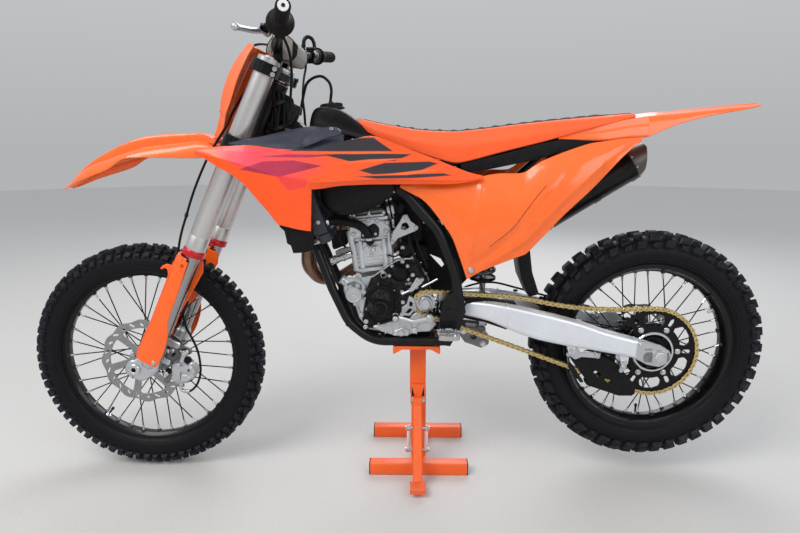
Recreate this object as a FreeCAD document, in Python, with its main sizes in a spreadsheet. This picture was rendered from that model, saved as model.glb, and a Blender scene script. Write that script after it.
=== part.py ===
import FreeCAD, Part
import Sketcher
import math
import os
from FreeCAD import Vector as V

# A motocross bike standing on its pedal lift stand.
# Millimetres, +Z up, the ground at z = 0, the bike's front towards -X and its left side towards -Y.
# Every x in the tables below is measured back from the front axle; place() adds the axle's own place,
# so that the origin lies on the ground under the middle of the whole outline.
os.makedirs("parts", exist_ok=True)
DOC = FreeCAD.newDocument("dirt_bike")
DIMS = DOC.addObject("Spreadsheet::Sheet", "dims")

CELLS = [  # alias, value, what it is
    ("front_axle_x", -743.5, "front axle, back from the origin"),
    ("front_axle_z", 347.0, "front axle above the ground, tyre just touching"),
    ("wheelbase", 1490.0, "axle to axle"),
    ("rear_axle_z", 391.0, "rear axle above the ground, wheel lifted by the stand"),
    ("rake", 24.3, "steering axis from vertical, degrees"),
    ("stem_x", 338.5, "steering axis at the lower clamp, behind the front axle"),
    ("stem_z", 969.0, "steering axis at the lower clamp, above the ground"),
    ("leg_y", 105.0, "fork leg from the middle plane"),
    ("leg_ahead", 22.0, "fork leg ahead of the steering axis"),
    ("fork_outer_rad", 28.7, "fork outer tube"),
    ("fork_slider_rad", 24.0, "fork inner tube"),
    ("fork_ring_rad", 31.5, "scraper ring"),
    ("fork_top", 238.0, "outer tube top above the lower clamp, along the axis"),
    ("fork_mid", -312.0, "outer tube foot"),
    ("stem_rad", 15.0, "steering stem"),
    ("head_rad", 29.0, "head tube outside"),
    ("front_tyre_rad", 347.0, "front tyre over the knobs"),
    ("front_tyre_half", 46.0, "front tyre half width"),
    ("rear_tyre_rad", 344.0, "rear tyre over the knobs"),
    ("rear_tyre_half", 57.0, "rear tyre half width"),
    ("front_axle_rad", 11.0, "front axle"),
    ("rear_axle_rad", 12.5, "rear axle"),
    ("axle_gap", 0.1, "running gap round an axle or the steering stem"),
    ("spoke_rad", 2.0, "spoke"),
    ("front_disc_rad", 129.0, "front brake disc"),
    ("rear_disc_rad", 110.0, "rear brake disc"),
    ("disc_thick", 3.0, "brake discs"),
    ("disc_slot", 13.0, "slot in a caliper"),
    ("chain_y", -70.0, "chain line from the middle plane"),
    ("chain_wide", 16.0, "chain over its plates"),
    ("chain_half", 6.5, "half of a chain plate's height"),
    ("rear_pitch_rad", 127.0, "rear sprocket, pitch circle"),
    ("drive_pitch_rad", 33.5, "drive sprocket, pitch circle"),
    ("drive_x", 833.0, "drive sprocket behind the front axle"),
    ("drive_z", 533.0, "drive sprocket above the ground"),
    ("sprocket_gap", 5.0, "rear sprocket inside the fixed chain loop"),
    ("sprocket_thick", 6.0, "rear sprocket"),
    ("pivot_x", 898.0, "swingarm pivot behind the front axle"),
    ("pivot_z", 519.0, "swingarm pivot above the ground"),
    ("pivot_rad", 10.0, "swingarm pivot shaft"),
    ("spar_rad", 15.0, "frame main spar"),
    ("cradle_rad", 13.0, "frame down tube and cradle"),
    ("subframe_rad", 9.0, "subframe tube"),
    ("bar_rad", 11.1, "handlebar at the grips"),
    ("bar_mid_rad", 14.3, "handlebar at the clamps"),
    ("grip_rad", 16.5, "grip"),
    ("plastic", 4.0, "bodywork wall"),
    ("header_rad", 20.0, "exhaust header"),
    ("silencer_rad", 48.0, "silencer"),
    ("brake_hose_rad", 3.4, "front brake hose"),
    ("cable_rad", 3.6, "throttle cable and clutch hose"),
    ("vent_hose_rad", 4.0, "tank vent hose"),
    ("silencer_len", 345.0, "silencer up to its end cap"),
    ("outlet_rad", 22.0, "silencer outlet"),
    ("foot_tube", 38.0, "stand foot, square tube"),
    ("foot_len", 298.0, "stand foot, along the bike"),
    ("column_side", 48.0, "stand column, upper square tube"),
    ("post_side", 44.0, "stand column, lower square tube"),
    ("lever_wide", 25.0, "stand pedal lever"),
    ("platform_len", 138.0, "stand platform, along the bike"),
    ("platform_wide", 170.0, "stand platform, across the bike"),
    ("platform_thick", 6.0, "stand platform plate"),
    ("platform_z", 406.0, "stand platform top, under the cradle"),
]
for row, (alias, value, note) in enumerate(CELLS, 1):
    DIMS.set(f"A{row}", alias)
    DIMS.set(f"B{row}", str(value))
    DIMS.set(f"C{row}", note)
    DIMS.setAlias(f"B{row}", alias)
DOC.recompute()


def cell(alias):
    return float(DIMS.get(alias))


FX, FZ = cell("front_axle_x"), cell("front_axle_z")
RX, RZ = FX + cell("wheelbase"), cell("rear_axle_z")
RAKE = math.radians(cell("rake"))
NODES = []  # what is written, in order
LEFT, RIGHT = -1, 1


def place(x, y, z):
    """A point of the bike: x back from the front axle."""
    return V(FX + x, y, z)


STEM = place(cell("stem_x"), 0, cell("stem_z"))
STEER = FreeCAD.Placement(STEM, FreeCAD.Rotation(V(0, 1, 0), cell("rake")))
# In the steering frame x runs back, square to the axis, and z runs up along it.


def steer(x, y, z):
    return STEER.multVec(V(x, y, z))


def unsteer(p):
    return STEER.inverse().multVec(p)


def keep(obj, label):
    obj.Label = label
    NODES.append(obj)
    return obj


def turned(base, axis):
    return FreeCAD.Placement(base, FreeCAD.Rotation(V(0, 0, 1), axis))


def bind(obj, **sizes):
    for prop, size in sizes.items():
        if isinstance(size, str):
            obj.setExpression(prop, size)
        else:
            setattr(obj, prop, size)
    return obj


def cylinder(name, rad, high, base, axis):
    c = DOC.addObject("Part::Cylinder", name)
    bind(c, Radius=rad, Height=high)
    c.Placement = turned(base, axis)
    return c


def cone(name, rad1, rad2, high, base, axis):
    c = DOC.addObject("Part::Cone", name)
    bind(c, Radius1=rad1, Radius2=rad2, Height=high)
    c.Placement = turned(base, axis)
    return c


def box(name, long, wide, high, corner, rot=None):
    b = DOC.addObject("Part::Box", name)
    bind(b, Length=long, Width=wide, Height=high)
    b.Placement = FreeCAD.Placement(corner, rot or FreeCAD.Rotation())
    return b


def cut(name, base, tool):
    c = DOC.addObject("Part::Cut", name)
    c.Base, c.Tool = base, tool
    return c


def fuse(name, shapes):
    f = DOC.addObject("Part::MultiFuse", name)
    f.Shapes, f.Refine = shapes, True
    return f


def group(name, shapes):
    g = DOC.addObject("Part::Compound", name)
    g.Links = shapes
    return g


def mirrored(name, source):
    m = DOC.addObject("Part::Mirroring", name)
    m.Source, m.Normal, m.Base = source, V(0, 1, 0), V(0, 0, 0)
    return m


def plane(body, role):
    return [o for o in body.Origin.OriginFeatures if o.Role == role][0]


def outline(sk, pts):
    """A closed outline of straight lines; a size given as text is bound to the sheet."""
    n, first = len(pts), sk.GeometryCount
    at = [[size_of(c) for c in p] for p in pts]
    for i in range(n):
        a, b = at[i], at[(i + 1) % n]
        sk.addGeometry(Part.LineSegment(V(a[0], a[1], 0), V(b[0], b[1], 0)), False)
    for i in range(n):
        sk.addConstraint(Sketcher.Constraint("Coincident", first + i, 2, first + (i + 1) % n, 1))
    for i, p in enumerate(pts):
        for kind, c, v in (("DistanceX", p[0], at[i][0]), ("DistanceY", p[1], at[i][1])):
            if isinstance(c, str):
                k = sk.addConstraint(Sketcher.Constraint(kind, -1, 1, first + i, 1, v))
                sk.setExpression(f"Constraints[{k}]", c)


def size_of(c):
    """The number that a size text gives: a cell, alone or with one number added."""
    if not isinstance(c, str):
        return float(c)
    total = 0.0
    for word in c.replace("- ", "+ -").split("+ "):
        word = word.strip()
        sign = -1.0 if word.startswith("-dims.") else 1.0
        word = word.lstrip("-") if sign < 0 else word
        total += sign * cell(word[5:]) if word.startswith("dims.") else float(word)
    return total


def sketch(body, name, role, pts=None, circles=()):
    sk = body.newObject("Sketcher::SketchObject", name)
    sk.AttachmentSupport = [(plane(body, role), "")]
    sk.MapMode = "FlatFace"
    if pts:
        outline(sk, pts)
    for x, y, r in circles:
        g = sk.addGeometry(Part.Circle(V(x, y, 0), V(0, 0, 1), size_of(r)), False)
        if isinstance(r, str):
            k = sk.addConstraint(Sketcher.Constraint("Radius", g, size_of(r)))
            sk.setExpression(f"Constraints[{k}]", r)
    return sk


def turned_body(label, section, centre):
    """A body turned about the line through centre along Y; section holds (radius, y)."""
    body = DOC.addObject("PartDesign::Body", label)
    sk = sketch(body, label + "_section", "XY_Plane", section)
    rev = body.newObject("PartDesign::Revolution", label + "_turn")
    rev.Profile, rev.ReferenceAxis, rev.Angle = sk, (sk, ["V_Axis"]), 360
    body.Placement = FreeCAD.Placement(centre, FreeCAD.Rotation())
    return body


def plate_body(label, pts, thick, centre, role="XZ_Plane", circles=(), holes=(), windows=(), turns=1, rot=None):
    """A plate padded both ways from a sketch, with round holes and a ring of windows."""
    body = DOC.addObject("PartDesign::Body", label)
    sk = sketch(body, label + "_outline", role, pts, circles)
    pad = body.newObject("PartDesign::Pad", label + "_pad")
    pad.Profile, pad.SideType = sk, "Symmetric"
    bind(pad, Length=thick)
    if holes:
        hs = sketch(body, label + "_holes", role, None, holes)
        pk = body.newObject("PartDesign::Pocket", label + "_bore")
        pk.Profile, pk.Type, pk.SideType = hs, "ThroughAll", "Symmetric"
    if windows:
        DOC.recompute()
        ws = sketch(body, label + "_window", role, windows[0])
        for more in windows[1:]:
            outline(ws, more)
        pk = body.newObject("PartDesign::Pocket", label + "_cut")
        pk.Profile, pk.Type, pk.SideType = ws, "ThroughAll", "Symmetric"
        DOC.recompute()
        ring = body.newObject("PartDesign::PolarPattern", label + "_ring")
        ring.Originals, ring.Angle, ring.Occurrences = [pk], 360, turns
        ring.Axis = (plane(body, {"XZ_Plane": "Y_Axis", "XY_Plane": "Z_Axis"}[role]), [""])
        body.Tip = ring
    body.Placement = FreeCAD.Placement(centre, rot or FreeCAD.Rotation())
    return body


def side_plate(label, pts, y0, y1, holes=()):
    """A plate that stands along the bike, from y0 to y1; pts are (x back from the front axle, z)."""
    mid = V(FX, (y0 + y1) / 2, 0)
    return plate_body(label, pts, abs(y1 - y0), mid, holes=holes)


def bent_wire(pts, bend):
    """Straight runs joined by tangent arcs."""
    edges, start = [], pts[0]
    for i in range(1, len(pts) - 1):
        a, b, c = pts[i - 1], pts[i], pts[i + 1]
        u, w = (a - b).normalize(), (c - b).normalize()
        half = u.getAngle(w) / 2
        if math.pi - 2 * half < 0.01:
            continue
        back = min(bend / math.tan(half), 0.45 * min((a - b).Length, (c - b).Length))
        rad = back * math.tan(half)
        p, q = b + u * back, b + w * back
        mid_dir = (u + w).normalize()
        m = b + mid_dir * (rad / math.sin(half) - rad)
        if (p - start).Length > 1e-6:
            edges.append(Part.LineSegment(start, p).toShape())
        edges.append(Part.Arc(p, m, q).toShape())
        start = q
    edges.append(Part.LineSegment(start, pts[-1]).toShape())
    return Part.Wire(edges)


def tube(name, rad, pts, bend=60.0):
    """A bent round bar: a circle swept along straight runs and arcs."""
    path = DOC.addObject("Part::Feature", name + "_path")
    path.Shape = bent_wire(pts, bend)
    ring = DOC.addObject("Part::Circle", name + "_ring")
    bind(ring, Radius=rad)
    ring.Placement = turned(pts[0], pts[1] - pts[0])
    sweep = DOC.addObject("Part::Sweep", name)
    sweep.Sections = [ring]
    sweep.Spine = (path, [f"Edge{i + 1}" for i in range(len(path.Shape.Edges))])
    sweep.Solid, sweep.Frenet = True, False
    return sweep


def loft(name, sections):
    """A solid with straight-sided sections, each a closed list of points with the same count."""
    rings = []
    for i, pts in enumerate(sections):
        w = DOC.addObject("Part::Feature", f"{name}_section{i}")
        w.Shape = Part.makePolygon(pts + [pts[0]])
        rings.append(w)
    lo = DOC.addObject("Part::Loft", name)
    lo.Sections, lo.Solid, lo.Ruled = rings, True, True
    return lo


def skin(name, table, wall):
    """A panel: each row gives one section's outer points; wall is the step to the inner points."""
    return loft(name, [row + [p + wall for p in reversed(row)] for row in table])


# ---------------------------------------------------------------- wheels
FRONT, REAR = V(FX, 0, FZ), V(RX, 0, RZ)
WHEELS = [
    # name, centre, tyre radius and half width cells, rim inner radius, bead radius, bead half width
    ("front", FRONT, "dims.front_tyre_rad", "dims.front_tyre_half", 250.0, 268.0, 22.5),
    ("rear", REAR, "dims.rear_tyre_rad", "dims.rear_tyre_half", 224.0, 242.0, 29.5),
]
for name, centre, rad, half, inner, bead, seat in WHEELS:
    flange = seat + 5.0
    rim = [(inner, -9), (inner, 9), (bead - 9, seat - 7), (bead - 6, flange), (bead + 9, flange), (bead + 9, seat),
           (bead, seat), (bead, -seat), (bead + 9, -seat), (bead + 9, -flange), (bead - 6, -flange), (bead - 9, 7 - seat)]
    keep(turned_body(name + "_rim", rim, centre), name + "_rim")
    b, s = bead + 0.4, seat - 0.4
    near = [(b, s), (bead + 10.5, s), (bead + 13, seat + 9), (bead + 26, half + " - 6.0"), (bead + 44, half),
            (rad + " - 18.0", half), (rad + " - 4.5", half + " - 14.0"), (rad, half + " - 33.0")]
    far = [(r, "-" + y if isinstance(y, str) else -y) for r, y in reversed(near)]
    far = [(r, y.replace(" - ", " + ") if isinstance(y, str) else y) for r, y in far]
    keep(turned_body(name + "_tyre", near + far, centre), name + "_tyre")

bore = "dims.front_axle_rad + dims.axle_gap"
front_hub = [(bore, -51), (46, -51), (46, -45), (27, -43), (24, -37), (38, -36), (38, -24), (20, -22), (18, 0),
             (20, 22), (38, 24), (38, 36), (26, 38), (22, 50), (bore, 50)]
keep(turned_body("front_hub", front_hub, FRONT), "front_hub")
bore = "dims.rear_axle_rad + dims.axle_gap"
rear_hub = [(bore, -66), (52, -66), (52, -80), (59, -80), (59, -66.8), (84, -66.8), (84, -58), (60, -56), (60, -38),
            (34, -34), (30, 0), (34, 30), (54, 32), (54, 46), (44, 48), (44, 62), (bore, 62)]
keep(turned_body("rear_hub", rear_hub, REAR), "rear_hub")

LACING = [
    # name, centre, count a side, hub radius, outer y, inner y, rim radius, rim outer y, rim inner y, turn
    ("front", FRONT, 18, 38.8, 34.0, 26.0, 249.0, 7.0, 1.5, 60.0),
    ("rear", REAR, 18, 60.8, 53.0, 44.0, 223.0, 8.0, 1.5, 40.0),
]
RIGHT_FLANGE = {"front": (38.8, 34.0, 26.0), "rear": (54.8, 44.0, 35.0)}
for name, centre, count, hub, out_y, in_y, rim, rim_out, rim_in, turn in LACING:
    spokes = []
    for side in (LEFT, RIGHT):
        h, oy, iy = (hub, out_y, in_y) if side == LEFT else RIGHT_FLANGE[name]
        for k in range(count):
            outer = k % 2 == 0
            a0 = k * 360.0 / count + (10.0 if side == RIGHT else 0.0)
            a1 = a0 + (turn if outer else -turn)
            y0, y1 = (oy, rim_out) if outer else (iy, rim_in)
            p = centre + V(h * math.cos(math.radians(a0)), side * y0, h * math.sin(math.radians(a0)))
            q = centre + V(rim * math.cos(math.radians(a1)), side * y1, rim * math.sin(math.radians(a1)))
            way = (q - p).normalize()
            p += way * 2.4
            q -= way * 1.0
            spokes.append(cylinder(f"{name}_spoke{len(spokes)}", "dims.spoke_rad", (q - p).Length, p, way))
    keep(group(name + "_spokes", spokes), name + "_spokes")


def window(r0, r1, a, b, lean=0.0):
    """A four-cornered window in a disc, from radius r0 to r1, a to b degrees wide."""
    def at(r, deg):
        t = math.radians(deg)
        return (r * math.cos(t), r * math.sin(t))
    return [at(r0, -a), at(r0, a), at(r1, b + lean), at(r1, -b + lean)]


DISCS = [
    # name, centre, y, radius cell, middle hole, ring's inner radius
    ("front_disc", FRONT, -55.0, "dims.front_disc_rad", 34.0, 96.0),
    ("rear_disc", REAR, 66.0, "dims.rear_disc_rad", 46.0, 84.0),
]
for name, centre, y, rad, hole, ring in DISCS:
    lo = hole + 14
    disc = plate_body(name, None, "dims.disc_thick", centre + V(0, y, 0), circles=[(0, 0, rad)], holes=[(0, 0, hole)],
                      windows=[window(lo, ring, 18, 25)], turns=6)
    keep(disc, name)

sprocket = plate_body("rear_sprocket", None, "dims.sprocket_thick", REAR + V(0, cell("chain_y"), 0),
                      circles=[(0, 0, "dims.rear_pitch_rad - dims.chain_half - dims.sprocket_gap")], holes=[(0, 0, 60.5)],
                      windows=[window(86, 105, 15, 19)], turns=6)
keep(sprocket, "rear_sprocket")

# ---------------------------------------------------------------- axles
front_axle = fuse("front_axle_all", [
    cylinder("front_axle_shaft", "dims.front_axle_rad", 258, FRONT + V(0, -130, 0), V(0, 1, 0)),
    cylinder("front_axle_head", 17, 6, FRONT + V(0, -134.2, 0), V(0, 1, 0)),
    cylinder("front_axle_spacer_l", 17, 18, FRONT + V(0, -81, 0), V(0, 1, 0)),
    cylinder("front_axle_spacer_r", 17, 24, FRONT + V(0, 57, 0), V(0, 1, 0)),
])
keep(front_axle, "front_axle")
rear_axle = fuse("rear_axle_all", [
    cylinder("rear_axle_shaft", "dims.rear_axle_rad", 262, REAR + V(0, -133, 0), V(0, 1, 0)),
    cylinder("rear_axle_nut", 18, 7, REAR + V(0, 125, 0), V(0, 1, 0)),
    cylinder("rear_axle_spacer_l", 20, 13, REAR + V(0, -86, 0), V(0, 1, 0)),
    cylinder("rear_axle_spacer_r", 20, 14, REAR + V(0, 72, 0), V(0, 1, 0)),
])

# ---------------------------------------------------------------- fork and clamps
AXLE_L = unsteer(FRONT)  # the front axle in the steering frame
uppers, sliders, guards = [], [], []
UP, DOWN = STEER.Rotation.multVec(V(0, 0, 1)), STEER.Rotation.multVec(V(0, 0, -1))
lx, ly = -cell("leg_ahead"), cell("leg_y")
for side, tag in ((LEFT, "left"), (RIGHT, "right")):
    y = side * ly
    uppers.append(fuse("fork_upper_" + tag, [
        cylinder("fork_outer_" + tag, "dims.fork_outer_rad", "dims.fork_top - dims.fork_mid", steer(lx, y, cell("fork_mid")), UP),
        cylinder("fork_ring_" + tag, "dims.fork_ring_rad", 20, steer(lx, y, cell("fork_mid") - 20), UP),
        cylinder("fork_cap_" + tag, 30.5, 18, steer(lx, y, cell("fork_top") - 16), UP)]))
    foot = AXLE_L.z + 62
    sliders.append(fuse("fork_lower_" + tag, [
        cylinder("fork_slider_" + tag, "dims.fork_slider_rad", cell("fork_mid") - 20.4 - foot, steer(lx, y, foot), UP),
        cylinder("fork_shoe_" + tag, 29, 62, steer(lx, y, foot - 40), UP),
        box("fork_lug_" + tag, 58, 46, 44, steer(AXLE_L.x - 22, y - 23, AXLE_L.z - 16), STEER.Rotation),
        cylinder("fork_clamp_" + tag, 27, 46, steer(AXLE_L.x, y - 23, AXLE_L.z), V(0, 1, 0))]))
    # the guard wraps the front and the outer side of the leg, open behind
    c_shape = []
    for k in range(9):
        a = math.radians(78 + k * 21.5)
        c_shape.append((41 * math.cos(a), 37 * math.sin(a)))
    for k in range(8, -1, -1):
        a = math.radians(78 + k * 21.5)
        c_shape.append((37 * math.cos(a), 33 * math.sin(a)))
    c_shape = [(px, -side * -py) for px, py in c_shape]
    guard = plate_body("fork_guard_" + tag, c_shape, 322, steer(lx, y, -505), role="XY_Plane", rot=STEER.Rotation)
    flange = plate_body("fork_guard_flange_" + tag, [(-30, -470), (-30, -666), (5, -666), (9, -622), (2, -560), (-14, -514)], 4,
                        steer(0, y + side * 35, 0), rot=STEER.Rotation)
    inner = plate_body("fork_guard_inner_" + tag, [(-18, -346), (4, -346.5), (14, -376), (10, -414), (3.5, -460), (-3, -512), (-10, -522), (-18, -522)], 4,
                       steer(0, y - side * 35, 0), rot=STEER.Rotation)
    guards.append(fuse("fork_guard_all_" + tag, [guard, flange, inner]))
keep(group("fork_outer_tubes", uppers), "fork_outer_tubes")
bores = []
for side, tag in ((LEFT, "left"), (RIGHT, "right")):
    bored = cut("fork_lower_bored_" + tag, sliders[0 if side == LEFT else 1],
                cylinder("fork_bore_" + tag, "dims.front_axle_rad + 0.15", 60, FRONT + V(0, side * ly - 30, 0), V(0, 1, 0)))
    bores.append(bored)
keep(group("fork_sliders", bores), "fork_sliders")
keep(group("fork_guards", guards), "fork_guards")

gap = 0.2
clamp = [(-62, -78), (-62, -122), (-42, -146), (-4, -146), (14, -124), (10, -84), (28, -24), (28, 24), (10, 84), (14, 124),
         (-4, 146), (-42, 146), (-62, 122), (-62, 78), (-34, 40), (-34, -40)]
bore_r = "dims.fork_outer_rad + 0.2"
lower = plate_body("lower_clamp_plate", clamp, 46, STEER.multVec(V(0, 0, 0)), role="XY_Plane", rot=STEER.Rotation,
                   holes=[(lx, -ly, bore_r), (lx, ly, bore_r)])
upper = plate_body("upper_clamp_plate", clamp, 20, STEER.multVec(V(0, 0, 211)), role="XY_Plane", rot=STEER.Rotation,
                   holes=[(lx, -ly, bore_r), (lx, ly, bore_r), (0, 0, "dims.stem_rad + 0.2")])
stem = fuse("lower_clamp_all", [lower, cylinder("stem_shaft", "dims.stem_rad", 254, steer(0, 0, -23), UP),
                                cylinder("stem_nut", 18, 12, steer(0, 0, 221.5), UP)])
keep(stem, "lower_triple_clamp")

# ---------------------------------------------------------------- handlebar
BAR = [  # x back from the front axle, y, z: one half, from the middle out
    (430, 0, 1225), (430, 62, 1225), (437, 120, 1232), (472, 225, 1252), (487, 290, 1257), (517, 405, 1269)]
full = [place(x, -y, z) for x, y, z in reversed(BAR)] + [place(x, y, z) for x, y, z in BAR[1:]]
bar = fuse("handlebar_all", [
    tube("handlebar_tube", "dims.bar_rad", full, 55),
    cylinder("handlebar_mid", "dims.bar_mid_rad", 124, place(430, -62, 1225), V(0, 1, 0)),
])
keep(bar, "handlebar")
BAR_L = unsteer(place(430, 0, 1225))
clamps = []
for side, tag in ((LEFT, "left"), (RIGHT, "right")):
    y0 = side * 45 - 14
    block = box("bar_clamp_block_" + tag, 44, 28, BAR_L.z + 22 - 216, steer(BAR_L.x - 22, y0, 216), STEER.Rotation)
    clamps.append(cut("bar_clamp_" + tag, block, cylinder("bar_clamp_bore_" + tag, "dims.bar_mid_rad + 0.1", 40,
                                                         place(430, y0 - 6, 1225), V(0, 1, 0))))
top_clamp = keep(fuse("upper_clamp_all", [upper] + clamps), "upper_triple_clamp")
PAD = [  # x, z: the pad's outline seen from the side, round the bar and its clamps
    (404, 1214), (409, 1238), (422, 1256), (438, 1267), (458, 1266), (478, 1250), (489, 1233), (486, 1212), (474, 1194), (450, 1198), (424, 1208)]
pad_block = side_plate("bar_pad_block", PAD, -88, 88)
keep(cut("bar_pad_cut", cut("bar_pad_off_clamp", pad_block, top_clamp), bar), "bar_pad")
grips = []
for side, tag in ((LEFT, "left"), (RIGHT, "right")):
    a, b = place(487, side * 290, 1257), place(517, side * 405, 1269)
    way = (b - a).normalize()
    body = fuse("grip_solid_" + tag, [
        cylinder("grip_sleeve_" + tag, "dims.grip_rad", (b - a).Length + 1.5 + 4, a - way * 4, way),
        cylinder("grip_flange_" + tag, 33 if side == LEFT else 27, 6, a - way * 6, way),
        cone("grip_flare_" + tag, 33 if side == LEFT else 24, 17, 36 if side == LEFT else 12, a, way)])
    grips.append(cut("grip_" + tag, body, cylinder("grip_bore_" + tag, "dims.bar_rad + 0.1", (b - a).Length + 12, a - way * 12, way)))

LEVERS = [
    # name, side, sleeve's start and end along |y|, lever points (x, |y|, z) from the pivot out
    ("clutch_lever", LEFT, 236, 262, [(440, 246, 1249), (427, 268, 1242), (414, 325, 1236), (407, 385, 1231)]),
    ("front_brake_lever", RIGHT, 228, 254, [(440, 238, 1236), (414, 258, 1230), (402, 310, 1236), (398, 372, 1244)]),
]


def bar_at(y):
    """The handlebar's middle line at |y|."""
    for (x0, y0, z0), (x1, y1, z1) in zip(BAR, BAR[1:]):
        if y <= y1:
            t = (y - y0) / (y1 - y0)
            return x0 + t * (x1 - x0), z0 + t * (z1 - z0)


levers = []
for name, side, s0, s1, pts in LEVERS:
    (xa, za), (xb, zb) = bar_at(s0), bar_at(s1)
    a, b = place(xa, side * s0, za), place(xb, side * s1, zb)
    way = (b - a).normalize()
    ring = cylinder(name + "_sleeve", 17.5, (b - a).Length, a, way)
    mid = (a + b) * 0.5
    xm, zm = bar_at(s0 - 42)
    master = tube(name + "_master", 10.5, [place(xm - 26, side * (s0 - 42), zm + 3), place(pts[0][0] - 2, side * (pts[0][1] + 4), pts[0][2])], 5)
    blade = tube(name + "_blade", 5.0, [place(x, side * y, z) for x, y, z in pts], 20)
    ball = DOC.addObject("Part::Sphere", name + "_ball")
    bind(ball, Radius=9)
    ball.Placement = FreeCAD.Placement(place(pts[-1][0], side * pts[-1][1], pts[-1][2]), FreeCAD.Rotation())
    parts = [ring, master, blade, ball, box(name + "_bridge", 34, 16, 12, place(xa - 42, side * (s0 + 8) - 8, za - 4))]
    if side == RIGHT:
        parts.append(box(name + "_tank", 30, 40, 26, place(xa - 56, s0 - 34, za + 2)))
    solid = fuse(name + "_all", parts)
    levers.append(cut(name + "_bored", solid, cylinder(name + "_bore", "dims.bar_rad + 0.1", 90, mid - way * 45, way)))
keep(group("hand_levers_pair", levers), "hand_levers")
(xa, za), (xb, zb) = bar_at(258), bar_at(285.5)
a, b = place(xa, 258, za), place(xb, 285.5, zb)
way = (b - a).normalize()
housing = fuse("throttle_all", [cylinder("throttle_drum", 21, (b - a).Length, a, way),
                                tube("throttle_elbow", 6, [place(483, 268, 1262), place(478, 268, 1306), place(456, 261, 1312), place(449, 258, 1284)], 12)])
drum = cut("throttle_bored", housing, cylinder("throttle_bore", "dims.bar_rad + 0.1", 80, a - way * 40, way))
keep(group("grips_pair", [grips[0], fuse("grip_and_throttle", [grips[1], drum])]), "grips")

# ---------------------------------------------------------------- front brake caliper, on the left leg
CALIPER = [(74, 300), (92, 276), (128, 272), (156, 296), (160, 338), (146, 362), (108, 372), (84, 352), (62, 360), (38, 352),
           (38, 330), (60, 322)]
caliper = side_plate("front_caliper_block", CALIPER, -94, -38)
slot = cylinder("front_caliper_slot", 135, "dims.disc_slot", FRONT + V(0, -55 - 6.5, 0), V(0, 1, 0))
slotted = cut("front_caliper_slotted", caliper, slot)
hubroom = cylinder("front_caliper_hubroom", 78, 60, FRONT + V(0, -82, 0), V(0, 1, 0))
roomy = cut("front_caliper_roomy", slotted, hubroom)
shoe_room = cut("front_caliper_clear", roomy, cylinder("front_caliper_legroom", 29.4, 90, steer(lx, -ly, AXLE_L.z + 10), UP))
keep(cut("front_caliper_cut", shoe_room, cylinder("front_caliper_lugroom", 27.4, 60, FRONT + V(0, -128.2, 0), V(0, 1, 0))), "front_caliper")

# ---------------------------------------------------------------- front fender and number plate
FENDER = [  # x, z at the middle, half width, z at the shoulder, z at the edge
    (-206, 858, 22, 857, 853),
    (-142, 911, 56, 897, 880),
    (-60, 960, 82, 932, 907),
    (-22, 979, 88, 951, 929),
    (15, 994, 92, 964, 943),
    (60, 1003, 90, 972, 945),
    (130, 1008, 80, 976, 944),
    (200, 1010, 71, 977, 943),
    (245, 990, 68, 966, 947),
]
rows = []
for x, top, half, shoulder, edge in FENDER:
    rows.append([place(x, -half, edge), place(x, -0.86 * half, shoulder), place(x, -0.3 * half, top), place(x, 0.3 * half, top),
                 place(x, 0.86 * half, shoulder), place(x, half, edge)])
wall = V(0, 0, -cell("plastic"))
fender = fuse("front_fender_all", [
    loft("front_fender_skin", [r + [V(p.x, p.y * 0.93, p.z - cell("plastic")) for p in reversed(r)] for r in rows]),
    box("front_fender_mount", 112, 120, 8, steer(-104, -60, -31.5), STEER.Rotation)])
keep(fender, "front_fender")

PLATE = [  # height along the steering axis, x at the middle, half width, x at the edge
    (-10, -107, 37, -84), (20, -109, 50, -83), (48, -110, 66, -84), (90, -118, 92, -80), (150, -120, 112, -80), (205, -116, 108, -79), (240, -110, 92, -79), (258, -106, 76, -79)]
rows = []
for z, mid, half, edge in PLATE:
    rows.append([steer(edge, -half, z), steer(mid + 6, -0.66 * half, z), steer(mid, -0.25 * half, z), steer(mid, 0.25 * half, z),
                 steer(mid + 6, 0.66 * half, z), steer(edge, half, z)])
back = STEER.Rotation.multVec(V(cell("plastic"), 0, 0))
keep(skin("front_number_plate_skin", rows, back), "front_number_plate")

# ---------------------------------------------------------------- frame
SPAR = [(395, 26, 1030), (560, 68, 985), (700, 98, 905), (775, 112, 850), (866, 118, 748), (912, 116, 630), (926, 108, 545), (912, 100, 470), (880, 92, 432)]
DOWNTUBE = [(387.5, 10, 1019.3), (419.5, 22, 958.8), (462, 34, 800), (528, 62, 674), (566, 72, 574), (612, 74, 474), (680, 74, 419), (790, 74, 419), (884, 80, 421)]
tubes, cradle = [], []
for side, tag in ((LEFT, "left"), (RIGHT, "right")):
    tubes.append(tube("spar_" + tag, "dims.spar_rad", [place(x, side * y, z) for x, y, z in SPAR], 140))
    cradle.append(tube("downtube_" + tag, "dims.cradle_rad", [place(x, side * y, z) for x, y, z in DOWNTUBE], 110))
    cradle.append(tube("brace_" + tag, 11, [place(466, side * 34, 788), place(540, side * 50, 978)], 20))
    plate = [(868, 424), (902, 420), (930, 470), (944, 520), (938, 566), (912, 580), (884, 556), (872, 500)]
    y0, y1 = (-122, -88) if side == LEFT else (88, 122)
    cradle.append(side_plate("pivot_plate_" + tag, plate, y0, y1))
cross = [("cross_rear", (890, 428), 10.5), ("cross_upper", (868, 745), 11.0), ("cross_front", (612, 472), 9.5)]
for name, (x, z), r in cross:
    (tubes if name == "cross_upper" else cradle).append(cylinder(name, r, 160, place(x, -80, z), V(0, 1, 0)) if name != "cross_upper" else
                 cylinder(name, r, 230, place(x, -115, z), V(0, 1, 0)))
head = cylinder("head_outer", "dims.head_rad", 165, steer(0, 0, 29.5), UP)
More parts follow.
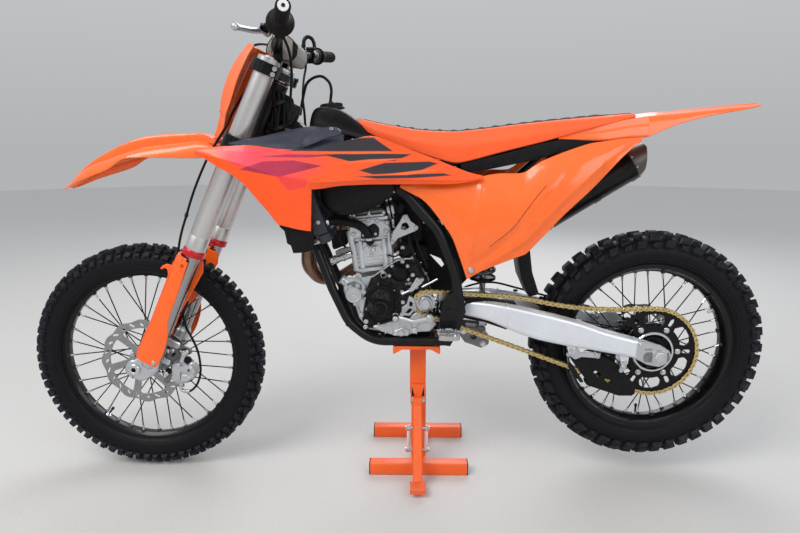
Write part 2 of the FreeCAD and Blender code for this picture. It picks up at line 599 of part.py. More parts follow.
gusset = loft("head_gusset", [[steer(10, -14, 60), steer(10, 14, 60), steer(10, 14, 150), steer(10, -14, 150)],
                              [place(520, -40, 985), place(520, 40, 985), place(520, 40, 1000), place(520, -40, 1000)]])
pivot = cylinder("pivot_shaft", "dims.pivot_rad", 252, place(cell("pivot_x"), -126, cell("pivot_z")), V(0, 1, 0))
solid = fuse("main_frame_solid", tubes + [head, gusset])
keep(cut("main_frame_bored", solid, cylinder("head_inner", "dims.stem_rad + dims.axle_gap", 175, steer(0, 0, 24.5), UP)), "main_frame")
keep(cut("frame_cradle_trim", fuse("frame_cradle_solid", cradle + [pivot]), solid), "frame_cradle")

SUBTOP = [(742, 72, 898), (880, 74, 925), (1040, 78, 950), (1240, 80, 1000)]
SUBLOW = [(900, 84, 740), (1010, 84, 800), (1215, 80, 984)]
stays = []
for side, tag in ((LEFT, "left"), (RIGHT, "right")):
    stays.append(tube("subframe_top_" + tag, "dims.subframe_rad", [place(x, side * y, z) for x, y, z in SUBTOP], 120))
    stays.append(tube("subframe_low_" + tag, "dims.subframe_rad", [place(x, side * y, z) for x, y, z in SUBLOW], 120))
    stays.append(cylinder("subframe_foot_" + tag, 12, 30, place(900, side * 84 - 15, 740), V(0, 1, 0)))
stays.append(cylinder("subframe_cross_rear", 8, 160, place(1232, -80, 994), V(0, 1, 0)))
stays.append(cylinder("subframe_cross_front", 8, 148, place(800, -74, 909), V(0, 1, 0)))
subframe = fuse("subframe_all", stays)

# ---------------------------------------------------------------- engine
CASE = [(640, 480), (668, 446), (720, 440), (850, 444), (868, 470), (862, 520), (838, 600), (800, 650), (745, 640), (690, 612),
        (634, 600), (616, 560)]
case = side_plate("crankcase_block", CASE, -58, 64)
pump = cylinder("pump_cover_round", 26, 41, place(618, -98, 562), V(0, 1, 0))
keep(fuse("crankcase_all", [case, pump]), "crankcase")
COVER_L = [(652, 552), (664, 508), (700, 488), (744, 494), (770, 520), (786, 580), (812, 640), (790, 660), (752, 650), (712, 618), (668, 600)]
keep(side_plate("ignition_cover_block", COVER_L, -100, -58.2), "ignition_cover")
COVER_R = [(640, 520), (660, 480), (710, 458), (790, 456), (840, 490), (856, 550), (830, 620), (780, 646), (700, 616), (650, 590)]
keep(side_plate("clutch_cover_block", COVER_R, 64.2, 108), "clutch_cover")
lean = FreeCAD.Rotation(V(0, 1, 0), -6)
base = place(688, 0, 625)


def leaned(x, y, z):
    return base + lean.multVec(V(x, y, z))


barrel_raw = box("cylinder_block", 112, 116, 96, leaned(-56, -58, 0), lean)
keep(cut("cylinder_trim", barrel_raw, DOC.getObject("crankcase_block")), "cylinder")
head_block = box("head_block", 124, 130, 78, leaned(-64, -65, 96.2), lean)
cam = box("cam_cover_block", 104, 120, 42, leaned(-54, -60, 174.2), lean)
keep(fuse("cylinder_head_all", [head_block, cam]), "cylinder_head")
stay_pts = [(728, 706), (738, 742), (768, 790), (786, 792), (812, 752), (800, 742)]
stay_l = side_plate("head_stay_left", stay_pts, -92, -86)
keep(group("engine_head_stays", [stay_l, mirrored("head_stay_right", stay_l)]), "engine_head_stays")
drive = plate_body("drive_sprocket_disc", None, 8, place(cell("drive_x"), cell("chain_y"), cell("drive_z")),
                   circles=[(0, 0, "dims.drive_pitch_rad - dims.chain_half - 0.4")])
drive_all = fuse("drive_sprocket_all", [drive, cylinder("drive_shaft", 12, 26, place(cell("drive_x"), -92, cell("drive_z")), V(0, 1, 0)),
                                        cylinder("drive_nut", 20, 8, place(cell("drive_x"), -84, cell("drive_z")), V(0, 1, 0))])
keep(drive_all, "drive_sprocket")

# ---------------------------------------------------------------- chain: one fixed loop
SLACK = [(835, 566.4), (960, 559), (1101, 549), (1190, 532), (1270, 520.5), (1370, 515.5), (1483, 518)]  # x, z along the upper run


def loop(off):
    """The chain's closed path, off from the pitch line: two arcs, a straight lower run and a slack upper one."""
    r1, r2 = cell("drive_pitch_rad") + off, cell("rear_pitch_rad") + off
    c1, c2 = V(cell("drive_x"), 0, cell("drive_z")), V(cell("wheelbase"), 0, cell("rear_axle_z"))
    d = c2 - c1
    dist, tilt = d.Length, math.atan2(d.z, d.x)
    lap = math.asin((cell("rear_pitch_rad") - cell("drive_pitch_rad")) / dist)

    def on(c, r, ang):
        return c + V(r * math.cos(ang), 0, r * math.sin(ang))
    low = tilt - math.pi / 2 - lap
    start, end = math.radians(86.0), math.radians(93.0)  # where the upper run leaves each sprocket
    a1, b1 = on(c1, r1, start), on(c2, r2, end)
    a2, b2 = on(c1, r1, low), on(c2, r2, low)
    run = [a1]
    for (x0, z0), (x, z), (x1, z1) in zip(SLACK, SLACK[1:], SLACK[2:]):
        along = V(x1 - x0, 0, z1 - z0).normalize()
        run.append(V(x, 0, z) + V(-along.z, 0, along.x) * off)
    slack = Part.BSplineCurve()
    slack.interpolate(Points=run + [b1], InitialTangent=V(math.sin(start), 0, -math.cos(start)), FinalTangent=V(math.sin(end), 0, -math.cos(end)))
    return Part.Wire([
        Part.Arc(a1, on(c1, r1, tilt + math.pi), a2).toShape(), Part.LineSegment(a2, b2).toShape(),
        Part.Arc(b2, on(c2, r2, tilt), b1).toShape(), slack.toShape()])


half = cell("chain_half")
band = Part.Face(loop(half)).cut(Part.Face(loop(-half))).Faces[0]
chain = DOC.addObject("Part::Feature", "chain_band")
chain.Shape = band.extrude(V(0, cell("chain_wide"), 0))
chain.Placement = FreeCAD.Placement(V(FX, cell("chain_y") - cell("chain_wide") / 2, 0), FreeCAD.Rotation())
keep(chain, "chain")

# ---------------------------------------------------------------- swingarm
ARM = [  # x, top z, bottom z, inner |y|, outer |y|
    (880, 545, 496, 64, 84), (930, 546, 500, 64, 84), (1024, 545, 484, 78, 112), (1115, 529, 443, 86, 121), (1194, 510, 424, 88, 123),
    (1268, 491, 411, 88, 123), (1324, 470, 402, 88, 123), (1423, 442, 383, 89, 122), (1490, 423, 362, 90, 122), (1524, 406, 374, 90, 121)]
arms = []
for side, tag in ((LEFT, "left"), (RIGHT, "right")):
    secs = [[place(x, side * y0, zb), place(x, side * y1, zb + 4), place(x, side * y1, zt - 4), place(x, side * y0, zt)] for x, zt, zb, y0, y1 in ARM]
    arms.append(loft("swingarm_arm_" + tag, secs))
BRIDGE = [(928, 540), (1010, 540), (1068, 522), (1072, 470), (1040, 466), (928, 500)]
arms.append(side_plate("swingarm_bridge", BRIDGE, -86, 86))
arms.append(cylinder("swingarm_boss", 24, 168, place(cell("pivot_x"), -84, cell("pivot_z")), V(0, 1, 0)))
arm = cut("swingarm_window", fuse("swingarm_all", arms), box("swingarm_shock_room", 92, 92, 160, place(957, -46, 440)))
arm = cut("swingarm_pivot_bored", arm, cylinder("swingarm_pivot_bore", "dims.pivot_rad + 0.15", 300, place(cell("pivot_x"), -150, cell("pivot_z")), V(0, 1, 0)))
arm = cut("swingarm_axle_bored", arm, cylinder("swingarm_axle_bore", "dims.rear_axle_rad + 0.15", 300, REAR + V(0, -150, 0), V(0, 1, 0)))
keep(arm, "swingarm")
keep(rear_axle, "rear_axle")
GUIDE = [(1232, 404), (1272, 344), (1312, 292), (1398, 262), (1446, 262), (1444, 292), (1392, 352), (1366, 372), (1314, 392), (1272, 372)]
guide = side_plate("chain_guide_block", GUIDE, -87.8, -52)
guide_slot = box("chain_guide_slot", 400, 20, 400, V(0, 0, 0))
shape = DOC.addObject("Part::Feature", "chain_guide_room")
# room inside the guide for the chain's lower run and for the sprocket
room = Part.Face(loop(half + 3)).extrude(V(0, 24, 0))
shape.Shape = room
shape.Placement = FreeCAD.Placement(V(FX, -82, 0), FreeCAD.Rotation())
DOC.removeObject(guide_slot.Name)
keep(cut("chain_guide_open", guide, shape), "chain_guide")

# ---------------------------------------------------------------- shock absorber, linkage, rear brake
shock_solid = fuse("shock_all", [cylinder("shock_spring", 39, 190, place(1003, 0, 588), V(0, 0, 1)),
                           cylinder("shock_rod", 12, 130, place(1003, 0, 460), V(0, 0, 1)),
                           cylinder("shock_eye", 16, 40, place(1003, -20, 808), V(0, 1, 0)),
                           cylinder("shock_body", 24, 40, place(1003, 0, 770), V(0, 0, 1))])
LINK = [(930, 432), (950, 404), (1000, 386), (1024, 400), (1020, 432), (990, 452), (950, 456)]
shock = group("shock_and_link", [shock_solid, side_plate("linkage_block", LINK, -42, 42)])
REAR_CALIPER = [(1352, 470), (1420, 478), (1446, 452), (1436, 414), (1400, 404), (1352, 428)]
rc = side_plate("rear_caliper_block", REAR_CALIPER, 51, 87)
rc = cut("rear_caliper_slotted", rc, cylinder("rear_caliper_slot", 116, "dims.disc_slot", REAR + V(0, 66 - 6.5, 0), V(0, 1, 0)))
keep(rc, "rear_caliper")

# ---------------------------------------------------------------- exhaust
HEADER = [(609, 4, 751), (545, 4, 748), (488, 10, 700), (484, 30, 622), (505, 80, 570), (560, 116, 562), (660, 130, 624), (790, 106, 690), (890, 76, 704), (1000, 84, 706), (1086, 98, 696), (1150, 100, 735.8)]
header = tube("exhaust_pipe", "dims.header_rad", [place(*p) for p in HEADER], 70)
keep(header, "exhaust_header")
SIL0, SIL_DIR = place(1156, 100, 739.5), V(math.cos(math.radians(31.9)), 0, math.sin(math.radians(31.9)))
SIL_LEN = cell("silencer_len")
silencer = fuse("silencer_all", [
    cone("silencer_front", 26, "dims.silencer_rad", 46, SIL0, SIL_DIR),
    cylinder("silencer_barrel", "dims.silencer_rad", SIL_LEN - 46, SIL0 + SIL_DIR * 46, SIL_DIR)])
tip = cone("silencer_cap", "dims.silencer_rad", 37, 57, SIL0 + SIL_DIR * SIL_LEN, SIL_DIR)
SLANT = [(1484, 1010), (1484, 906), (1467, 874), (1440, 852), (1560, 800), (1560, 1010)]  # what the cap's slanting end leaves out
capped = cut("silencer_capped", fuse("silencer_closed", [silencer, tip]), side_plate("silencer_slant", SLANT, 30, 170))
keep(cut("silencer_open", capped, cylinder("silencer_mouth", "dims.outlet_rad", 70, SIL0 + SIL_DIR * (SIL_LEN - 8), SIL_DIR)), "silencer")

# ---------------------------------------------------------------- radiators, tank, bodywork
rads = []
for side, tag in ((LEFT, "left"), (RIGHT, "right")):
    y0 = 56 if side == RIGHT else -150
    rads.append(box("radiator_" + tag, 34, 94, 236, place(546, y0, 712), FreeCAD.Rotation(V(0, 1, 0), -20)))
keep(group("radiators_pair", rads), "radiators")

TANK = [  # x, top z, half width at the top, shoulder z, half width of the body, bottom z
    (508, 1052, 34, 1030, 52, 1004), (532, 1082, 44, 1040, 60, 1002), (596, 1072, 56, 1020, 66, 1000), (640, 1044, 62, 1006, 70, 992), (700, 990, 64, 984, 74, 960)]
secs = []
for x, top, ht, sh, hw, bot in TANK:
    secs.append([place(x, -hw, bot), place(x, -hw, sh), place(x, -ht, top), place(x, ht, top), place(x, hw, sh), place(x, hw, bot)])
tank_top = fuse("fuel_tank_top", [loft("fuel_tank_body", secs), cylinder("fuel_cap_disc", 31, 18, place(566, 0, 1074), V(-0.1, 0, 1))])

SEAT = [  # x, top z, half width at the top, edge z, half width at the edge, bottom z
    (640, 1052, 42, 1044, 50, 1030), (690, 1040, 54, 1020, 66, 1000), (760, 1026, 60, 1000, 78, 972), (826, 1018, 64, 986, 88, 950),
    (912, 1015, 70, 978, 94, 928), (1000, 1024, 76, 986, 100, 948), (1130, 1039, 84, 1008, 106, 982), (1280, 1054, 84, 1030, 104, 1022), (1398, 1066, 66, 1056, 84, 1052)]
secs = []
for x, top, ht, sh, hw, bot in SEAT:
    secs.append([place(x, -hw, bot), place(x, -hw, sh), place(x, -ht, top), place(x, ht, top), place(x, hw, sh), place(x, hw, bot)])
seat_raw = loft("seat_foam", secs)
seat_on_tank = cut("seat_on_tank", seat_raw, DOC.getObject("fuel_tank_body"))
keep(cut("seat_trim", seat_on_tank, subframe), "seat")

BASE = [  # x, top z, half width, bottom z: the tray under the seat
    (926, 926.5, 92, 900), (1010, 947, 100, 915), (1130, 980, 106, 940), (1186, 992, 105, 957), (1298, 988.5, 102, 983)]
tray = loft("seat_base_tray", [[place(x, -hw, bot), place(x, -hw, top), place(x, hw, top), place(x, hw, bot)] for x, top, hw, bot in BASE])
tray2 = cut("seat_base_hollow", tray, loft("seat_base_room", [[place(x, -hw + 6, bot - 6), place(x, -hw + 6, top - 5), place(x, hw - 6, top - 5), place(x, hw - 6, bot - 6)]
                                                            for x, top, hw, bot in [(920, 925, 92, 898)] + BASE[1:-1] + [(1304, 990, 102, 983)]]))
tray3 = cut("seat_base_trim", tray2, DOC.getObject("seat_foam"))
REARFENDER = [  # x, z at the middle, half width, z at the edge
    (1292, 1014, 88, 985), (1360, 1042, 98, 992), (1424, 1062, 98, 1000), (1500, 1068, 92, 1034), (1580, 1076, 80, 1054), (1690, 1087, 58, 1072), (1749, 1092, 34, 1086)]
rows = []
for x, mid, half, edge in REARFENDER:
    rows.append([place(x, -half, edge), place(x, -0.8 * half, mid - 6 if mid - 6 > edge else edge + 2), place(x, -0.3 * half, mid), place(x, 0.3 * half, mid),
                 place(x, 0.8 * half, mid - 6 if mid - 6 > edge else edge + 2), place(x, half, edge)])
rear_fender = loft("rear_fender_skin", [r + [V(p.x, p.y * 0.94, p.z - cell("plastic")) for p in reversed(r)] for r in rows])
WEDGE = [  # x, top z, |y| at the top, bottom z, |y| at the bottom: the fender's sides, running forward under the seat's edge
    (1184, 998, 100, 993.5, 102), (1240, 1012, 100, 992, 104), (1304, 1028, 99, 990.5, 105), (1345, 1038, 97, 995, 104), (1372, 1044, 95, 998, 103), (1424, 1050, 90, 1001, 99)]
side_l = skin("rear_fender_wedge", [[place(x, -yt, zt), place(x, -yb, zb)] for x, zt, yt, zb, yb in WEDGE], V(0, 4.0, 0))
rear_whole = fuse("rear_fender_whole", [rear_fender, side_l, mirrored("rear_fender_wedge_right", side_l)])
rear_fender2 = cut("rear_fender_trim", cut("rear_fender_off_tray", rear_whole, tray), DOC.getObject("seat_foam"))

SIDE = [  # x, top z, |y| at the top, |y| in the middle, |y| at the foot, bottom z
    (762, 875, 130, 131, 132, 866), (818, 877, 131, 135, 136, 838), (863, 876, 128, 136, 136, 789), (901, 876, 130, 144, 140, 737),
    (944, 881, 131, 151, 138, 618), (983, 896, 131, 156, 138, 641), (1035, 903, 130, 161, 144, 664), (1098, 909, 130, 164, 150, 690), (1152, 942, 128, 162, 152, 748),
    (1261, 981, 120, 150, 146, 857), (1345, 994, 112, 128, 130, 945), (1402, 997, 105, 107, 109, 990)]
panels = []
rows = []
for x, zt, yt, ym, yb, zb in SIDE:
    zm = zt * 0.45 + zb * 0.55
    rows.append([place(x, -yt, zt), place(x, -(yt + 0.75 * (ym - yt)), zt * 0.72 + zb * 0.28), place(x, -ym, zm), place(x, -yb, zb)])
panel = skin("side_panel_skin", rows, V(0, cell("plastic"), 0))
keep(group("side_panels_pair", [panel, mirrored("side_panel_mirror", panel)]), "side_panels")

SHROUD = [  # x, top z, |y| at the top, |y| at the fold, |y| at the foot, bottom z
    (240, 968, 196, 200, 200, 955), (300, 973, 190, 203, 204, 922), (365, 977, 184, 205, 205, 884), (430, 970, 178, 205, 204, 822), (476, 965, 174, 204, 202, 768),
    (525, 968, 168, 200, 196, 757), (547, 972, 164, 196, 188, 866), (602, 984, 150, 188, 182, 875), (685, 1001, 118, 172, 168, 876), (790, 964, 112, 160, 156, 877),
    (906, 925, 118, 152, 150, 878), (980, 900, 142, 146, 146, 892)]
rows = []
for x, zt, yt, ym, yb, zb in SHROUD:
    rows.append([place(x, -yt, zt), place(x, -(yt + 0.7 * (ym - yt)), zt * 0.7 + zb * 0.3), place(x, -ym, zt * 0.4 + zb * 0.6), place(x, -yb, zb)])
shroud = skin("shroud_skin", rows, V(0, cell("plastic"), 0))
keep(group("shrouds_pair", [shroud, mirrored("shroud_mirror", shroud)]), "radiator_shrouds")

COWL = [  # x, top z, |y| at the top, bottom z, |y| at the foot: the black panel between shroud and tank
    (322, 985, 176, 976, 180), (397, 1000, 150, 972, 172), (470, 1018, 118, 966, 166), (521, 1027, 92, 962, 160), (575, 1022, 80, 972, 150), (610, 1012, 80, 984, 138)]
rows = [[place(x, -yt, zt), place(x, -(yt + yb) / 2 - 4, (zt + zb) / 2), place(x, -yb, zb)] for x, zt, yt, zb, yb in COWL]
cowl = skin("tank_cowl_skin", rows, V(0, 4.0, 0))
cowls = [cowl, mirrored("tank_cowl_mirror", cowl)]

LOBE = [  # x, top z, bottom z, inner |y|, outer |y|: the tank's lower lobes, inside the shrouds
    (545, 955, 826, 112, 140), (570, 960, 800, 112, 146), (610, 960, 790, 113, 148), (672, 950, 802, 118, 146), (745, 905, 846, 130, 144)]
lobe = loft("tank_lobe_left", [[place(x, -yi, zb), place(x, -yo, zb + 10), place(x, -yo, zt), place(x, -yi, zt)] for x, zt, zb, yi, yo in LOBE])
tank = group("fuel_tank_all", [tank_top, lobe, mirrored("tank_lobe_right", lobe)])
keep(cut("fuel_tank_trim", tank, DOC.getObject("main_frame_bored")), "fuel_tank")

GUARD = [  # x, top z, bottom z, |y|: the black air deflector under the shroud's nose
    (440, 816, 792, 190), (452, 800, 742, 188), (470, 790, 698, 184), (488, 790, 697, 178), (530, 790, 705, 158)]
rows = [[place(x, -y, zt), place(x, -y, zb)] for x, zt, zb, y in GUARD]
deflector = skin("deflector_skin", rows, V(0, 4.0, 0))
keep(group("tank_cowls_pair", cowls + [deflector, mirrored("deflector_mirror", deflector)]), "tank_cowls")

airbox = side_plate("airbox_block", [(930, 872), (1065, 880), (1120, 850), (1110, 720), (1060, 700), (1062, 860), (930, 850)], -104, 50)
FLAP = [(1084, 716), (1100, 640), (1108, 600), (1132, 548), (1160, 556), (1138, 620), (1128, 690), (1132, 716)]
flap = side_plate("mudflap_block", FLAP, -56, 48)
keep(shock, "shock_absorber")
keep(subframe, "subframe")
INTAKE = [(753, 0, 772), (850, 0, 800), (946, 0, 861)]
boot = tube("intake_boot", 24, [place(*p) for p in INTAKE], 90)
keep(cut("airbox_trim", fuse("airbox_all", [airbox, flap, tray3, boot]), subframe), "airbox")
keep(rear_fender2, "rear_fender")

# ---------------------------------------------------------------- pegs and pedals
pegs = []
peg = fuse("foot_peg_left", [box("foot_peg_tread", 62, 62, 14, place(864, -196, 462)),
                             box("foot_peg_arm", 22, 13.6, 22, place(884, -136, 456)),
                             box("foot_peg_hinge", 36, 14, 34, place(876, -136, 444))])
keep(group("foot_pegs_pair", [peg, mirrored("foot_peg_right", peg)]), "foot_pegs")
lever = tube("shift_arm", 6, [place(845, -112, 497), place(800, -118, 490), place(748, -128, 508)], 12)
shift = fuse("shift_lever_all", [lever, cylinder("shift_toe", 8, 34, place(748, -158, 508), V(0, 1, 0)),
                              cylinder("shift_hub", 12, 14, place(845, -118, 497), V(0, 1, 0))])
pedal = tube("brake_arm", 7, [place(850, 134, 448), place(790, 138, 442), place(700, 142, 460)], 12)
brake = fuse("brake_pedal_all", [pedal, box("brake_toe", 34, 44, 9, place(674, 126, 460)), cylinder("brake_hub", 13, 16, place(850, 124, 448), V(0, 1, 0))])
keep(group("foot_levers_pair", [shift, brake]), "foot_levers")

# ---------------------------------------------------------------- hoses and cables, each held along its route
LOOSE = 1e6  # every arc as large as its two runs allow


def hose(name, rad, pts):
    line = tube(name, rad, pts, LOOSE)
    DOC.recompute()
    length = sum(e.Length for e in DOC.getObject(name + "_path").Shape.Edges)
    print(f"{name}: {length:.0f} mm long, volume {line.Shape.Volume:.0f} of {math.pi * cell(rad[5:]) ** 2 * length:.0f} mm3")
    return line


BRAKE_HOSE = [  # in the steering frame: from the hand lever, behind the number plate, ahead of the left leg and round the caliper
    (-28.5, 184.8, 292.8), (-36, 165, 291), (-52, 142, 275), (-67, 118, 252), (-69, 90, 226), (-72, 58, 198), (-75, 22, 166), (-76, -14, 128),
    (-75, -46, 84), (-74, -66, 38), (-79, -77, -10), (-86, -80.5, -62), (-89, -80.5, -120), (-89, -79, -180), (-85, -78, -240), (-80, -77, -300), (-70, -73, -352),
    (-54, -66, -396), (-34, -61.5, -436), (-14, -61, -478), (2, -62, -520)]
low = [steer(*p) for p in BRAKE_HOSE] + [place(*p) for p in ((135, -69, 458), (153, -74, 424), (167, -76, 388), (172.5, -76, 350), (170.5, -76, 313), (158, -76, 281), (139, -76, 262.5), (119, -76, 260.5))]
keep(hose("front_brake_hose_line", "dims.brake_hose_rad", low), "front_brake_hose")
THROTTLE = [(448.8, 257.9, 1283.4), (450, 257, 1262), (455, 255, 1240), (457, 238, 1215), (458, 200, 1186), (463, 145, 1150), (470, 92, 1107), (477, 68, 1072), (480, 66, 1012)]
CLUTCH = [(435.6, -193.2, 1249.1), (436, -172, 1254), (444, -148, 1260), (460, -126, 1250), (472, -106, 1212), (472, -88, 1160), (464, -72, 1104), (458, -64, 1045)]
keep(group("control_cables_pair", [hose("throttle_cable", "dims.cable_rad", [place(*p) for p in THROTTLE]),
                                   hose("clutch_hose", "dims.cable_rad", [place(*p) for p in CLUTCH])]), "control_cables")
VENT = [(562, 0, 1093), (567, 0, 1128), (562, 0, 1150), (541, 0, 1168), (516, 0, 1163), (496, 0, 1147), (485, 0, 1106), (476, 0, 1060)]
keep(hose("vent_hose_line", "dims.vent_hose_rad", [place(*p) for p in VENT]), "vent_hose")

# ---------------------------------------------------------------- lift stand
SX = 816.0  # stand's middle, behind the front axle
FEET = [("near", -86.0), ("far", 160.0)]  # y of each foot's near face
feet = [box("stand_foot_" + n, "dims.foot_len", "dims.foot_tube", "dims.foot_tube", place(SX - cell("foot_len") / 2, y, 0)) for n, y in FEET]
feet.append(box("stand_spine", 44, 208.4, 30, place(SX - 22, -48.2, 4)))
keep(fuse("stand_base_all", feet), "stand_base")
post, sleeve = cell("post_side"), cell("column_side")
col_lo = box("stand_post", "dims.post_side", "dims.post_side", 220, place(SX - post / 2, -post / 2, 34.2))
col_up = box("stand_sleeve", "dims.column_side", "dims.column_side", 154, place(SX - 3 - sleeve / 2, -sleeve / 2, 236.2))
keep(fuse("stand_column_all", [col_lo, col_up]), "stand_column")
zt, tk = cell("platform_z"), cell("platform_thick")
top = box("stand_plate", "dims.platform_len", "dims.platform_wide", "dims.platform_thick", place(808 - cell("platform_len") / 2, -cell("platform_wide") / 2, zt - 0.3 - tk))
x0, x1, under = 808 - cell("platform_len") / 2, 808 + cell("platform_len") / 2, zt - 0.3 - tk
SKIRT = [(x0, under + 2), (x0, under - 16), (x0 + 26, under - 3), (x1 - 26, under - 3), (x1, under - 16), (x1, under + 2)]
edge = cell("platform_wide") / 2
skirts = [side_plate(f"stand_skirt{k}", SKIRT, y, y + 4) for k, y in enumerate((-edge, edge - 4))]
keep(fuse("stand_platform_all", [top] + skirts + [box("stand_socket", 56, 56, 9, place(SX - 31, -28, under - 9))]), "stand_platform")
lever_sk = DOC.addObject("PartDesign::Body", "stand_lever_body")
lsk = sketch(lever_sk, "stand_lever_outline", "YZ_Plane", [(-24.2, 232), (-24.2, 200), (-126, 52), (-150, 10), (-212, 10), (-212, 20), (-172, 24), (-150, 60), (-52, 208), (-52, 232)])
lp = lever_sk.newObject("PartDesign::Pad", "stand_lever_pad")
lp.Profile, lp.SideType = lsk, "Symmetric"
bind(lp, Length="dims.lever_wide")
lever_sk.Placement = FreeCAD.Placement(place(SX - 4, 0, 0), FreeCAD.Rotation())
pad_plate = box("stand_pedal", 44, 46, 8, place(SX - 26, -212, 20.2))
links = []
for side, tag in ((LEFT, "front"), (RIGHT, "rear")):
    x = SX - 4 + side * 26 - 4
    links.append(fuse("stand_link_" + tag, [
        tube("stand_link_rod_" + tag, 4, [place(x + 4, -60, 74), place(x + 4, -84, 150)], 5),
        cylinder("stand_link_pin_low_" + tag, 6, 14, place(x - 3, -58, 70), V(1, 0, 0)),
        cylinder("stand_link_pin_up_" + tag, 6, 14, place(x - 3, -86, 154), V(1, 0, 0))]))
keep(group("stand_pedal_lever_all", [fuse("stand_lever_solid", [lever_sk, pad_plate])] + links), "stand_pedal_lever")

# ---------------------------------------------------------------- build, check and write
DOC.recompute()
bad = [o.Name for o in DOC.Objects if "Invalid" in o.State or "Error" in o.State]
for obj in NODES:
    shape = obj.Shape
    if shape.isNull() or not shape.isValid() or not shape.Solids:
        bad.append(obj.Label)
if bad:
    raise SystemExit("failed objects: " + ", ".join(bad))
for old in os.listdir("parts"):
    if old.endswith(".step"):
        os.remove(os.path.join("parts", old))
for obj in NODES:
    obj.Shape.exportStep(os.path.join("parts", obj.Label + ".step"))
    print(f"{obj.Label:24s} solids {len(obj.Shape.Solids):3d} volume {obj.Shape.Volume / 1e3:10.1f} cm3")
print(len(NODES), "nodes, total", round(sum(o.Shape.Volume for o in NODES) / 1e6, 2), "litres")
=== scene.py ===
import bpy, bmesh, math, random
import numpy as np
from mathutils import Vector, Matrix, Quaternion
from mathutils.geometry import tessellate_polygon


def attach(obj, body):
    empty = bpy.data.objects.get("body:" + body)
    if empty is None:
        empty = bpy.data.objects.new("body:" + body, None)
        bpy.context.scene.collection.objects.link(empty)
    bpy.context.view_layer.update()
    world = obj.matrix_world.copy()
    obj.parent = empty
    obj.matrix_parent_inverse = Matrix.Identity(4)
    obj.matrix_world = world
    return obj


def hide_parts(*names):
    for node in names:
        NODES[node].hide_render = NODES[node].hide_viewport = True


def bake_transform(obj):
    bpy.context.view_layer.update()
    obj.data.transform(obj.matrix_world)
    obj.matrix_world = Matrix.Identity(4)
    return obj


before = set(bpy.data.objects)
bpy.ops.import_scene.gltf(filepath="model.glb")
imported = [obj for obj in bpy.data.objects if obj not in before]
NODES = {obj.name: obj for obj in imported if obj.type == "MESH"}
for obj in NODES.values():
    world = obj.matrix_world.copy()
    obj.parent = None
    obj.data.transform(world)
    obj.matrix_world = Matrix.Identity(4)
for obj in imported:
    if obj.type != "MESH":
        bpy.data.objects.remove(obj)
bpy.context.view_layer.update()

random.seed(7)
CHASSIS, STEERING, FRONTW, REARW = "chassis", "steering", "front_wheel", "rear_wheel"
LEFT, RIGHT = -1, 1

# ------------------------------------------------------------------ the bike's own coordinates, millimetres
RAKE = math.radians(24.3)
CR, SR = math.cos(RAKE), math.sin(RAKE)


def W(x, y, z):
    """x back from the front axle, y to the right, z up."""
    return np.array((x - 743.5, y, z), float)


def S(x, y, z):
    """The steering frame: x back square to the axis, z up along it."""
    return W(338.5 + x * CR + z * SR, y, 969.0 - x * SR + z * CR)


def un(v):
    v = np.array(v, float)
    n = np.linalg.norm(v)
    return v / n if n else v


def basis(d, hint=(0, 0, 1)):
    """Two directions square to d."""
    d = un(d)
    h = np.array(hint, float)
    if abs(np.dot(d, un(h))) > 0.95:
        h = np.array((1.0, 0, 0)) if abs(d[0]) < 0.9 else np.array((0, 1.0, 0))
    a = un(np.cross(h, d))
    return a, np.cross(d, a)


def crom(pts, n, closed=False):
    """A smooth curve through pts, n steps for each run."""
    p = np.array(pts, float)
    if closed:
        p = np.vstack([p[-1:], p, p[:2]])
    else:
        p = np.vstack([2 * p[:1] - p[1:2], p, 2 * p[-1:] - p[-2:-1]])
    out = []
    for i in range(1, len(p) - 2):
        a, b, c, d = p[i - 1], p[i], p[i + 1], p[i + 2]
        la, lb, lc = (max(np.linalg.norm(v) ** 0.5, 1e-6) for v in (b - a, c - b, d - c))
        m1 = lb * ((b - a) / la - (c - a) / (la + lb) + (c - b) / lb)
        m2 = lb * ((c - b) / lb - (d - b) / (lb + lc) + (d - c) / lc)
        for t in np.arange(n) / n:
            t2, t3 = t * t, t * t * t
            out.append((2 * t3 - 3 * t2 + 1) * b + (t3 - 2 * t2 + t) * m1 + (3 * t2 - 2 * t3) * c + (t3 - t2) * m2)
    if not closed:
        out.append(p[-2])
    return np.array(out)


def lerp(a, b, t):
    return a + (b - a) * t


def table(rows, x):
    """A row of numbers at x, read straight between the rows of a table whose first column is x."""
    r = np.array(rows, float)
    return [float(np.interp(x, r[:, 0], r[:, i])) for i in range(1, r.shape[1])]


def arc(cx, cy, r, a0, a1, n):
    return [(cx + r * math.cos(math.radians(a)), cy + r * math.sin(math.radians(a))) for a in np.linspace(a0, a1, n)]


def rounded(pts, r, n=4):
    """An outline with its corners rounded; r is one radius or one for each corner."""
    out, m = [], len(pts)
    rr = r if hasattr(r, "__len__") else [r] * m
    for i in range(m):
        a, b, c = (np.array(pts[j % m], float) for j in (i - 1, i, i + 1))
        u, w = un(a - b), un(c - b)
        ang = math.acos(max(-1, min(1, float(np.dot(u, w))))) / 2
        if rr[i] <= 0 or ang > 1.5:
            out.append(tuple(b))
            continue
        back = min(rr[i] / math.tan(ang), 0.49 * min(np.linalg.norm(a - b), np.linalg.norm(c - b)))
        p, q = b + u * back, b + w * back
        for t in np.linspace(0, 1, n + 1):
            out.append(tuple((1 - t) ** 2 * p + 2 * t * (1 - t) * b + t * t * q))
    return out


def area2(pts):
    p = np.array(pts)
    q = np.roll(p, -1, 0)
    return float((p[:, 0] * q[:, 1] - q[:, 0] * p[:, 1]).sum()) / 2


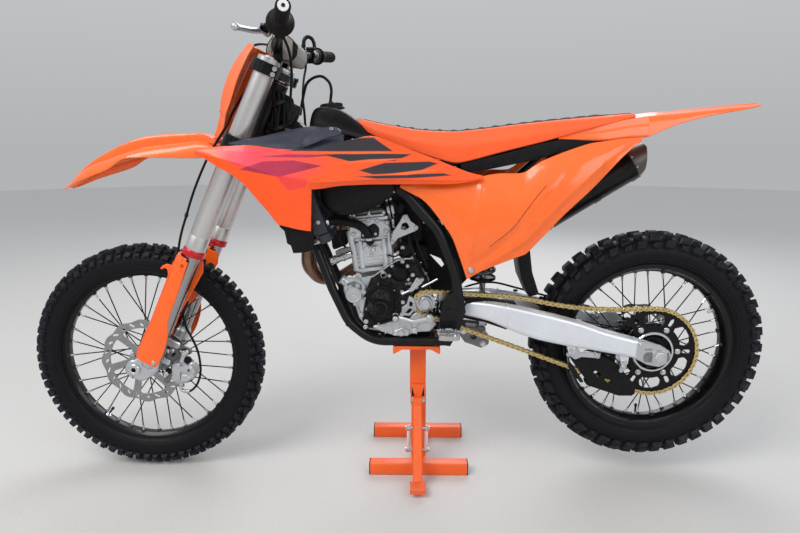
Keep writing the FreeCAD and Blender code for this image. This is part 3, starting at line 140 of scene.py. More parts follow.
def inset(pts, d):
    """A closed outline moved inwards by d."""
    p = np.array(pts, float)
    s = 1 if area2(pts) > 0 else -1
    e = np.roll(p, -1, 0) - p
    e /= np.maximum(np.linalg.norm(e, axis=1, keepdims=True), 1e-9)
    nrm = np.stack([-e[:, 1], e[:, 0]], 1) * s
    prev = np.roll(nrm, 1, 0)
    mid = nrm + prev
    k = 1 + (nrm * prev).sum(1, keepdims=True)
    return p + mid / np.maximum(k, 0.35) * d


class Kit:
    """Gathers the shapes of one piece, in millimetres."""

    def __init__(self, name):
        self.name, self.v, self.f, self.m, self.mats, self.n = name, [], [], [], [], 0

    def slot(self, mat):
        if mat not in self.mats:
            self.mats.append(mat)
        return self.mats.index(mat)

    def add(self, verts, faces, mat):
        verts = np.array(verts, float).reshape(-1, 3)
        base, k = self.n, self.slot(mat)
        self.v.append(verts)
        self.n += len(verts)
        for face in faces:
            self.f.append([base + i for i in face])
            self.m.append(k)

    def grid(self, rows, mat, wrap_u=False, wrap_v=False, cap=False, flip=False):
        """rows: an array of rows of points; wrap_v closes each row, wrap_u joins the last row to the first."""
        g = np.array(rows, float)
        nu, nv = g.shape[:2]
        faces = []
        for i in range(nu if wrap_u else nu - 1):
            for j in range(nv if wrap_v else nv - 1):
                a, b = i * nv + j, i * nv + (j + 1) % nv
                c, d = ((i + 1) % nu) * nv + (j + 1) % nv, ((i + 1) % nu) * nv + j
                faces.append([a, b, c, d] if not flip else [d, c, b, a])
        if cap:
            faces.append(list(range(nv))[::-1])
            faces.append([(nu - 1) * nv + j for j in range(nv)])
        self.add(g.reshape(-1, 3), faces, mat)

    def rev(self, profile, centre, axis, mat, n=48, closed=False, a0=0.0, a1=360.0, ref=None):
        """profile (r, t) turned about the axis through centre."""
        d = un(axis)
        a, b = basis(d) if ref is None else (un(ref), np.cross(d, un(ref)))
        full = abs(a1 - a0 - 360.0) < 1e-6
        ang = np.radians(np.linspace(a0, a1, n, endpoint=not full))
        prof = np.array(profile, float)
        ring = np.cos(ang)[:, None] * a + np.sin(ang)[:, None] * b
        g = np.array(centre) + prof[None, :, 0, None] * ring[:, None, :] + prof[None, :, 1, None] * d
        self.grid(g, mat, wrap_u=full, wrap_v=closed)

    def cyl(self, p, q, r, mat, n=24, r2=None, bevel=0.6, cap=True):
        p, q = np.array(p, float), np.array(q, float)
        r2 = r if r2 is None else r2
        long = np.linalg.norm(q - p)
        bv = min(bevel, 0.45 * long, 0.45 * r, 0.45 * r2)
        prof = [(max(r - bv, 0), 0), (r, bv), (r2, long - bv), (max(r2 - bv, 0), long)]
        if cap:
            prof = [(0.0, 0)] + prof + [(0.0, long)]
        self.rev(prof, p, q - p, mat, n)

    def turn(self, p, way, profile, mat, n=32, cap=True):
        """A turned part: profile (along, radius) from p along way."""
        prof = [(r, t) for t, r in profile]
        if cap:
            prof = [(0.0, prof[0][1])] + prof + [(0.0, prof[-1][1])]
        self.rev(prof, p, way, mat, n)

    def pipe(self, pts, r, mat, n=12, cap=True, hint=(0, 0, 1), flat=None):
        """A round bar along a smooth line of points; r may be one for each point; flat gives (wide, high) factors."""
        p = np.array(pts, float)
        rr = np.full(len(p), r, float) if not hasattr(r, "__len__") else np.array(r, float)
        tang = np.gradient(p, axis=0)
        tang /= np.maximum(np.linalg.norm(tang, axis=1, keepdims=True), 1e-9)
        a, b = basis(tang[0], hint)
        rows = []
        ang = np.linspace(0, 2 * math.pi, n, endpoint=False)
        fw, fh = flat or (1, 1)
        for i in range(len(p)):
            a = un(a - np.dot(a, tang[i]) * tang[i])
            b = np.cross(tang[i], a)
            rows.append(p[i] + rr[i] * (fw * np.cos(ang)[:, None] * a + fh * np.sin(ang)[:, None] * b))
        self.grid(rows, mat, wrap_v=True, cap=cap)
        return p

    def sweep(self, pts, section, mat, hint=(0, 0, 1), cap=True, scale=None):
        """A closed section (a, b) carried along pts; hint is the section's b direction."""
        p = np.array(pts, float)
        tang = np.gradient(p, axis=0)
        tang /= np.maximum(np.linalg.norm(tang, axis=1, keepdims=True), 1e-9)
        sec = np.array(section, float)
        rows = []
        for i in range(len(p)):
            h = np.array(hint if not callable(hint) else hint(i), float)
            a = un(np.cross(h, tang[i]))
            b = np.cross(tang[i], a)
            s = 1.0 if scale is None else scale[i]
            rows.append(p[i] + s * (sec[:, 0, None] * a + sec[:, 1, None] * b))
        self.grid(rows, mat, wrap_v=True, cap=cap)

    def block(self, centre, size, mat, rot=None, bevel=1.0):
        """A box with chamfered edges; rot holds three row directions."""
        h = np.array(size, float) / 2
        b = min(bevel, 0.45 * h.min() * 2)
        r = np.array(rot if rot is not None else np.eye(3), float)
        pts, faces, ids = [], [], {}
        for sx in (-1, 1):
            for sy in (-1, 1):
                for sz in (-1, 1):
                    s = np.array((sx, sy, sz))
                    for ax in range(3):
                        q = s * (h - b)
                        q[ax] = s[ax] * h[ax]
                        ids[(sx, sy, sz, ax)] = len(pts)
                        pts.append(q)
        for ax in range(3):
            o = [i for i in range(3) if i != ax]
            for s in (-1, 1):
                ring = []
                for u, v in ((-1, -1), (1, -1), (1, 1), (-1, 1)):
                    k = [0, 0, 0]
                    k[ax], k[o[0]], k[o[1]] = s, u, v
                    ring.append(ids[(*k, ax)])
                faces.append(ring)
            for u in (-1, 1):
                for v in (-1, 1):
                    lo, hi = [0, 0, 0], [0, 0, 0]
                    lo[ax], hi[ax] = -1, 1
                    lo[o[0]] = hi[o[0]] = u
                    lo[o[1]] = hi[o[1]] = v
                    faces.append([ids[(*lo, o[0])], ids[(*hi, o[0])], ids[(*hi, o[1])], ids[(*lo, o[1])]])
        for sx in (-1, 1):
            for sy in (-1, 1):
                for sz in (-1, 1):
                    faces.append([ids[(sx, sy, sz, 0)], ids[(sx, sy, sz, 1)], ids[(sx, sy, sz, 2)]])
        self.add(np.array(centre) + np.array(pts) @ r, faces, mat)

    def plate(self, pts, t0, t1, mat, holes=(), bevel=0.5, at=None, side_mat=None):
        """An outline raised from t0 to t1 with chamfered edges and holes; at(a, b, t) gives a point in space."""
        at = at or (lambda a, b, t: W(a, t, b))
        lo, hi = min(t0, t1), max(t0, t1)
        bv = min(bevel, 0.45 * (hi - lo))
        loops = [(np.array(pts, float), 1)] + [(np.array(h, float), -1) for h in holes]
        verts, faces, caps = [], [], []
        side_faces = []
        for pl, s in loops:
            if area2(pl) < 0:
                pl = pl[::-1]
            m = len(pl)
            ins = inset(pl, bv * s)
            base = len(verts)
            for ring, t in ((ins, lo), (pl, lo + bv), (pl, hi - bv), (ins, hi)):
                verts += [at(a, b, t) for a, b in ring]
            for k in range(3):
                for j in range(m):
                    a, b = base + k * m + j, base + k * m + (j + 1) % m
                    face = [a, b, b + m, a + m]
                    side_faces.append(face if s > 0 else face[::-1])
            caps.append((ins, base, m))
        tri = tessellate_polygon([[Vector((a, b, 0)) for a, b in ins] for ins, _, _ in caps])
        index_lo, index_hi = [], []
        for ins, base, m in caps:
            index_lo += [base + j for j in range(m)]
            index_hi += [base + 3 * m + j for j in range(m)]
        for t in tri:
            faces.append([index_hi[i] for i in t])
            faces.append([index_lo[i] for i in t][::-1])
        base, k, k2 = self.n, self.slot(mat), self.slot(side_mat or mat)
        self.v.append(np.array(verts, float))
        self.n += len(verts)
        for group, kk in ((faces, k), (side_faces, k2)):
            for face in group:
                self.f.append([base + i for i in face])
                self.m.append(kk)

    def bolt(self, p, way, r, mat, high=None, washer=True, kind="hex"):
        """A bolt head standing on p, facing way."""
        p, way = np.array(p, float), un(way)
        high = high or r * 0.8
        a, b = basis(way)
        if washer:
            self.cyl(p, p + way * (0.22 * r), r * 1.32, mat, 20, bevel=0.15 * r)
            p = p + way * (0.22 * r)
        if kind == "hex":
            ring = [math.radians(k * 60) for k in range(6)]
            rows = []
            for rr, t in ((r * 1.05, 0), (r * 1.05, high * 0.8), (r * 0.9, high)):
                rows.append([p + way * t + rr * (math.cos(t2) * a + math.sin(t2) * b) for t2 in ring])
            self.grid(rows, mat, wrap_v=True, cap=True)
        else:
            self.rev([(0.0, high * 0.45), (0.42 * r, high * 0.45), (0.5 * r, high), (r * 0.9, high), (r, high * 0.82), (r, 0)], p, way, mat, 18)

    def finish(self, body, replaces=(), smooth=38, bevel=0.0, sub=0, solid=0.0, merge=0.0, recalc=True, segs=2, wn=False):
        me = bpy.data.meshes.new(self.name)
        v = np.vstack(self.v) * 0.001
        me.from_pydata(v.tolist(), [], self.f)
        for mat in self.mats:
            me.materials.append(mat)
        me.polygons.foreach_set("material_index", self.m)
        bm = bmesh.new()
        bm.from_mesh(me)
        if merge:
            bmesh.ops.remove_doubles(bm, verts=bm.verts, dist=merge * 0.001)
        bmesh.ops.dissolve_degenerate(bm, edges=bm.edges, dist=1e-7)
        if recalc:
            bmesh.ops.recalc_face_normals(bm, faces=bm.faces)
        for face in bm.faces:
            face.smooth = True
        bm.to_mesh(me)
        bm.free()
        me.set_sharp_from_angle(angle=math.radians(smooth))
        ob = bpy.data.objects.new(self.name, me)
        bpy.context.scene.collection.objects.link(ob)
        if solid:
            mod = ob.modifiers.new("wall", "SOLIDIFY")
            mod.thickness, mod.offset = solid * 0.001, -1
        if bevel:
            mod = ob.modifiers.new("edge", "BEVEL")
            mod.width, mod.segments, mod.limit_method, mod.angle_limit = bevel * 0.001, segs, "ANGLE", math.radians(35)
            mod.harden_normals = False
        if sub:
            mod = ob.modifiers.new("round", "SUBSURF")
            mod.levels = mod.render_levels = sub
        if wn:
            mod = ob.modifiers.new("normals", "WEIGHTED_NORMAL")
            mod.keep_sharp = True
        if body:
            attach(ob, body)
        if replaces:
            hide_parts(*replaces)
        return ob

# ------------------------------------------------------------------ materials
class Net:
    def __init__(self, name):
        self.mat = bpy.data.materials.new(name)
        self.mat.use_nodes = True
        self.t = self.mat.node_tree
        self.t.nodes.clear()
        self.out = self.t.nodes.new("ShaderNodeOutputMaterial")
        self.bsdf = self.t.nodes.new("ShaderNodeBsdfPrincipled")
        self.t.links.new(self.bsdf.outputs[0], self.out.inputs[0])
        self.coords = self.t.nodes.new("ShaderNodeTexCoord").outputs["Object"]

    def node(self, kind, **props):
        n = self.t.nodes.new(kind)
        for k, v in props.items():
            setattr(n, k, v)
        return n

    def put(self, socket, value):
        if isinstance(value, bpy.types.NodeSocket):
            self.t.links.new(value, socket)
        elif isinstance(value, (tuple, list)) and len(value) == 3 and socket.type == "RGBA":
            socket.default_value = (*value, 1)
        else:
            socket.default_value = value

    def noise(self, scale, detail=3.0, rough=0.55, stretch=None, coords=None, dist=0.0):
        c = coords or self.coords
        if stretch:
            m = self.node("ShaderNodeMapping")
            m.inputs["Scale"].default_value = stretch
            self.put(m.inputs["Vector"], c)
            c = m.outputs[0]
        n = self.node("ShaderNodeTexNoise")
        self.put(n.inputs["Vector"], c)
        self.put(n.inputs["Scale"], scale)
        self.put(n.inputs["Detail"], detail)
        self.put(n.inputs["Roughness"], rough)
        self.put(n.inputs["Distortion"], dist)
        return n.outputs["Fac"]

    def voronoi(self, scale, feature="F1", out="Distance", randomness=1.0):
        n = self.node("ShaderNodeTexVoronoi", feature=feature)
        self.put(n.inputs["Vector"], self.coords)
        self.put(n.inputs["Scale"], scale)
        self.put(n.inputs["Randomness"], randomness)
        return n.outputs[out]

    def ranged(self, value, a, b, c, d, smooth=False):
        n = self.node("ShaderNodeMapRange")
        if smooth:
            n.interpolation_type = "SMOOTHSTEP"
        for k, v in zip(("Value", "From Min", "From Max", "To Min", "To Max"), (value, a, b, c, d)):
            self.put(n.inputs[k], v)
        return n.outputs[0]

    def math(self, op, a, b=0.0, c=None):
        n = self.node("ShaderNodeMath", operation=op)
        self.put(n.inputs[0], a)
        self.put(n.inputs[1], b)
        if c is not None:
            self.put(n.inputs[2], c)
        return n.outputs[0]

    def mix(self, fac, a, b, kind="MIX"):
        n = self.node("ShaderNodeMix", data_type="RGBA", blend_type=kind)
        ins = [i for i in n.inputs if i.type == "RGBA"]
        self.put(n.inputs[0], fac)
        self.put(ins[0], a)
        self.put(ins[1], b)
        return [o for o in n.outputs if o.type == "RGBA"][0]

    def xyz(self):
        n = self.node("ShaderNodeSeparateXYZ")
        self.put(n.inputs[0], self.coords)
        return n.outputs

    def edge(self, lo=0.53, hi=0.62):
        """How sharp an outward edge is, from the mesh."""
        g = self.node("ShaderNodeNewGeometry")
        return self.ranged(g.outputs["Pointiness"], lo, hi, 0.0, 1.0)

    def bump(self, height, strength=0.3, dist=0.0005, normal=None):
        n = self.node("ShaderNodeBump")
        self.put(n.inputs["Height"], height)
        self.put(n.inputs["Strength"], strength)
        self.put(n.inputs["Distance"], dist)
        if normal is not None:
            self.put(n.inputs["Normal"], normal)
        return n.outputs[0]


def srgb(r, g, b):
    return tuple((c / 255 / 12.92) if c / 255 <= 0.04045 else ((c / 255 + 0.055) / 1.055) ** 2.4 for c in (r, g, b))


def surface(name, color, rough=0.5, metal=0.0, var=0.08, var_scale=30, rough_var=0.08, bump=0.15, bump_scale=900, bump_dist=0.0004,
            coat=0.0, coat_rough=0.1, wear=None, wear_at=(0.53, 0.6), dust=0.0, dust_color=(0.32, 0.27, 0.21), streak=None, spec=0.5, aniso=0.0,
            sheen=0.0, paint=None, fine=0.0, fine_scale=4000, grain=None):
    """One finish: a base colour that varies, roughness that varies, a fine bump, worn edges and dust."""
    n = Net(name)
    if max(color) < 0.03:  # the blacks stay deep under a bright studio; the blue-weighted factor is a painted sky reflection that tints every black
        color, dust, spec = tuple(c * f for c, f in zip(color, (0.34, 0.35, 0.42))), dust * 0.2, min(spec, 0.2)
    base = n.mix(n.ranged(n.noise(var_scale, 4), 0.3, 0.7, 0.0, 1.0), tuple(c * (1 - var) for c in color), tuple(min(c * (1 + var), 1) for c in color))
    if paint:
        base = paint(n, base)
    rough_out = n.ranged(n.noise(var_scale * 3.1, 5, 0.65), 0.25, 0.75, max(rough - rough_var, 0.03), min(rough + rough_var, 1))
    height = n.noise(bump_scale, 3, stretch=streak)
    if wear:
        w = n.math("MULTIPLY", n.edge(*wear_at), n.ranged(n.noise(220, 4), 0.42, 0.62, 0.15, 1.0))
        base = n.mix(w, base, wear)
    if dust:
        d = n.math("MULTIPLY", n.ranged(n.noise(55, 6, 0.7), 0.45, 0.75, 0.0, 1.0), dust)
        base = n.mix(d, base, dust_color)
        rough_out = n.math("ADD", rough_out, n.math("MULTIPLY", d, 0.5))
    n.put(n.bsdf.inputs["Base Color"], base)
    n.put(n.bsdf.inputs["Roughness"], rough_out)
    n.bsdf.inputs["Metallic"].default_value = metal
    n.bsdf.inputs["Specular IOR Level"].default_value = spec
    n.bsdf.inputs["Coat Weight"].default_value = coat
    n.bsdf.inputs["Coat Roughness"].default_value = coat_rough
    n.bsdf.inputs["Sheen Weight"].default_value = sheen
    n.bsdf.inputs["Anisotropic"].default_value = aniso
    normal = n.bump(height, bump, bump_dist)
    if fine:
        normal = n.bump(n.noise(fine_scale, 2), fine, 0.0001, normal)
    if grain:
        normal = n.bump(grain(n), 0.5, 0.0006, normal)
    n.put(n.bsdf.inputs["Normal"], normal)
    return n.mat


def poly(n, x, z, pts, soft=0.0012):
    """1 inside a convex outline given in (x back from the front axle, z) millimetres."""
    p = [((a - 743.5) / 1000.0, b / 1000.0) for a, b in pts]
    if area2(p) < 0:
        p = p[::-1]
    res = None
    for i in range(len(p)):
        a, b = np.array(p[i]), np.array(p[(i + 1) % len(p)])
        e = un(b - a)
        nx, nz = -e[1], e[0]
        d = n.math("MULTIPLY_ADD", x, float(nx), float(-(a[0] * nx + a[1] * nz)))
        d = n.math("MULTIPLY_ADD", z, float(nz), d)
        res = d if res is None else n.math("MINIMUM", res, d)
    return n.ranged(res, -soft, soft, 0.0, 1.0)


ORANGE = srgb(255, 84, 14)
ORANGE_WARM = srgb(255, 106, 26)
ORANGE_DEEP = srgb(252, 98, 16)


def shroud_paint(n, base):
    """A generic racing pattern: a pink to orange wash at the nose, a magenta field, charcoal slashes behind it, orange keylines."""
    s = n.xyz()
    x, z = s[0], s[2]
    wob = n.noise(140, 3)
    # pale wash over the nose, dying away along the panel
    near = n.ranged(n.math("ADD", x, n.math("MULTIPLY", wob, 0.004)), -0.48, -0.40, 0.0, 1.0)
    far = n.ranged(n.math("ADD", n.math("MULTIPLY_ADD", x, 1.0, n.math("MULTIPLY", z, 0.2)), n.math("MULTIPLY", wob, 0.004)), -0.18, 0.06, 1.0, 0.0)
    field = poly(n, x, z, [(268, 968), (330, 976), (600, 960), (560, 905), (470, 893), (345, 926)], 0.0016)
    base = n.mix(n.math("MULTIPLY", n.math("MULTIPLY", near, far), n.math("MULTIPLY", field, 0.85)), base, srgb(240, 60, 92))
    tail = poly(n, x, z, [(420, 905), (600, 888), (520, 872), (505, 820), (470, 868)], 0.0012)
    base = n.mix(n.math("MULTIPLY", tail, 0.6), base, srgb(236, 44, 66))
    # magenta field that darkens into charcoal
    fade = n.ranged(n.math("ADD", x, n.math("MULTIPLY", wob, 0.006)), -0.25, -0.10, 0.0, 1.0)
    dark = n.mix(fade, srgb(168, 24, 66), srgb(42, 36, 42))
    for pts in ([(352, 917), (410, 937), (640, 945), (560, 925), (660, 905), (470, 896)], [(400, 948), (470, 955), (600, 953), (520, 946)]):
        base = n.mix(n.math("MULTIPLY", poly(n, x, z, pts), 0.94), base, dark)
    char = srgb(40, 36, 42)
    for pts in ([(470, 963), (566, 984), (640, 996), (690, 997), (742, 962), (600, 962)],
                [(560, 954), (680, 957), (792, 954), (748, 937), (640, 934)],
                [(600, 929), (720, 932), (776, 948), (862, 930), (800, 906), (690, 903)],
                [(640, 899), (760, 902), (872, 906), (898, 899), (800, 893), (700, 892)]):
        base = n.mix(poly(n, x, z, pts), base, char)
    for pts in ([(545, 959.5), (700, 960.5), (760, 956.5), (640, 955)], [(590, 932), (680, 941), (780, 943.5), (700, 934)], [(700, 900.5), (836, 915), (866, 913), (780, 901)]):
        base = n.mix(poly(n, x, z, pts), base, srgb(255, 104, 44))
    return base


M = {}
M["orange"] = surface("orange_plastic", ORANGE_WARM, 0.28, var=0.04, var_scale=12, rough_var=0.05, bump=0.04, bump_scale=500, coat=0.55, coat_rough=0.07, dust=0.05, spec=0.45,
                      wear=srgb(255, 130, 70), wear_at=(0.56, 0.68))
M["shroud"] = surface("orange_shroud_pattern", ORANGE, 0.28, var=0.04, var_scale=12, rough_var=0.06, bump=0.05, bump_scale=500, coat=0.3, coat_rough=0.1,
                      paint=shroud_paint, spec=0.45)
M["guard"] = surface("orange_guard", ORANGE_DEEP, 0.36, var=0.05, var_scale=16, bump=0.08, bump_scale=700, coat=0.15, dust=0.1, wear=srgb(255, 140, 90), wear_at=(0.56, 0.68))
M["stand"] = surface("orange_powder_coat", srgb(240, 94, 20), 0.42, var=0.05, var_scale=20, bump=0.35, bump_scale=1400, bump_dist=0.0003, coat=0.1, dust=0.12,
                     wear=srgb(120, 110, 104), wear_at=(0.58, 0.72))
M["black_plastic"] = surface("black_moulded_plastic", srgb(22, 22, 24), 0.52, var=0.12, var_scale=40, bump=0.35, bump_scale=2600, bump_dist=0.0002, dust=0.1,
                             wear=srgb(70, 70, 72), wear_at=(0.56, 0.68))
M["black_gloss"] = surface("black_smooth_plastic", srgb(16, 16, 18), 0.25, var=0.1, bump=0.06, bump_scale=700, coat=0.3, dust=0.08)
M["frame"] = surface("black_powder_coat", srgb(26, 27, 29), 0.4, var=0.1, var_scale=36, bump=0.12, bump_scale=1500, bump_dist=0.0002, coat=0.15, dust=0.1,
                     wear=srgb(56, 56, 56), wear_at=(0.66, 0.8))
# the cowls' black plastic made lighter and blue: a painted reflection of the sky on their upward faces
M["cowl"] = surface("black_plastic_painted_sky_reflection", srgb(44, 47, 62), 0.4, var=0.08, var_scale=30, bump=0.15, bump_scale=1600, bump_dist=0.0002, dust=0.05, coat=0.12)
M["rubber"] = surface("tyre_rubber", srgb(17, 18, 24), 0.55, var=0.2, var_scale=22, rough_var=0.1, bump=0.4, bump_scale=420, bump_dist=0.0004, dust=0.1,
                      dust_color=srgb(74, 74, 80), wear=srgb(48, 50, 58), wear_at=(0.54, 0.64), fine=0.2)
M["grip"] = surface("grip_rubber", srgb(24, 24, 26), 0.68, var=0.15, var_scale=60, bump=0.4, bump_scale=1400, dust=0.1)
M["hose"] = surface("hose_rubber", srgb(20, 20, 21), 0.5, var=0.12, var_scale=60, bump=0.3, bump_scale=1600, dust=0.08)
M["rim"] = surface("black_anodised_rim", srgb(14, 15, 18), 0.3, metal=0.0, var=0.12, var_scale=18, rough_var=0.06, bump=0.06, bump_scale=600, coat=0.25, coat_rough=0.1,
                   dust=0.04, wear=srgb(130, 130, 132), wear_at=(0.56, 0.64))
M["spoke"] = surface("black_spoke", srgb(38, 38, 42), 0.32, metal=0.7, var=0.15, var_scale=50, bump=0.1, dust=0.1)
M["zinc"] = surface("zinc_plate", srgb(200, 202, 205), 0.26, metal=1.0, var=0.07, var_scale=70, rough_var=0.08, bump=0.12, bump_scale=1200)
M["steel"] = surface("bright_steel", srgb(190, 190, 192), 0.22, metal=1.0, var=0.08, var_scale=60, bump=0.1, bump_scale=1200)
M["disc"] = surface("brake_disc_steel", srgb(150, 150, 152), 0.3, metal=1.0, var=0.1, var_scale=30, rough_var=0.1, bump=0.25, bump_scale=900, aniso=0.4)
M["alloy"] = surface("satin_alloy", srgb(196, 199, 203), 0.34, metal=0.92, var=0.05, var_scale=14, rough_var=0.07, bump=0.14, bump_scale=1300, bump_dist=0.0002,
                     dust=0.07, wear=srgb(232, 234, 236), wear_at=(0.56, 0.66))
M["swingarm"] = surface("brushed_alloy", srgb(226, 230, 236), 0.42, metal=0.6, var=0.05, var_scale=8, rough_var=0.08, bump=0.25, bump_scale=260, streak=(1, 14, 14), bump_dist=0.00015,
                        dust=0.06, aniso=0.3, wear=srgb(228, 230, 233), wear_at=(0.56, 0.66))
M["cast"] = surface("cast_alloy", srgb(196, 199, 202), 0.42, metal=0.85, var=0.12, var_scale=26, rough_var=0.12, bump=0.45, bump_scale=800, bump_dist=0.0004, dust=0.12,
                    dust_color=srgb(104, 104, 102), wear=srgb(236, 238, 240), wear_at=(0.55, 0.64), fine=0.3)
M["cast_dark"] = surface("cast_alloy_grey", srgb(118, 118, 118), 0.5, metal=0.8, var=0.15, var_scale=26, rough_var=0.12, bump=0.45, bump_scale=800, dust=0.15,
                         dust_color=srgb(90, 84, 76), wear=srgb(190, 190, 188), wear_at=(0.55, 0.64))
M["machined"] = surface("machined_alloy", srgb(206, 208, 211), 0.2, metal=1.0, var=0.05, var_scale=40, bump=0.12, bump_scale=1400, wear=srgb(238, 238, 240), wear_at=(0.56, 0.66))
M["black_alloy"] = surface("black_anodised_alloy", srgb(24, 24, 26), 0.34, metal=0.35, var=0.12, var_scale=30, bump=0.08, bump_scale=1100, coat=0.15, dust=0.04,
                           wear=srgb(74, 74, 76), wear_at=(0.64, 0.78))
M["engine_black"] = surface("black_cast_cover", srgb(24, 24, 26), 0.42, metal=0.3, var=0.15, var_scale=28, bump=0.35, bump_scale=1000, dust=0.12,
                            wear=srgb(120, 118, 114), wear_at=(0.55, 0.66))
M["fork"] = surface("fork_tube_satin", srgb(206, 205, 204), 0.36, metal=0.9, var=0.02, var_scale=6, rough_var=0.03, bump=0.03, bump_scale=900, bump_dist=0.0001)
M["slider"] = surface("fork_slider_polished", srgb(166, 166, 168), 0.22, metal=1.0, var=0.03, var_scale=20, bump=0.06, bump_scale=800)
M["red"] = surface("red_ring", srgb(196, 14, 24), 0.28, metal=0.2, var=0.08, var_scale=60, bump=0.1, coat=0.3)
M["orange_metal"] = surface("orange_anodised", srgb(235, 80, 14), 0.28, metal=0.7, var=0.06, var_scale=60, bump=0.08)
M["gold"] = surface("gold_chain_plate", srgb(206, 182, 124), 0.3, metal=1.0, var=0.12, var_scale=90, rough_var=0.1, bump=0.12, bump_scale=1500, dust=0.1, dust_color=srgb(60, 52, 40))
M["roller"] = surface("chain_roller_steel", srgb(120, 112, 98), 0.32, metal=1.0, var=0.15, var_scale=90, bump=0.1)
M["copper"] = surface("heated_steel", srgb(122, 98, 84), 0.3, metal=1.0, var=0.25, var_scale=14, rough_var=0.1, bump=0.15, bump_scale=700, dust=0.08, wear=srgb(190, 150, 110),
                      wear_at=(0.56, 0.68))
M["pipe"] = surface("exhaust_steel", srgb(150, 128, 104), 0.32, metal=1.0, var=0.25, var_scale=10, rough_var=0.1, bump=0.15, bump_scale=600, dust=0.12)
M["silencer"] = surface("black_silencer", srgb(42, 38, 36), 0.36, metal=0.6, var=0.1, var_scale=12, rough_var=0.08, bump=0.2, bump_scale=300, streak=(2, 20, 2), coat=0.2, dust=0.12)
M["carbon"] = surface("grey_end_cap", srgb(88, 84, 82), 0.4, metal=0.5, var=0.12, var_scale=40, bump=0.3, bump_scale=1200, dust=0.1, wear=srgb(150, 148, 146), wear_at=(0.56, 0.66))
M["bronze"] = surface("bronze_cap", srgb(150, 98, 48), 0.3, metal=1.0, var=0.1, var_scale=60, bump=0.1)
M["radiator"] = surface("radiator_alloy", srgb(62, 66, 72), 0.5, metal=0.6, var=0.1, var_scale=40, bump=0.2)
M["spring"] = surface("dark_spring_paint", srgb(58, 60, 64), 0.3, var=0.04, var_scale=30, bump=0.1, coat=0.4, dust=0.1)
M["clear"] = surface("reservoir_plastic", srgb(200, 196, 180), 0.35, var=0.06, bump=0.1)
M["pad"] = surface("pad_cover_grey", srgb(132, 126, 120), 0.7, var=0.08, var_scale=40, bump=0.4, bump_scale=1600, sheen=0.1, dust=0.08,
                   grain=lambda n: n.noise(1900, 2, stretch=(1, 0.25, 1)))

# ------------------------------------------------------------------ camera, floor and light
cam = bpy.data.objects.new("camera", bpy.data.cameras.new("camera"))
bpy.context.scene.collection.objects.link(cam)
cam.data.lens, cam.data.sensor_width, cam.data.sensor_fit = 27.94, 36.0, "HORIZONTAL"
cam.data.clip_start, cam.data.clip_end = 0.05, 60
cam.location = (0.0443, -1.8005, 0.9829)
yaw, pitch = math.radians(-0.93), math.radians(11.24)
look = Vector((math.sin(yaw) * math.cos(pitch), math.cos(yaw) * math.cos(pitch), -math.sin(pitch)))
cam.rotation_mode = "QUATERNION"
cam.rotation_quaternion = look.to_track_quat("-Z", "Y")
bpy.context.scene.camera = cam

floor_net = Net("pale_floor")
speck = floor_net.ranged(floor_net.noise(90, 6, 0.7), 0.3, 0.7, 0.0, 1.0)
tone = floor_net.mix(floor_net.noise(1.4, 3), floor_net.mix(speck, (0.52, 0.51, 0.49), (0.6, 0.59, 0.575)), (0.58, 0.575, 0.565))
floor_net.put(floor_net.bsdf.inputs["Base Color"], tone)
floor_net.bsdf.inputs["Roughness"].default_value = 0.75
floor_net.put(floor_net.bsdf.inputs["Normal"], floor_net.bump(floor_net.noise(260, 4), 0.25, 0.002))
fm = bpy.data.meshes.new("floor")
R = 14.0
fm.from_pydata([(R * math.cos(a), R * math.sin(a), 0) for a in np.linspace(0, 2 * math.pi, 64, endpoint=False)], [], [list(range(64))])
fm.materials.append(floor_net.mat)
floor = bpy.data.objects.new("floor", fm)
bpy.context.scene.collection.objects.link(floor)

world = bpy.data.worlds.new("studio")
bpy.context.scene.world = world
world.use_nodes = True
wn = world.node_tree
wn.nodes.clear()
bg = wn.nodes.new("ShaderNodeBackground")
wo = wn.nodes.new("ShaderNodeOutputWorld")
ramp = wn.nodes.new("ShaderNodeValToRGB")
tc = wn.nodes.new("ShaderNodeTexCoord")
sep = wn.nodes.new("ShaderNodeSeparateXYZ")
wn.links.new(tc.outputs["Generated"], sep.inputs[0])
wn.links.new(sep.outputs[2], ramp.inputs[0])
ramp.color_ramp.elements[0].position, ramp.color_ramp.elements[0].color = 0.0, (0.62, 0.63, 0.64, 1)
ramp.color_ramp.elements[1].position, ramp.color_ramp.elements[1].color = 0.55, (0.92, 0.95, 1.0, 1)
wn.links.new(ramp.outputs[0], bg.inputs[0])
bg.inputs[1].default_value = 0.72
wn.links.new(bg.outputs[0], wo.inputs[0])


def area(name, at, to, size, watts, color=(1, 1, 1), size_y=None):
    light = bpy.data.lights.new(name, "AREA")
    light.energy, light.color, light.size = watts, color, size
    if size_y:
        light.shape, light.size_y = "RECTANGLE", size_y
    ob = bpy.data.objects.new(name, light)
    ob.location = at
    ob.rotation_mode = "QUATERNION"
    ob.rotation_quaternion = (Vector(to) - Vector(at)).to_track_quat("-Z", "Y")
    bpy.context.scene.collection.objects.link(ob)


area("key", (-2.4, -2.6, 4.2), (0, 0, 0.5), 2.6, 150, (1.0, 0.97, 0.93))
area("fill", (2.6, -3.4, 2.2), (0.1, 0, 0.5), 2.4, 45, (0.94, 0.97, 1.0))
area("back", (0.6, 3.6, 3.2), (0, 0, 0.6), 3.0, 80, (0.97, 0.98, 1.0))
bpy.context.scene.view_settings.view_transform = "Standard"
bpy.context.scene.view_settings.look = "None"
bpy.context.scene.view_settings.exposure = 0.0

# ------------------------------------------------------------------ wheels
FRONT_C, REAR_C = W(0, 0, 347), W(1490, 0, 391)
AX = np.array((0.0, 1.0, 0.0))
E1, E2 = np.array((1.0, 0, 0)), np.array((0.0, 0, 1.0))


def wheel_at(centre, r, deg, y):
    t = math.radians(deg)
    return centre + np.array((r * math.cos(t), y, r * math.sin(t)))


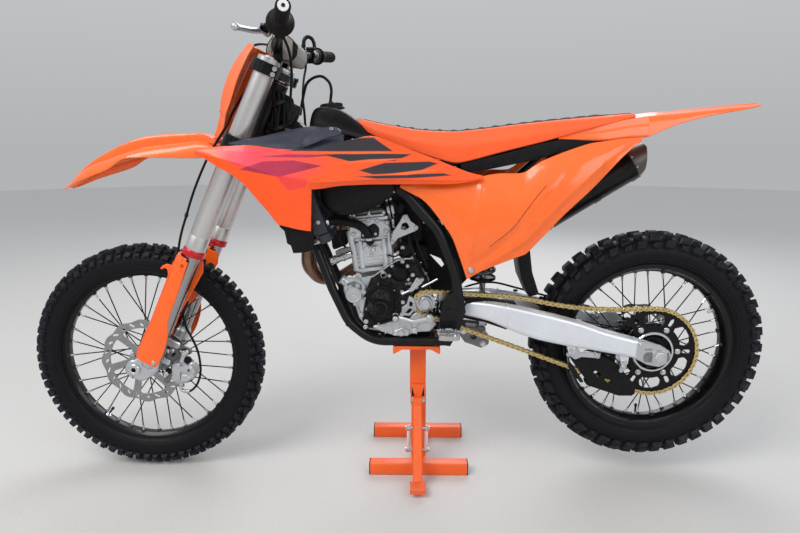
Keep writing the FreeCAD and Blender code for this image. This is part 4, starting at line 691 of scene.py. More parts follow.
def tyre(name, node, centre, body, carcass, knob_rows, pitches, marks):
    """carcass: half section (r, y) from the crown to the bead. knob_rows: blocks in each pitch."""
    half = crom(carcass, 5)
    full = np.vstack([half[::-1] * (1, -1), half[1:]])
    k = Kit(name)
    inner = [(half[-1][0] - 1.5, half[-1][1] - 4), (half[-1][0] - 6, half[-1][1] - 6)]
    prof = [(r, -y) for r, y in inner[::-1]] + [tuple(p) for p in full] + inner
    # fine moulded lines on the side wall
    prof2 = []
    for i, (r, y) in enumerate(prof):
        prof2.append((r, y))
    k.rev(prof2, centre, AX, M["rubber"], 144, ref=E1)
    for r0, y0, w, h in marks:
        for s in (-1, 1):
            k.rev([(r0 - w, s * (y0 - 0.5)), (r0 - w * 0.6, s * (y0 + h)), (r0 + w * 0.6, s * (y0 + h)), (r0 + w, s * (y0 - 0.5))], centre, AX, M["rubber"], 144, ref=E1)
    seg = np.linalg.norm(np.diff(full, axis=0), axis=1)
    s = np.concatenate([[0], np.cumsum(seg)])
    s -= s[len(half) - 1]
    tang = np.gradient(full, axis=0)
    nrm = np.stack([tang[:, 1], -tang[:, 0]], 1)
    nrm /= np.linalg.norm(nrm, axis=1, keepdims=True)

    def at(deg, v, h):
        r = np.interp(v, s, full[:, 0]) + h * np.interp(v, s, nrm[:, 0])
        y = np.interp(v, s, full[:, 1]) + h * np.interp(v, s, nrm[:, 1])
        return wheel_at(centre, r, deg, y)

    step = 360.0 / pitches
    ref = carcass[0][0]
    for i in range(pitches):
        for u, v0, v1, long, high, slant in knob_rows:
            for side in ((-1, 1) if v0 >= 0 else (1,)):
                mid = (i + u + (0.5 if (side < 0 and slant < 0) else 0.0)) * step
                half_deg = math.degrees(long / 2 / ref)
                nv = 3 if (v1 - v0) > 20 else 2
                jig = 1 + 0.02 * math.sin(i * 2.3 + u * 9)
                rows = []
                for hh, grow in ((-1.2, 1.6), (high * 0.15, 1.1), (high - 1.6, 0.0), (high - 0.45, -0.5), (high, -1.5)):
                    ring = []
                    gd = math.degrees(grow / ref)
                    vs = np.linspace(v0 - grow, v1 + grow, nv)
                    for sgn, order in ((-1, vs), (1, vs[::-1])):
                        for v in order:
                            lean = abs(slant) * 0.02 * (v - v0) * step * 0.25
                            ring.append(at(mid + sgn * (half_deg + gd) * jig + lean, side * v, hh))
                    rows.append(ring)
                k.grid(rows, M["rubber"], wrap_v=True)
                top = rows[-1]
                n = len(top)
                k.add(top, [[j, j + 1, n - 2 - j, n - 1 - j] for j in range(n // 2 - 1)], M["rubber"])
    return k.finish(body, [node], smooth=32)


FRONT_CARCASS = [(334.2, 0), (333.4, 9), (331, 18), (326.5, 27), (319, 35.2), (309, 40.8), (298, 43.4), (286, 43.2), (276, 40), (269, 35.2), (266, 32.4), (263.5, 29.6)]
FRONT_KNOBS = [  # place in the pitch, v from, v to, length, height, slant
    (0.0, 2.2, 13.0, 17.0, 12.6, 1), (0.5, 12.5, 24.0, 16.0, 12.2, 1), (0.0, 25.0, 36.0, 16.0, 11.8, 1), (0.5, 36.5, 49.0, 17.0, 10.4, 1), (0.0, 40.0, 49.0, 13.0, 8.4, 1)]
REAR_CARCASS = [(327.2, 0), (326.6, 11), (324, 23), (318.5, 34), (309.5, 43.5), (298, 50.2), (286, 53.2), (273, 51.8), (262, 46.6), (255, 40.6), (251.5, 36.8), (247.5, 34.6)]
REAR_KNOBS = [
    (0.0, -13.0, 13.0, 25, 16.6, 0), (0.5, 11.0, 26.0, 25, 16.5, 1), (0.0, 29.5, 43.5, 25, 16.0, 1), (0.5, 43.0, 60.0, 27, 13.4, 1), (0.0, 47.5, 60.0, 21, 11.0, 1)]
tyre("front_tyre_knobbed", "front_tyre", FRONT_C, FRONTW, FRONT_CARCASS, FRONT_KNOBS, 36, [(281, 42.0, 1.6, 0.9), (272, 37.4, 1.2, 0.8)])
tyre("rear_tyre_knobbed", "rear_tyre", REAR_C, REARW, REAR_CARCASS, REAR_KNOBS, 24, [(268, 50.2, 1.8, 0.9), (259, 44.5, 1.4, 0.8)])

# rims: a drop centre with rolled flanges, a raised seat round each nipple, the valve and the rim locks
RIMS = [("front", "front_rim", FRONT_C, FRONTW, 250.0, 268.0, 22.5), ("rear", "rear_rim", REAR_C, REARW, 224.0, 242.0, 29.5)]
for name, node, centre, body, inner, bead, seat in RIMS:
    fl = seat + 5.0
    k = Kit(name + "_rim_detailed")
    out = [(inner + 0.4, 0), (inner, 6.5), (inner + 0.6, 9.5), (inner + 3.2, 12.2), (bead - 8.2, seat - 6.0), (bead - 6.6, seat - 2.6), (bead - 6.0, seat + 1.0),
           (bead - 5.0, fl - 0.8), (bead - 3.2, fl), (bead + 6.6, fl), (bead + 8.6, fl - 0.8), (bead + 9.0, fl - 2.4), (bead + 8.6, fl - 4.2), (bead + 7.0, seat + 0.1),
           (bead + 1.0, seat - 0.2), (bead - 0.5, seat - 3)]
    prof = out + [(r, -y) for r, y in reversed(out)][:-1]
    k.rev(prof, centre, AX, M["rim"], 160, closed=True, ref=E1)
    for s in (-1, 1):  # machined line on the flange
        k.rev([(bead - 4.0, s * (fl - 0.1)), (bead - 3.6, s * (fl + 0.25)), (bead - 2.8, s * (fl + 0.25)), (bead - 2.4, s * (fl - 0.1))], centre, AX, M["rim"], 160, ref=E1)
    # valve stem with its nut, between two spokes at the foot, and two rim locks
    for deg, kind in ((-92.0, "valve"), (28.0, "lock"), (152.0, "lock")) if name == "rear" else ((-128.0, "valve"), (58.0, "lock")):
        p, q = wheel_at(centre, inner + 1, deg, 0), wheel_at(centre, inner - 1, deg, 0)
        way = un(centre - p)
        k.cyl(p - way * 1, p + way * 2.2, 8.4, M["zinc"], 20)
        k.bolt(p + way * 2.2, way, 6.2, M["zinc"], 4.4, washer=False)
        k.cyl(p + way * 6, p + way * (27 if kind == "valve" else 17), 2.9 if kind == "valve" else 3.9, M["zinc"] if kind == "lock" else M["black_alloy"], 14, bevel=0.6)
        if kind == "valve":
            k.cyl(p + way * 22, p + way * 32, 4.3, M["black_plastic"], 12, bevel=1.2)
    k.finish(body, [node], smooth=30)

LACING = [
    ("front", "front_spokes", FRONT_C, FRONTW, 18, 38.8, 34.0, 26.0, 249.0, 7.0, 1.5, 60.0),
    ("rear", "rear_spokes", REAR_C, REARW, 18, 60.8, 53.0, 44.0, 223.0, 8.0, 1.5, 40.0),
]
RIGHT_FLANGE = {"front": (38.8, 34.0, 26.0), "rear": (54.8, 44.0, 35.0)}
for name, node, centre, body, count, hub, out_y, in_y, rim, rim_out, rim_in, turn in LACING:
    k = Kit(name + "_spokes_laced")
    for side in (LEFT, RIGHT):
        h, oy, iy = (hub, out_y, in_y) if side == LEFT else RIGHT_FLANGE[name]
        for j in range(count):
            outer = j % 2 == 0
            a0 = j * 360.0 / count + (10.0 if side == RIGHT else 0.0)
            a1 = a0 + (turn if outer else -turn)
            y0, y1 = (oy, rim_out) if outer else (iy, rim_in)
            p, q = wheel_at(centre, h, a0, side * y0), wheel_at(centre, rim, a1, side * y1)
            way = un(q - p)
            head = wheel_at(centre, h - 3.0, a0 - (1.5 if outer else -1.5), side * (y0 + (2.2 if outer else -2.2)))
            into = wheel_at(centre, h - 3.6, a0 - (1.5 if outer else -1.5), side * (y0 + (-3.2 if outer else 3.2)))
            line = crom([into, head, p + way * 4.0, p + way * 12, q], 3)
            k.pipe(line, 1.75, M["spoke"], 8)
            k.pipe([head - way * 0.5, head + np.array((0, side * (2.2 if outer else -2.2), 0))], 3.0, M["spoke"], 8)
            # nipple: a slim square body widening to its seat in the rim
            k.turn(q - way * 19, way, [(0, 2.5), (0.6, 3.2), (10.5, 3.3), (11.5, 3.8), (15.0, 3.9), (20.0, 5.0)], M["zinc"], 8)
            base = wheel_at(centre, rim + 3.0, a1, side * y1)
            k.turn(base - way * 5.2, way, [(0, 5.0), (1.0, 6.2), (4.2, 7.6), (6.5, 8.0)], M["rim"], 14)
    k.finish(body, [node], smooth=40)

# hubs
k = Kit("front_hub_machined")
fh = [(11.1, -51.5), (28, -51.5), (30, -50.5), (44.5, -50.5), (45.8, -49.5), (45.8, -46), (44.5, -45), (30, -43), (26.2, -41), (25, -37), (37, -36), (38.6, -35), (38.6, -31), (38.6, -26),
      (37, -24.4), (24, -22), (20.5, -19), (19, -8), (18.6, 0), (19, 8), (20.5, 19), (24, 22), (37, 24.4), (38.6, 26), (38.6, 34), (37, 36), (29, 38), (26, 39.5), (24, 48), (22.5, 50.5), (11.1, 50.5)]
k.rev(fh, FRONT_C, AX, M["machined"], 72, ref=E1)
for s in (-1, 1):
    for j in range(18):
        p = wheel_at(FRONT_C, 33.6, j * 20 + 5, s * 36.2)
        k.cyl(p - AX * s * 0.8, p + AX * s * 0.5, 1.9, M["black_alloy"], 10, bevel=0.3)
for j in range(6):
    p = wheel_at(FRONT_C, 40.0, j * 60 + 30, -56.6)
    k.cyl(p + AX * 12, p - AX * 0.2, 7.0, M["machined"], 18)
    k.bolt(p, -AX, 5.0, M["zinc"], 3.6, kind="torx", washer=False)
k.rev([(12, 50), (20.5, 50), (21.5, 51), (21.5, 54.5), (20.5, 55.5), (17.2, 55.5)], FRONT_C, AX, M["black_plastic"], 40)
k.finish(FRONTW, ["front_hub"], smooth=34)

k = Kit("rear_hub_machined")
rh = [(12.6, -66), (50, -66), (52.2, -67), (52.2, -79.4), (53, -80.2), (57.6, -80.2), (58.8, -79.2), (59, -76), (59, -67.4), (60.6, -66.9), (82, -66.9), (83.6, -65.8), (83.6, -60.5), (82, -59.2),
      (64, -57), (60.6, -55.4), (60.4, -46), (60.2, -39.4), (58.6, -38), (40, -35), (34.5, -31), (32.2, -22), (30.6, 0), (32.2, 22), (35, 28), (40, 30.4), (52.6, 32), (54.2, 33.4),
      (54.2, 45.2), (53, 46.6), (46, 48.2), (44.3, 50), (44, 61), (43, 62.2), (12.6, 62.2)]
k.rev(rh, REAR_C, AX, M["black_alloy"], 96, ref=E1)
k.rev([(52.6, -80.1), (53.4, -81.0), (57.6, -81.0), (58.6, -80.0)], REAR_C, AX, M["machined"], 96)
k.rev([(59.3, -79.6), (60.0, -79.0), (60.0, -70), (59.3, -69.2)], REAR_C, AX, M["machined"], 96)
k.rev([(22, -66.2), (24, -68), (40, -70.5), (44, -69), (46, -66.2)], REAR_C, AX, M["black_plastic"], 72)
for j in range(9):
    a = j * 40 + 12
    p = wheel_at(REAR_C, 47.0, a, -66)
    q = wheel_at(REAR_C, 51.5, a, -66)
    k.block((p + q) / 2 - AX * 4, (9, 9, 4), M["black_alloy"], (un(q - p), AX, np.cross(un(q - p), AX)), 0.8)
for s, r, y in ((-1, 55.5, -53.4), (1, 49.0, 44.0)):
    for j in range(18):
        p = wheel_at(REAR_C, 78 if s < 0 else 49.5, j * 20 + 5, -66.4 if s < 0 else 46.6)
        k.cyl(p - AX * s * 0.8, p + AX * s * 0.5, 1.9, M["zinc"] if s < 0 else M["black_alloy"], 10, bevel=0.3)
for j in range(6):
    p = wheel_at(REAR_C, 53.5, j * 60 + 30, 67.8)
    k.cyl(p - AX * 20, p, 7.0, M["black_alloy"], 18)
    k.bolt(p, AX, 5.0, M["zinc"], 3.2, kind="torx", washer=False)
k.finish(REARW, ["rear_hub"], smooth=34)


# brake discs: a waved rim, slots and arms
def disc(name, node, centre, body, y, hole, hub_r, ring0, ring1, waves, depth, thick, bolts, arms):
    k = Kit(name)
    out = []
    for j in range(240):
        a = 2 * math.pi * j / 240
        w = math.cos(waves * a)
        out.append(((ring1 - depth / 2 + depth / 2 * w) * math.cos(a), (ring1 - depth / 2 + depth / 2 * w) * math.sin(a)))
    holes = [arc(0, 0, hole, 0, 360, 65)[:-1]]
    # windows between the arms
    for j in range(arms):
        a0, a1 = 360.0 / arms * j + 10, 360.0 / arms * (j + 1) - 4
        lo, hi = hub_r + 4, ring0
        pts = [(hi * math.cos(math.radians(a)), hi * math.sin(math.radians(a))) for a in np.linspace(a0 + 9, a1 + 10, 9)]
        pts += [(lo * math.cos(math.radians(a)), lo * math.sin(math.radians(a))) for a in np.linspace(a1 - 4, a0 + 5, 7)]
        holes.append(rounded(pts, [8] + [0] * 7 + [8, 6] + [0] * 5 + [6], 3))
    # wear slots in the ring
    for j in range(waves):
        a = 360.0 / waves * (j + 0.5)
        rm = (ring0 + ring1 - depth) / 2 + 1
        t = math.radians(a + 12)
        wide = (ring1 - depth - ring0)
        for rr, da, ln in ((rm, 0, wide * 0.30), (rm - 1.5, 360.0 / waves * 0.5, wide * 0.2)):
            c, s_ = math.cos(math.radians(a + da)), math.sin(math.radians(a + da))
            cx, cy = rr * c, rr * s_
            ux, uy = un((c * math.cos(0.9) - s_ * math.sin(0.9), s_ * math.cos(0.9) + c * math.sin(0.9)))
            w = 2.6
            slot_pts = []
            for end, sg in ((ln, 1), (-ln, -1)):
                for t2 in np.linspace(-90, 90, 6):
                    tt = math.radians(t2)
                    slot_pts.append((cx + ux * end + sg * w * (ux * math.cos(tt) - uy * math.sin(tt)), cy + uy * end + sg * w * (uy * math.cos(tt) + ux * math.sin(tt))))
            holes.append(slot_pts)
    k.plate(out, y - thick / 2, y + thick / 2, M["disc"], holes, 0.35, at=lambda a, b, t: centre + np.array((a, t, b)))
    return k.finish(body, [node], smooth=30)


disc("front_disc_waved", "front_disc", FRONT_C, FRONTW, -55.0, 33.0, 42.0, 102.0, 128.6, 12, 6.0, 2.8, 6, 6)
disc("rear_disc_waved", "rear_disc", REAR_C, REARW, 66.0, 46.5, 58.0, 84.0, 109.6, 10, 5.0, 3.0, 6, 6)

# rear sprocket: 52 teeth, so that a quarter turn brings a tooth to a tooth
TEETH = 52
PITCH_R = 127.0
k = Kit("rear_sprocket_toothed")
out = []
for j in range(TEETH):
    a = 360.0 / TEETH * j
    for da, r in ((-0.42, 129.4), (-0.3, 127.6), (-0.2, 124.4), (-0.1, 122.6), (0.0, 122.0), (0.1, 122.6), (0.2, 124.4), (0.3, 127.6), (0.42, 129.4)):
        t = math.radians(a + da * 360.0 / TEETH)
        out.append((r * math.cos(t), r * math.sin(t)))
holes = [arc(0, 0, 60.6, 0, 360, 73)[:-1]]
for j in range(6):
    a = 60 * j + 30
    def at(r, d):
        t = math.radians(a + d)
        return (r * math.cos(t), r * math.sin(t))
    holes.append(rounded([at(79, -15), at(76, 0), at(79, 15), at(94, 19.5), at(109, 15), at(113, 5), at(113, -5), at(109, -15), at(94, -19.5)], [7, 14, 7, 8, 9, 8, 8, 9, 8], 4))
    holes.append(rounded([at(87, 26.6), at(87, 33.4), at(103, 33.4), at(110, 31.5), at(110, 28.5), at(103, 26.6)], 3.2, 3))
k.plate(out, -73.0, -67.2, M["black_alloy"], holes, 0.5, at=lambda a, b, t: REAR_C + np.array((a, t, b)))
for j in range(6):
    p = wheel_at(REAR_C, 73.0, 60 * j, -73.0)
    k.cyl(p + AX * 6.2, p - AX * 0.4, 9.5, M["black_alloy"], 24)
    k.bolt(p - AX * 0.4, -AX, 6.4, M["zinc"], 4.4)
    k.cyl(p - AX * 4.5, p - AX * 5.9, 3.4, M["steel"], 12, bevel=0.5)
k.finish(REARW, ["rear_sprocket"], smooth=30)

# ------------------------------------------------------------------ bodywork
def patch(rows, nu, nv, cu=(), cv=()):
    """A smooth grid through rows of points; cu and cv name the rows and columns that stay sharp."""
    g = np.array(rows, float)

    def along(pts, n, sharp):
        cuts = [0] + [c for c in sharp if 0 < c < len(pts) - 1] + [len(pts) - 1]
        out = []
        for a, b in zip(cuts, cuts[1:]):
            piece = crom(pts[a:b + 1], n) if b - a > 1 else np.array([lerp(pts[a], pts[b], t) for t in np.arange(n + 1) / n])
            out.append(piece[:-1])
        out.append(np.array([pts[-1]]))
        return np.vstack(out)
    g = np.array([along(r, nv, cv) for r in g])
    g = np.array([along(g[:, j], nu, cu) for j in range(g.shape[1])]).transpose(1, 0, 2)
    return g


def grid_normals(g, out):
    du, dv = np.gradient(g, axis=0), np.gradient(g, axis=1)
    n = np.cross(du, dv)
    n /= np.maximum(np.linalg.norm(n, axis=2, keepdims=True), 1e-9)
    o = np.array(out, float)
    if (n * o).sum() < 0:
        n = -n
    return n


def shell(k, g, thick, mat, out, inner=None, bump=None):
    """A panel with an outer face, a rounded rim and an inner face. out points roughly outwards."""
    n = grid_normals(g, out)
    if bump is not None:
        g = g + n * bump[..., None]
    inn = g - n * thick
    nu, nv = g.shape[:2]
    k.grid(g, mat)
    k.grid(inn, inner or mat)
    idx = [(0, j) for j in range(nv)] + [(i, nv - 1) for i in range(1, nu)] + [(nu - 1, j) for j in range(nv - 2, -1, -1)] + [(i, 0) for i in range(nu - 2, 0, -1)]
    a, b, nn = (np.array([q[i, j] for i, j in idx]) for q in (g, inn, n))
    t = np.roll(a, -1, 0) - np.roll(a, 1, 0)
    t /= np.maximum(np.linalg.norm(t, axis=1, keepdims=True), 1e-9)
    away = np.cross(t, nn)
    mid = g.reshape(-1, 3).mean(0)
    if ((a - mid) * away).sum() < 0:
        away = -away
    m = (a + b) / 2 + away * thick * 0.42
    q1 = a * 0.72 + b * 0.28 + away * thick * 0.34
    q2 = a * 0.28 + b * 0.72 + away * thick * 0.34
    k.grid([a, q1, m, q2, b], mat, wrap_v=True)


def both(rows):
    """The same rows on the right side."""
    return [[np.array((p[0], -p[1], p[2])) for p in r] for r in rows]


# shroud: an upper face that leans in, a fold, and a lower face that tucks under
SHROUD = [  # x, top z, |y| at the top, fold z, |y| at the fold, foot z, |y| at the foot
    (240, 966, 196, 961, 200, 955, 200), (268, 971, 193, 955, 203, 942, 203), (300, 974, 190, 946, 205, 922, 205), (332, 976, 187, 937, 206, 905, 206), (365, 977, 184, 928, 207, 877, 206),
    (393, 975, 181, 918, 208, 843, 206), (421, 971, 178, 909, 208, 810, 205), (436, 969, 177, 904, 208, 789, 204), (446, 968, 176, 901, 208, 776, 203), (492, 966, 172, 893, 205, 764, 199),
    (528, 968, 168, 887, 202, 757, 195), (534, 969, 167, 885, 201, 866, 197), (560, 974, 162, 884, 198, 868, 192), (602, 984, 150, 886, 190, 874, 184), (645, 994, 134, 888, 182, 876, 175),
    (685, 1001, 119, 890, 174, 877, 167), (740, 984, 113, 891, 167, 877, 160), (790, 965, 112, 890, 161, 877, 156), (850, 943, 114, 888, 156, 877, 152), (906, 921, 120, 887, 152, 878, 150),
    (950, 905, 134, 888, 149, 884, 148), (978, 899, 142, 893, 146, 890, 146)]
k = Kit("radiator_shrouds_moulded")
rows = []
for x, zt, yt, zf, yf, zb, yb in SHROUD:
    dz = zt - zf
    rows.append([W(x, -yt, zt), W(x, -(yt + (yf - yt) * 0.32), zt - dz * 0.27), W(x, -(yt + (yf - yt) * 0.70), zt - dz * 0.66), W(x, -yf - 0.8, zf),
                 W(x, -(yf * 0.6 + yb * 0.4) + (0.8 if zf - zb > 30 else 0), lerp(zf, zb, 0.4)), W(x, -yb, zb)])
for side, r in ((LEFT, rows), (RIGHT, both(rows))):
    g = patch(r, 4, 5, cu=(8, 10, 11), cv=(3,))
    shell(k, g, 3.6, M["shroud"], (0, side, 0.2), M["orange"])
k.finish(CHASSIS, ["radiator_shrouds"], smooth=24)

# side panels: crease lines, the seam of the airbox cover, the cut-out above
SIDE = [  # x, top z, |y| top, |y| mid, |y| foot, foot z
    (762, 874, 130, 132, 132, 867), (790, 876, 131, 134, 135, 853), (818, 877, 131, 136, 136, 838), (840, 877, 129, 137, 136, 818), (863, 876, 128, 138, 136, 789), (882, 876, 129, 141, 137, 764),
    (901, 876, 130, 144, 138, 735), (922, 878, 131, 148, 138, 682), (944, 881, 131, 151, 138, 618), (962, 889, 131, 154, 138, 629), (983, 896, 131, 157, 139, 641), (1008, 901, 131, 160, 141, 652),
    (1035, 903.5, 130, 162, 144, 664), (1066, 903.5, 130, 164, 147, 677), (1086, 905, 130, 164, 149, 685), (1098, 910, 130, 165, 150, 690), (1118, 924, 129, 164, 151, 710), (1136, 935, 128, 163, 151, 730),
    (1152, 942.5, 128, 162, 152, 748), (1200, 961, 124, 158, 151, 800), (1261, 981, 120, 150, 146, 858), (1305, 988, 116, 140, 138, 903), (1345, 994, 112, 128, 130, 945), (1383, 996.5, 107, 114, 116, 977),
    (1402, 997, 105, 107, 109, 990)]
k = Kit("side_panels_moulded")
rows = []
for x, zt, yt, ym, yb, zb in SIDE:
    h = zt - zb
    rows.append([W(x, -yt, zt), W(x, -(yt + 0.45 * (ym - yt)), zt - 0.14 * h), W(x, -(yt + 0.86 * (ym - yt)), zt - 0.34 * h), W(x, -ym, zt - 0.55 * h),
                 W(x, -(ym * 0.55 + yb * 0.45), zt - 0.8 * h), W(x, -yb, zb)])
SEAM = [(1158, 888), (1126, 851), (1096, 811), (1062, 763), (1034, 737), (976, 690)]
SEAM_D = np.array(SEAM, float)


def to_line(x, z, line):
    """The distance from a point to a broken line."""
    best = 1e9
    for (ax, az), (bx, bz) in zip(line, line[1:]):
        d = np.array((bx - ax, bz - az), float)
        t = np.clip(((x - ax) * d[0] + (z - az) * d[1]) / (d @ d), 0, 1)
        best = min(best, math.hypot(x - ax - t * d[0], z - az - t * d[1]))
    return best


seam_line = [tuple(p) for p in crom(SEAM, 5)]
RIDGES = [([(950, 700), (968, 800), (978, 866)], 3.0, 8), ([(966, 660), (1040, 716), (1100, 790), (1160, 850), (1200, 905)], -2.6, 11),
          ([(1010, 668), (1100, 734), (1180, 824), (1290, 926)], 3.2, 9), ([(800, 868), (880, 872), (960, 880)], -1.6, 7)]
for side, r in ((LEFT, rows), (RIGHT, both(rows))):
    g = patch(r, 5, 9, cu=(8,), cv=())
    bump = np.zeros(g.shape[:2])
    for i in range(g.shape[0]):
        for j in range(g.shape[1]):
            x, z = g[i, j, 0] + 743.5, g[i, j, 2]
            for line, high, wide in RIDGES:
                d = to_line(x, z, line)
                bump[i, j] += high * math.exp(-(d / wide) ** 2)
    # the top edge turns in
    shell(k, g, 3.6, M["orange"], (0, side, 0.1), None, bump)
    # the seam: a narrow black cord laid along the panel, which paints the shade in the seam's groove
    top = g + grid_normals(g, (0, side, 0.1)) * bump[..., None]
    flat = top.reshape(-1, 3)
    pts = []
    for x, z in seam_line[2:-2]:
        d = (flat[:, 0] + 743.5 - x) ** 2 + (flat[:, 2] - z) ** 2
        near = np.argsort(d)[:6]
        w = 1 / (d[near] + 1)
        pts.append(np.array((x - 743.5, float((flat[near, 1] * w).sum() / w.sum()) - side * 0.15, z)))
    k.pipe(np.array(pts), 0.75, M["black_plastic"], 8)
    p = W(954, side * 140.4, 643)
    k.turn(p - np.array((0, side * 3.0, 0)), (0, side, 0), [(0, 9), (3.6, 9), (4.2, 8.2)], M["black_plastic"], 24)
    k.bolt(p + np.array((0, side * 1.2, 0)), (0, side, 0), 6.2, M["zinc"], 3.2, kind="torx")
k.finish(CHASSIS, ["side_panels"], smooth=30)

# front fender: a crown with a step down to flared sides
FENDER = [  # x, crown z, half width, crown's half width, step depth, edge z
    (-206, 858, 22, 14, 0.6, 853.5), (-190, 869, 34, 20, 1.5, 859), (-168, 888, 47, 27, 3.5, 869), (-142, 910, 57, 34, 7, 880), (-104, 936, 72, 42, 13, 893), (-60, 959, 82, 48, 20, 908),
    (-40, 968.5, 85, 51, 23, 917), (-22, 977, 88, 53, 25, 930), (-4, 984, 89.5, 54, 27, 940), (14, 990.5, 91.5, 55, 28, 944.4), (38, 998, 92, 55, 29, 945.6), (60, 1002, 90, 55, 29, 945.6),
    (95, 1006, 86, 54, 29, 945), (130, 1008, 81, 52, 28, 944.4), (165, 1010, 76, 50, 26, 943.6), (200, 1010, 71, 48, 23, 943.6), (225, 1003, 69, 46, 18, 945.4), (245, 992, 68, 44, 12, 947.6)]
k = Kit("front_fender_moulded")
rows = []
for x, top, half, crown, step, edge in FENDER:
    sh = top - step
    pts = [(half, edge), (lerp(half, crown, 0.10), lerp(edge, sh, 0.34)), (lerp(half, crown, 0.40), lerp(edge, sh, 0.78)), (lerp(half, crown, 0.78), lerp(edge, sh, 0.98)), (crown + 1.0, sh + step * 0.03),
           (crown - 1.6, top - step * 0.08), (crown - 6, top), (crown * 0.45, top + 1.2), (0, top + 1.6)]
    rows.append([W(x, -y, z) for y, z in pts] + [W(x, y, z) for y, z in reversed(pts[:-1])])
g = patch(rows, 4, 4, cu=(), cv=(4, 12))
bump = np.zeros(g.shape[:2])
for i in range(g.shape[0]):
    for j in range(g.shape[1]):
        x, y = g[i, j, 0] + 743.5, abs(g[i, j, 1])
        if x > 60:
            bump[i, j] -= 1.6 * math.exp(-((y - 22) / 5.0) ** 2) * min(1, (x - 60) / 40) * min(1, max(0, (215 - x) / 30))
shell(k, g, 3.4, M["orange"], (0, 0, 1), None, bump)
k.block(S(-70, 0, -27.5), (74, 116, 7.5), M["orange"], (S(1, 0, 0) - S(0, 0, 0), AX, S(0, 0, 1) - S(0, 0, 0)), 2.5)
k.finish(STEERING, ["front_fender"], smooth=28)

# number plate: a bowed plate with a raised rim
PLATE = [(-10, -107, 37, -84), (6, -108, 44, -83), (20, -109, 50, -83), (36, -109.4, 58, -83.4), (48, -110, 64, -84), (66, -113, 80, -83), (90, -118, 92, -80), (120, -120, 103, -79), (150, -120, 111, -79), (180, -119, 111, -79), (205, -116, 107, -79), (228, -112, 98, -79), (246, -108, 86, -79),
         (258, -106, 74, -80)]
k = Kit("front_number_plate_moulded")
rows = []
for z, mid, half, edge in PLATE:
    rows.append([S(lerp(mid, edge, w), t * half, z) for t, w in ((-1, 1), (-0.86, 0.62), (-0.68, 0.16), (-0.62, 0.04), (-0.3, 0.01), (0, 0), (0.3, 0.01), (0.62, 0.04), (0.68, 0.16), (0.86, 0.62), (1, 1))])
g = patch(rows, 4, 3)
nu, nv = g.shape[:2]
bump = np.zeros((nu, nv))
for i in range(nu):
    for j in range(nv):
        e = min(i, nu - 1 - i) / 3.0, min(j, nv - 1 - j) / 2.4
        bump[i, j] = 2.4 * math.exp(-min(e) ** 2 * 1.2) - 0.6
shell(k, g, 3.2, M["orange"], tuple(S(-1, 0, 0) - S(0, 0, 0)), None, bump)
for y, z in ((0, 232), (-26, 60), (26, 60)):
    k.bolt(S(-112.6 if y else -113.6, y, z), tuple(S(-1, 0, 0) - S(0, 0, 0)), 4.4, M["black_plastic"], 2.4, kind="torx")
# the strap that holds it round the bar
k.sweep(crom([S(-105, -14, 252), S(-88, -12, 268), S(-60, -10, 279), S(-30, -9, 286)], 4), [(-11, -1.4), (11, -1.4), (11, 1.4), (-11, 1.4)], M["black_plastic"], hint=(0, 0, 1))
k.finish(STEERING, ["front_number_plate"], smooth=30)

# rear fender: centre ridge, flared sides, an upturned tail
REARF = [  # x, mid z, half width, edge z
    (1292, 1013, 88, 985), (1325, 1028, 94, 988), (1360, 1042, 98, 992), (1392, 1053, 99, 994), (1424, 1061, 98, 1001), (1460, 1065, 96, 1017), (1500, 1068, 92, 1033), (1540, 1072, 87, 1044), (1580, 1076, 81, 1054),
    (1635, 1082, 71, 1064), (1690, 1087, 58, 1073), (1725, 1090, 46, 1080), (1744, 1091.5, 36, 1085)]
k = Kit("rear_fender_moulded")
rows = []
for x, mid, half, edge in REARF:
    sh = max(mid - 7, edge + 2)
    pts = [(half, edge), (half * 0.975, lerp(edge, sh, 0.45)), (half * 0.90, lerp(edge, sh, 0.86)), (half * 0.74, sh + 1.5), (half * 0.5, mid - 2.6), (half * 0.42, mid - 2.0), (half * 0.34, mid + 0.8), (half * 0.16, mid + 1.6), (0, mid + 2.0)]
    rows.append([W(x, -y, z) for y, z in pts] + [W(x, y, z) for y, z in reversed(pts[:-1])])
g = patch(rows, 5, 4)
shell(k, g, 3.4, M["orange"], (0, 0, 1))
# its sides, which run forward under the seat's edge to a point
WEDGE = [(1184, 998, 100, 993.5, 102), (1240, 1012, 100, 992, 104), (1304, 1028, 99, 990.5, 105), (1345, 1038, 97, 995, 104), (1372, 1044, 95, 998, 103), (1400, 1048, 92, 999.5, 101), (1424, 1051, 90, 1001, 99.5)]
for side in (LEFT, RIGHT):
    rows = [[W(x, side * (yt - 1), zt + 1.5), W(x, side * lerp(yt, yb, 0.3), lerp(zt, zb, 0.3)), W(x, side * (lerp(yt, yb, 0.5) + 1.6), lerp(zt, zb, 0.5)), W(x, side * (yb + 0.4), lerp(zt, zb, 0.9)), W(x, side * yb, zb)] for x, zt, yt, zb, yb in WEDGE]
    g = patch(rows, 4, 4, cv=(2,))
    shell(k, g, 3.6, M["orange"], (0, side, 0.2))
# ribs under the tail
for y in (-26, 0, 26):
    line = [W(x, y * (1 - (x - 1450) / 900), table([(r[0], r[1]) for r in REARF], x)[0] - 5.4) for x in np.linspace(1470, 1715, 14)]
    k.sweep(line, [(-1.4, -4.5), (1.4, -4.5), (1.4, 2.5), (-1.4, 2.5)], M["orange"], scale=[min(1, 0.35 + 0.1 * min(i, 13 - i) * 1.6) for i in range(14)])
k.finish(CHASSIS, ["rear_fender"], smooth=30)

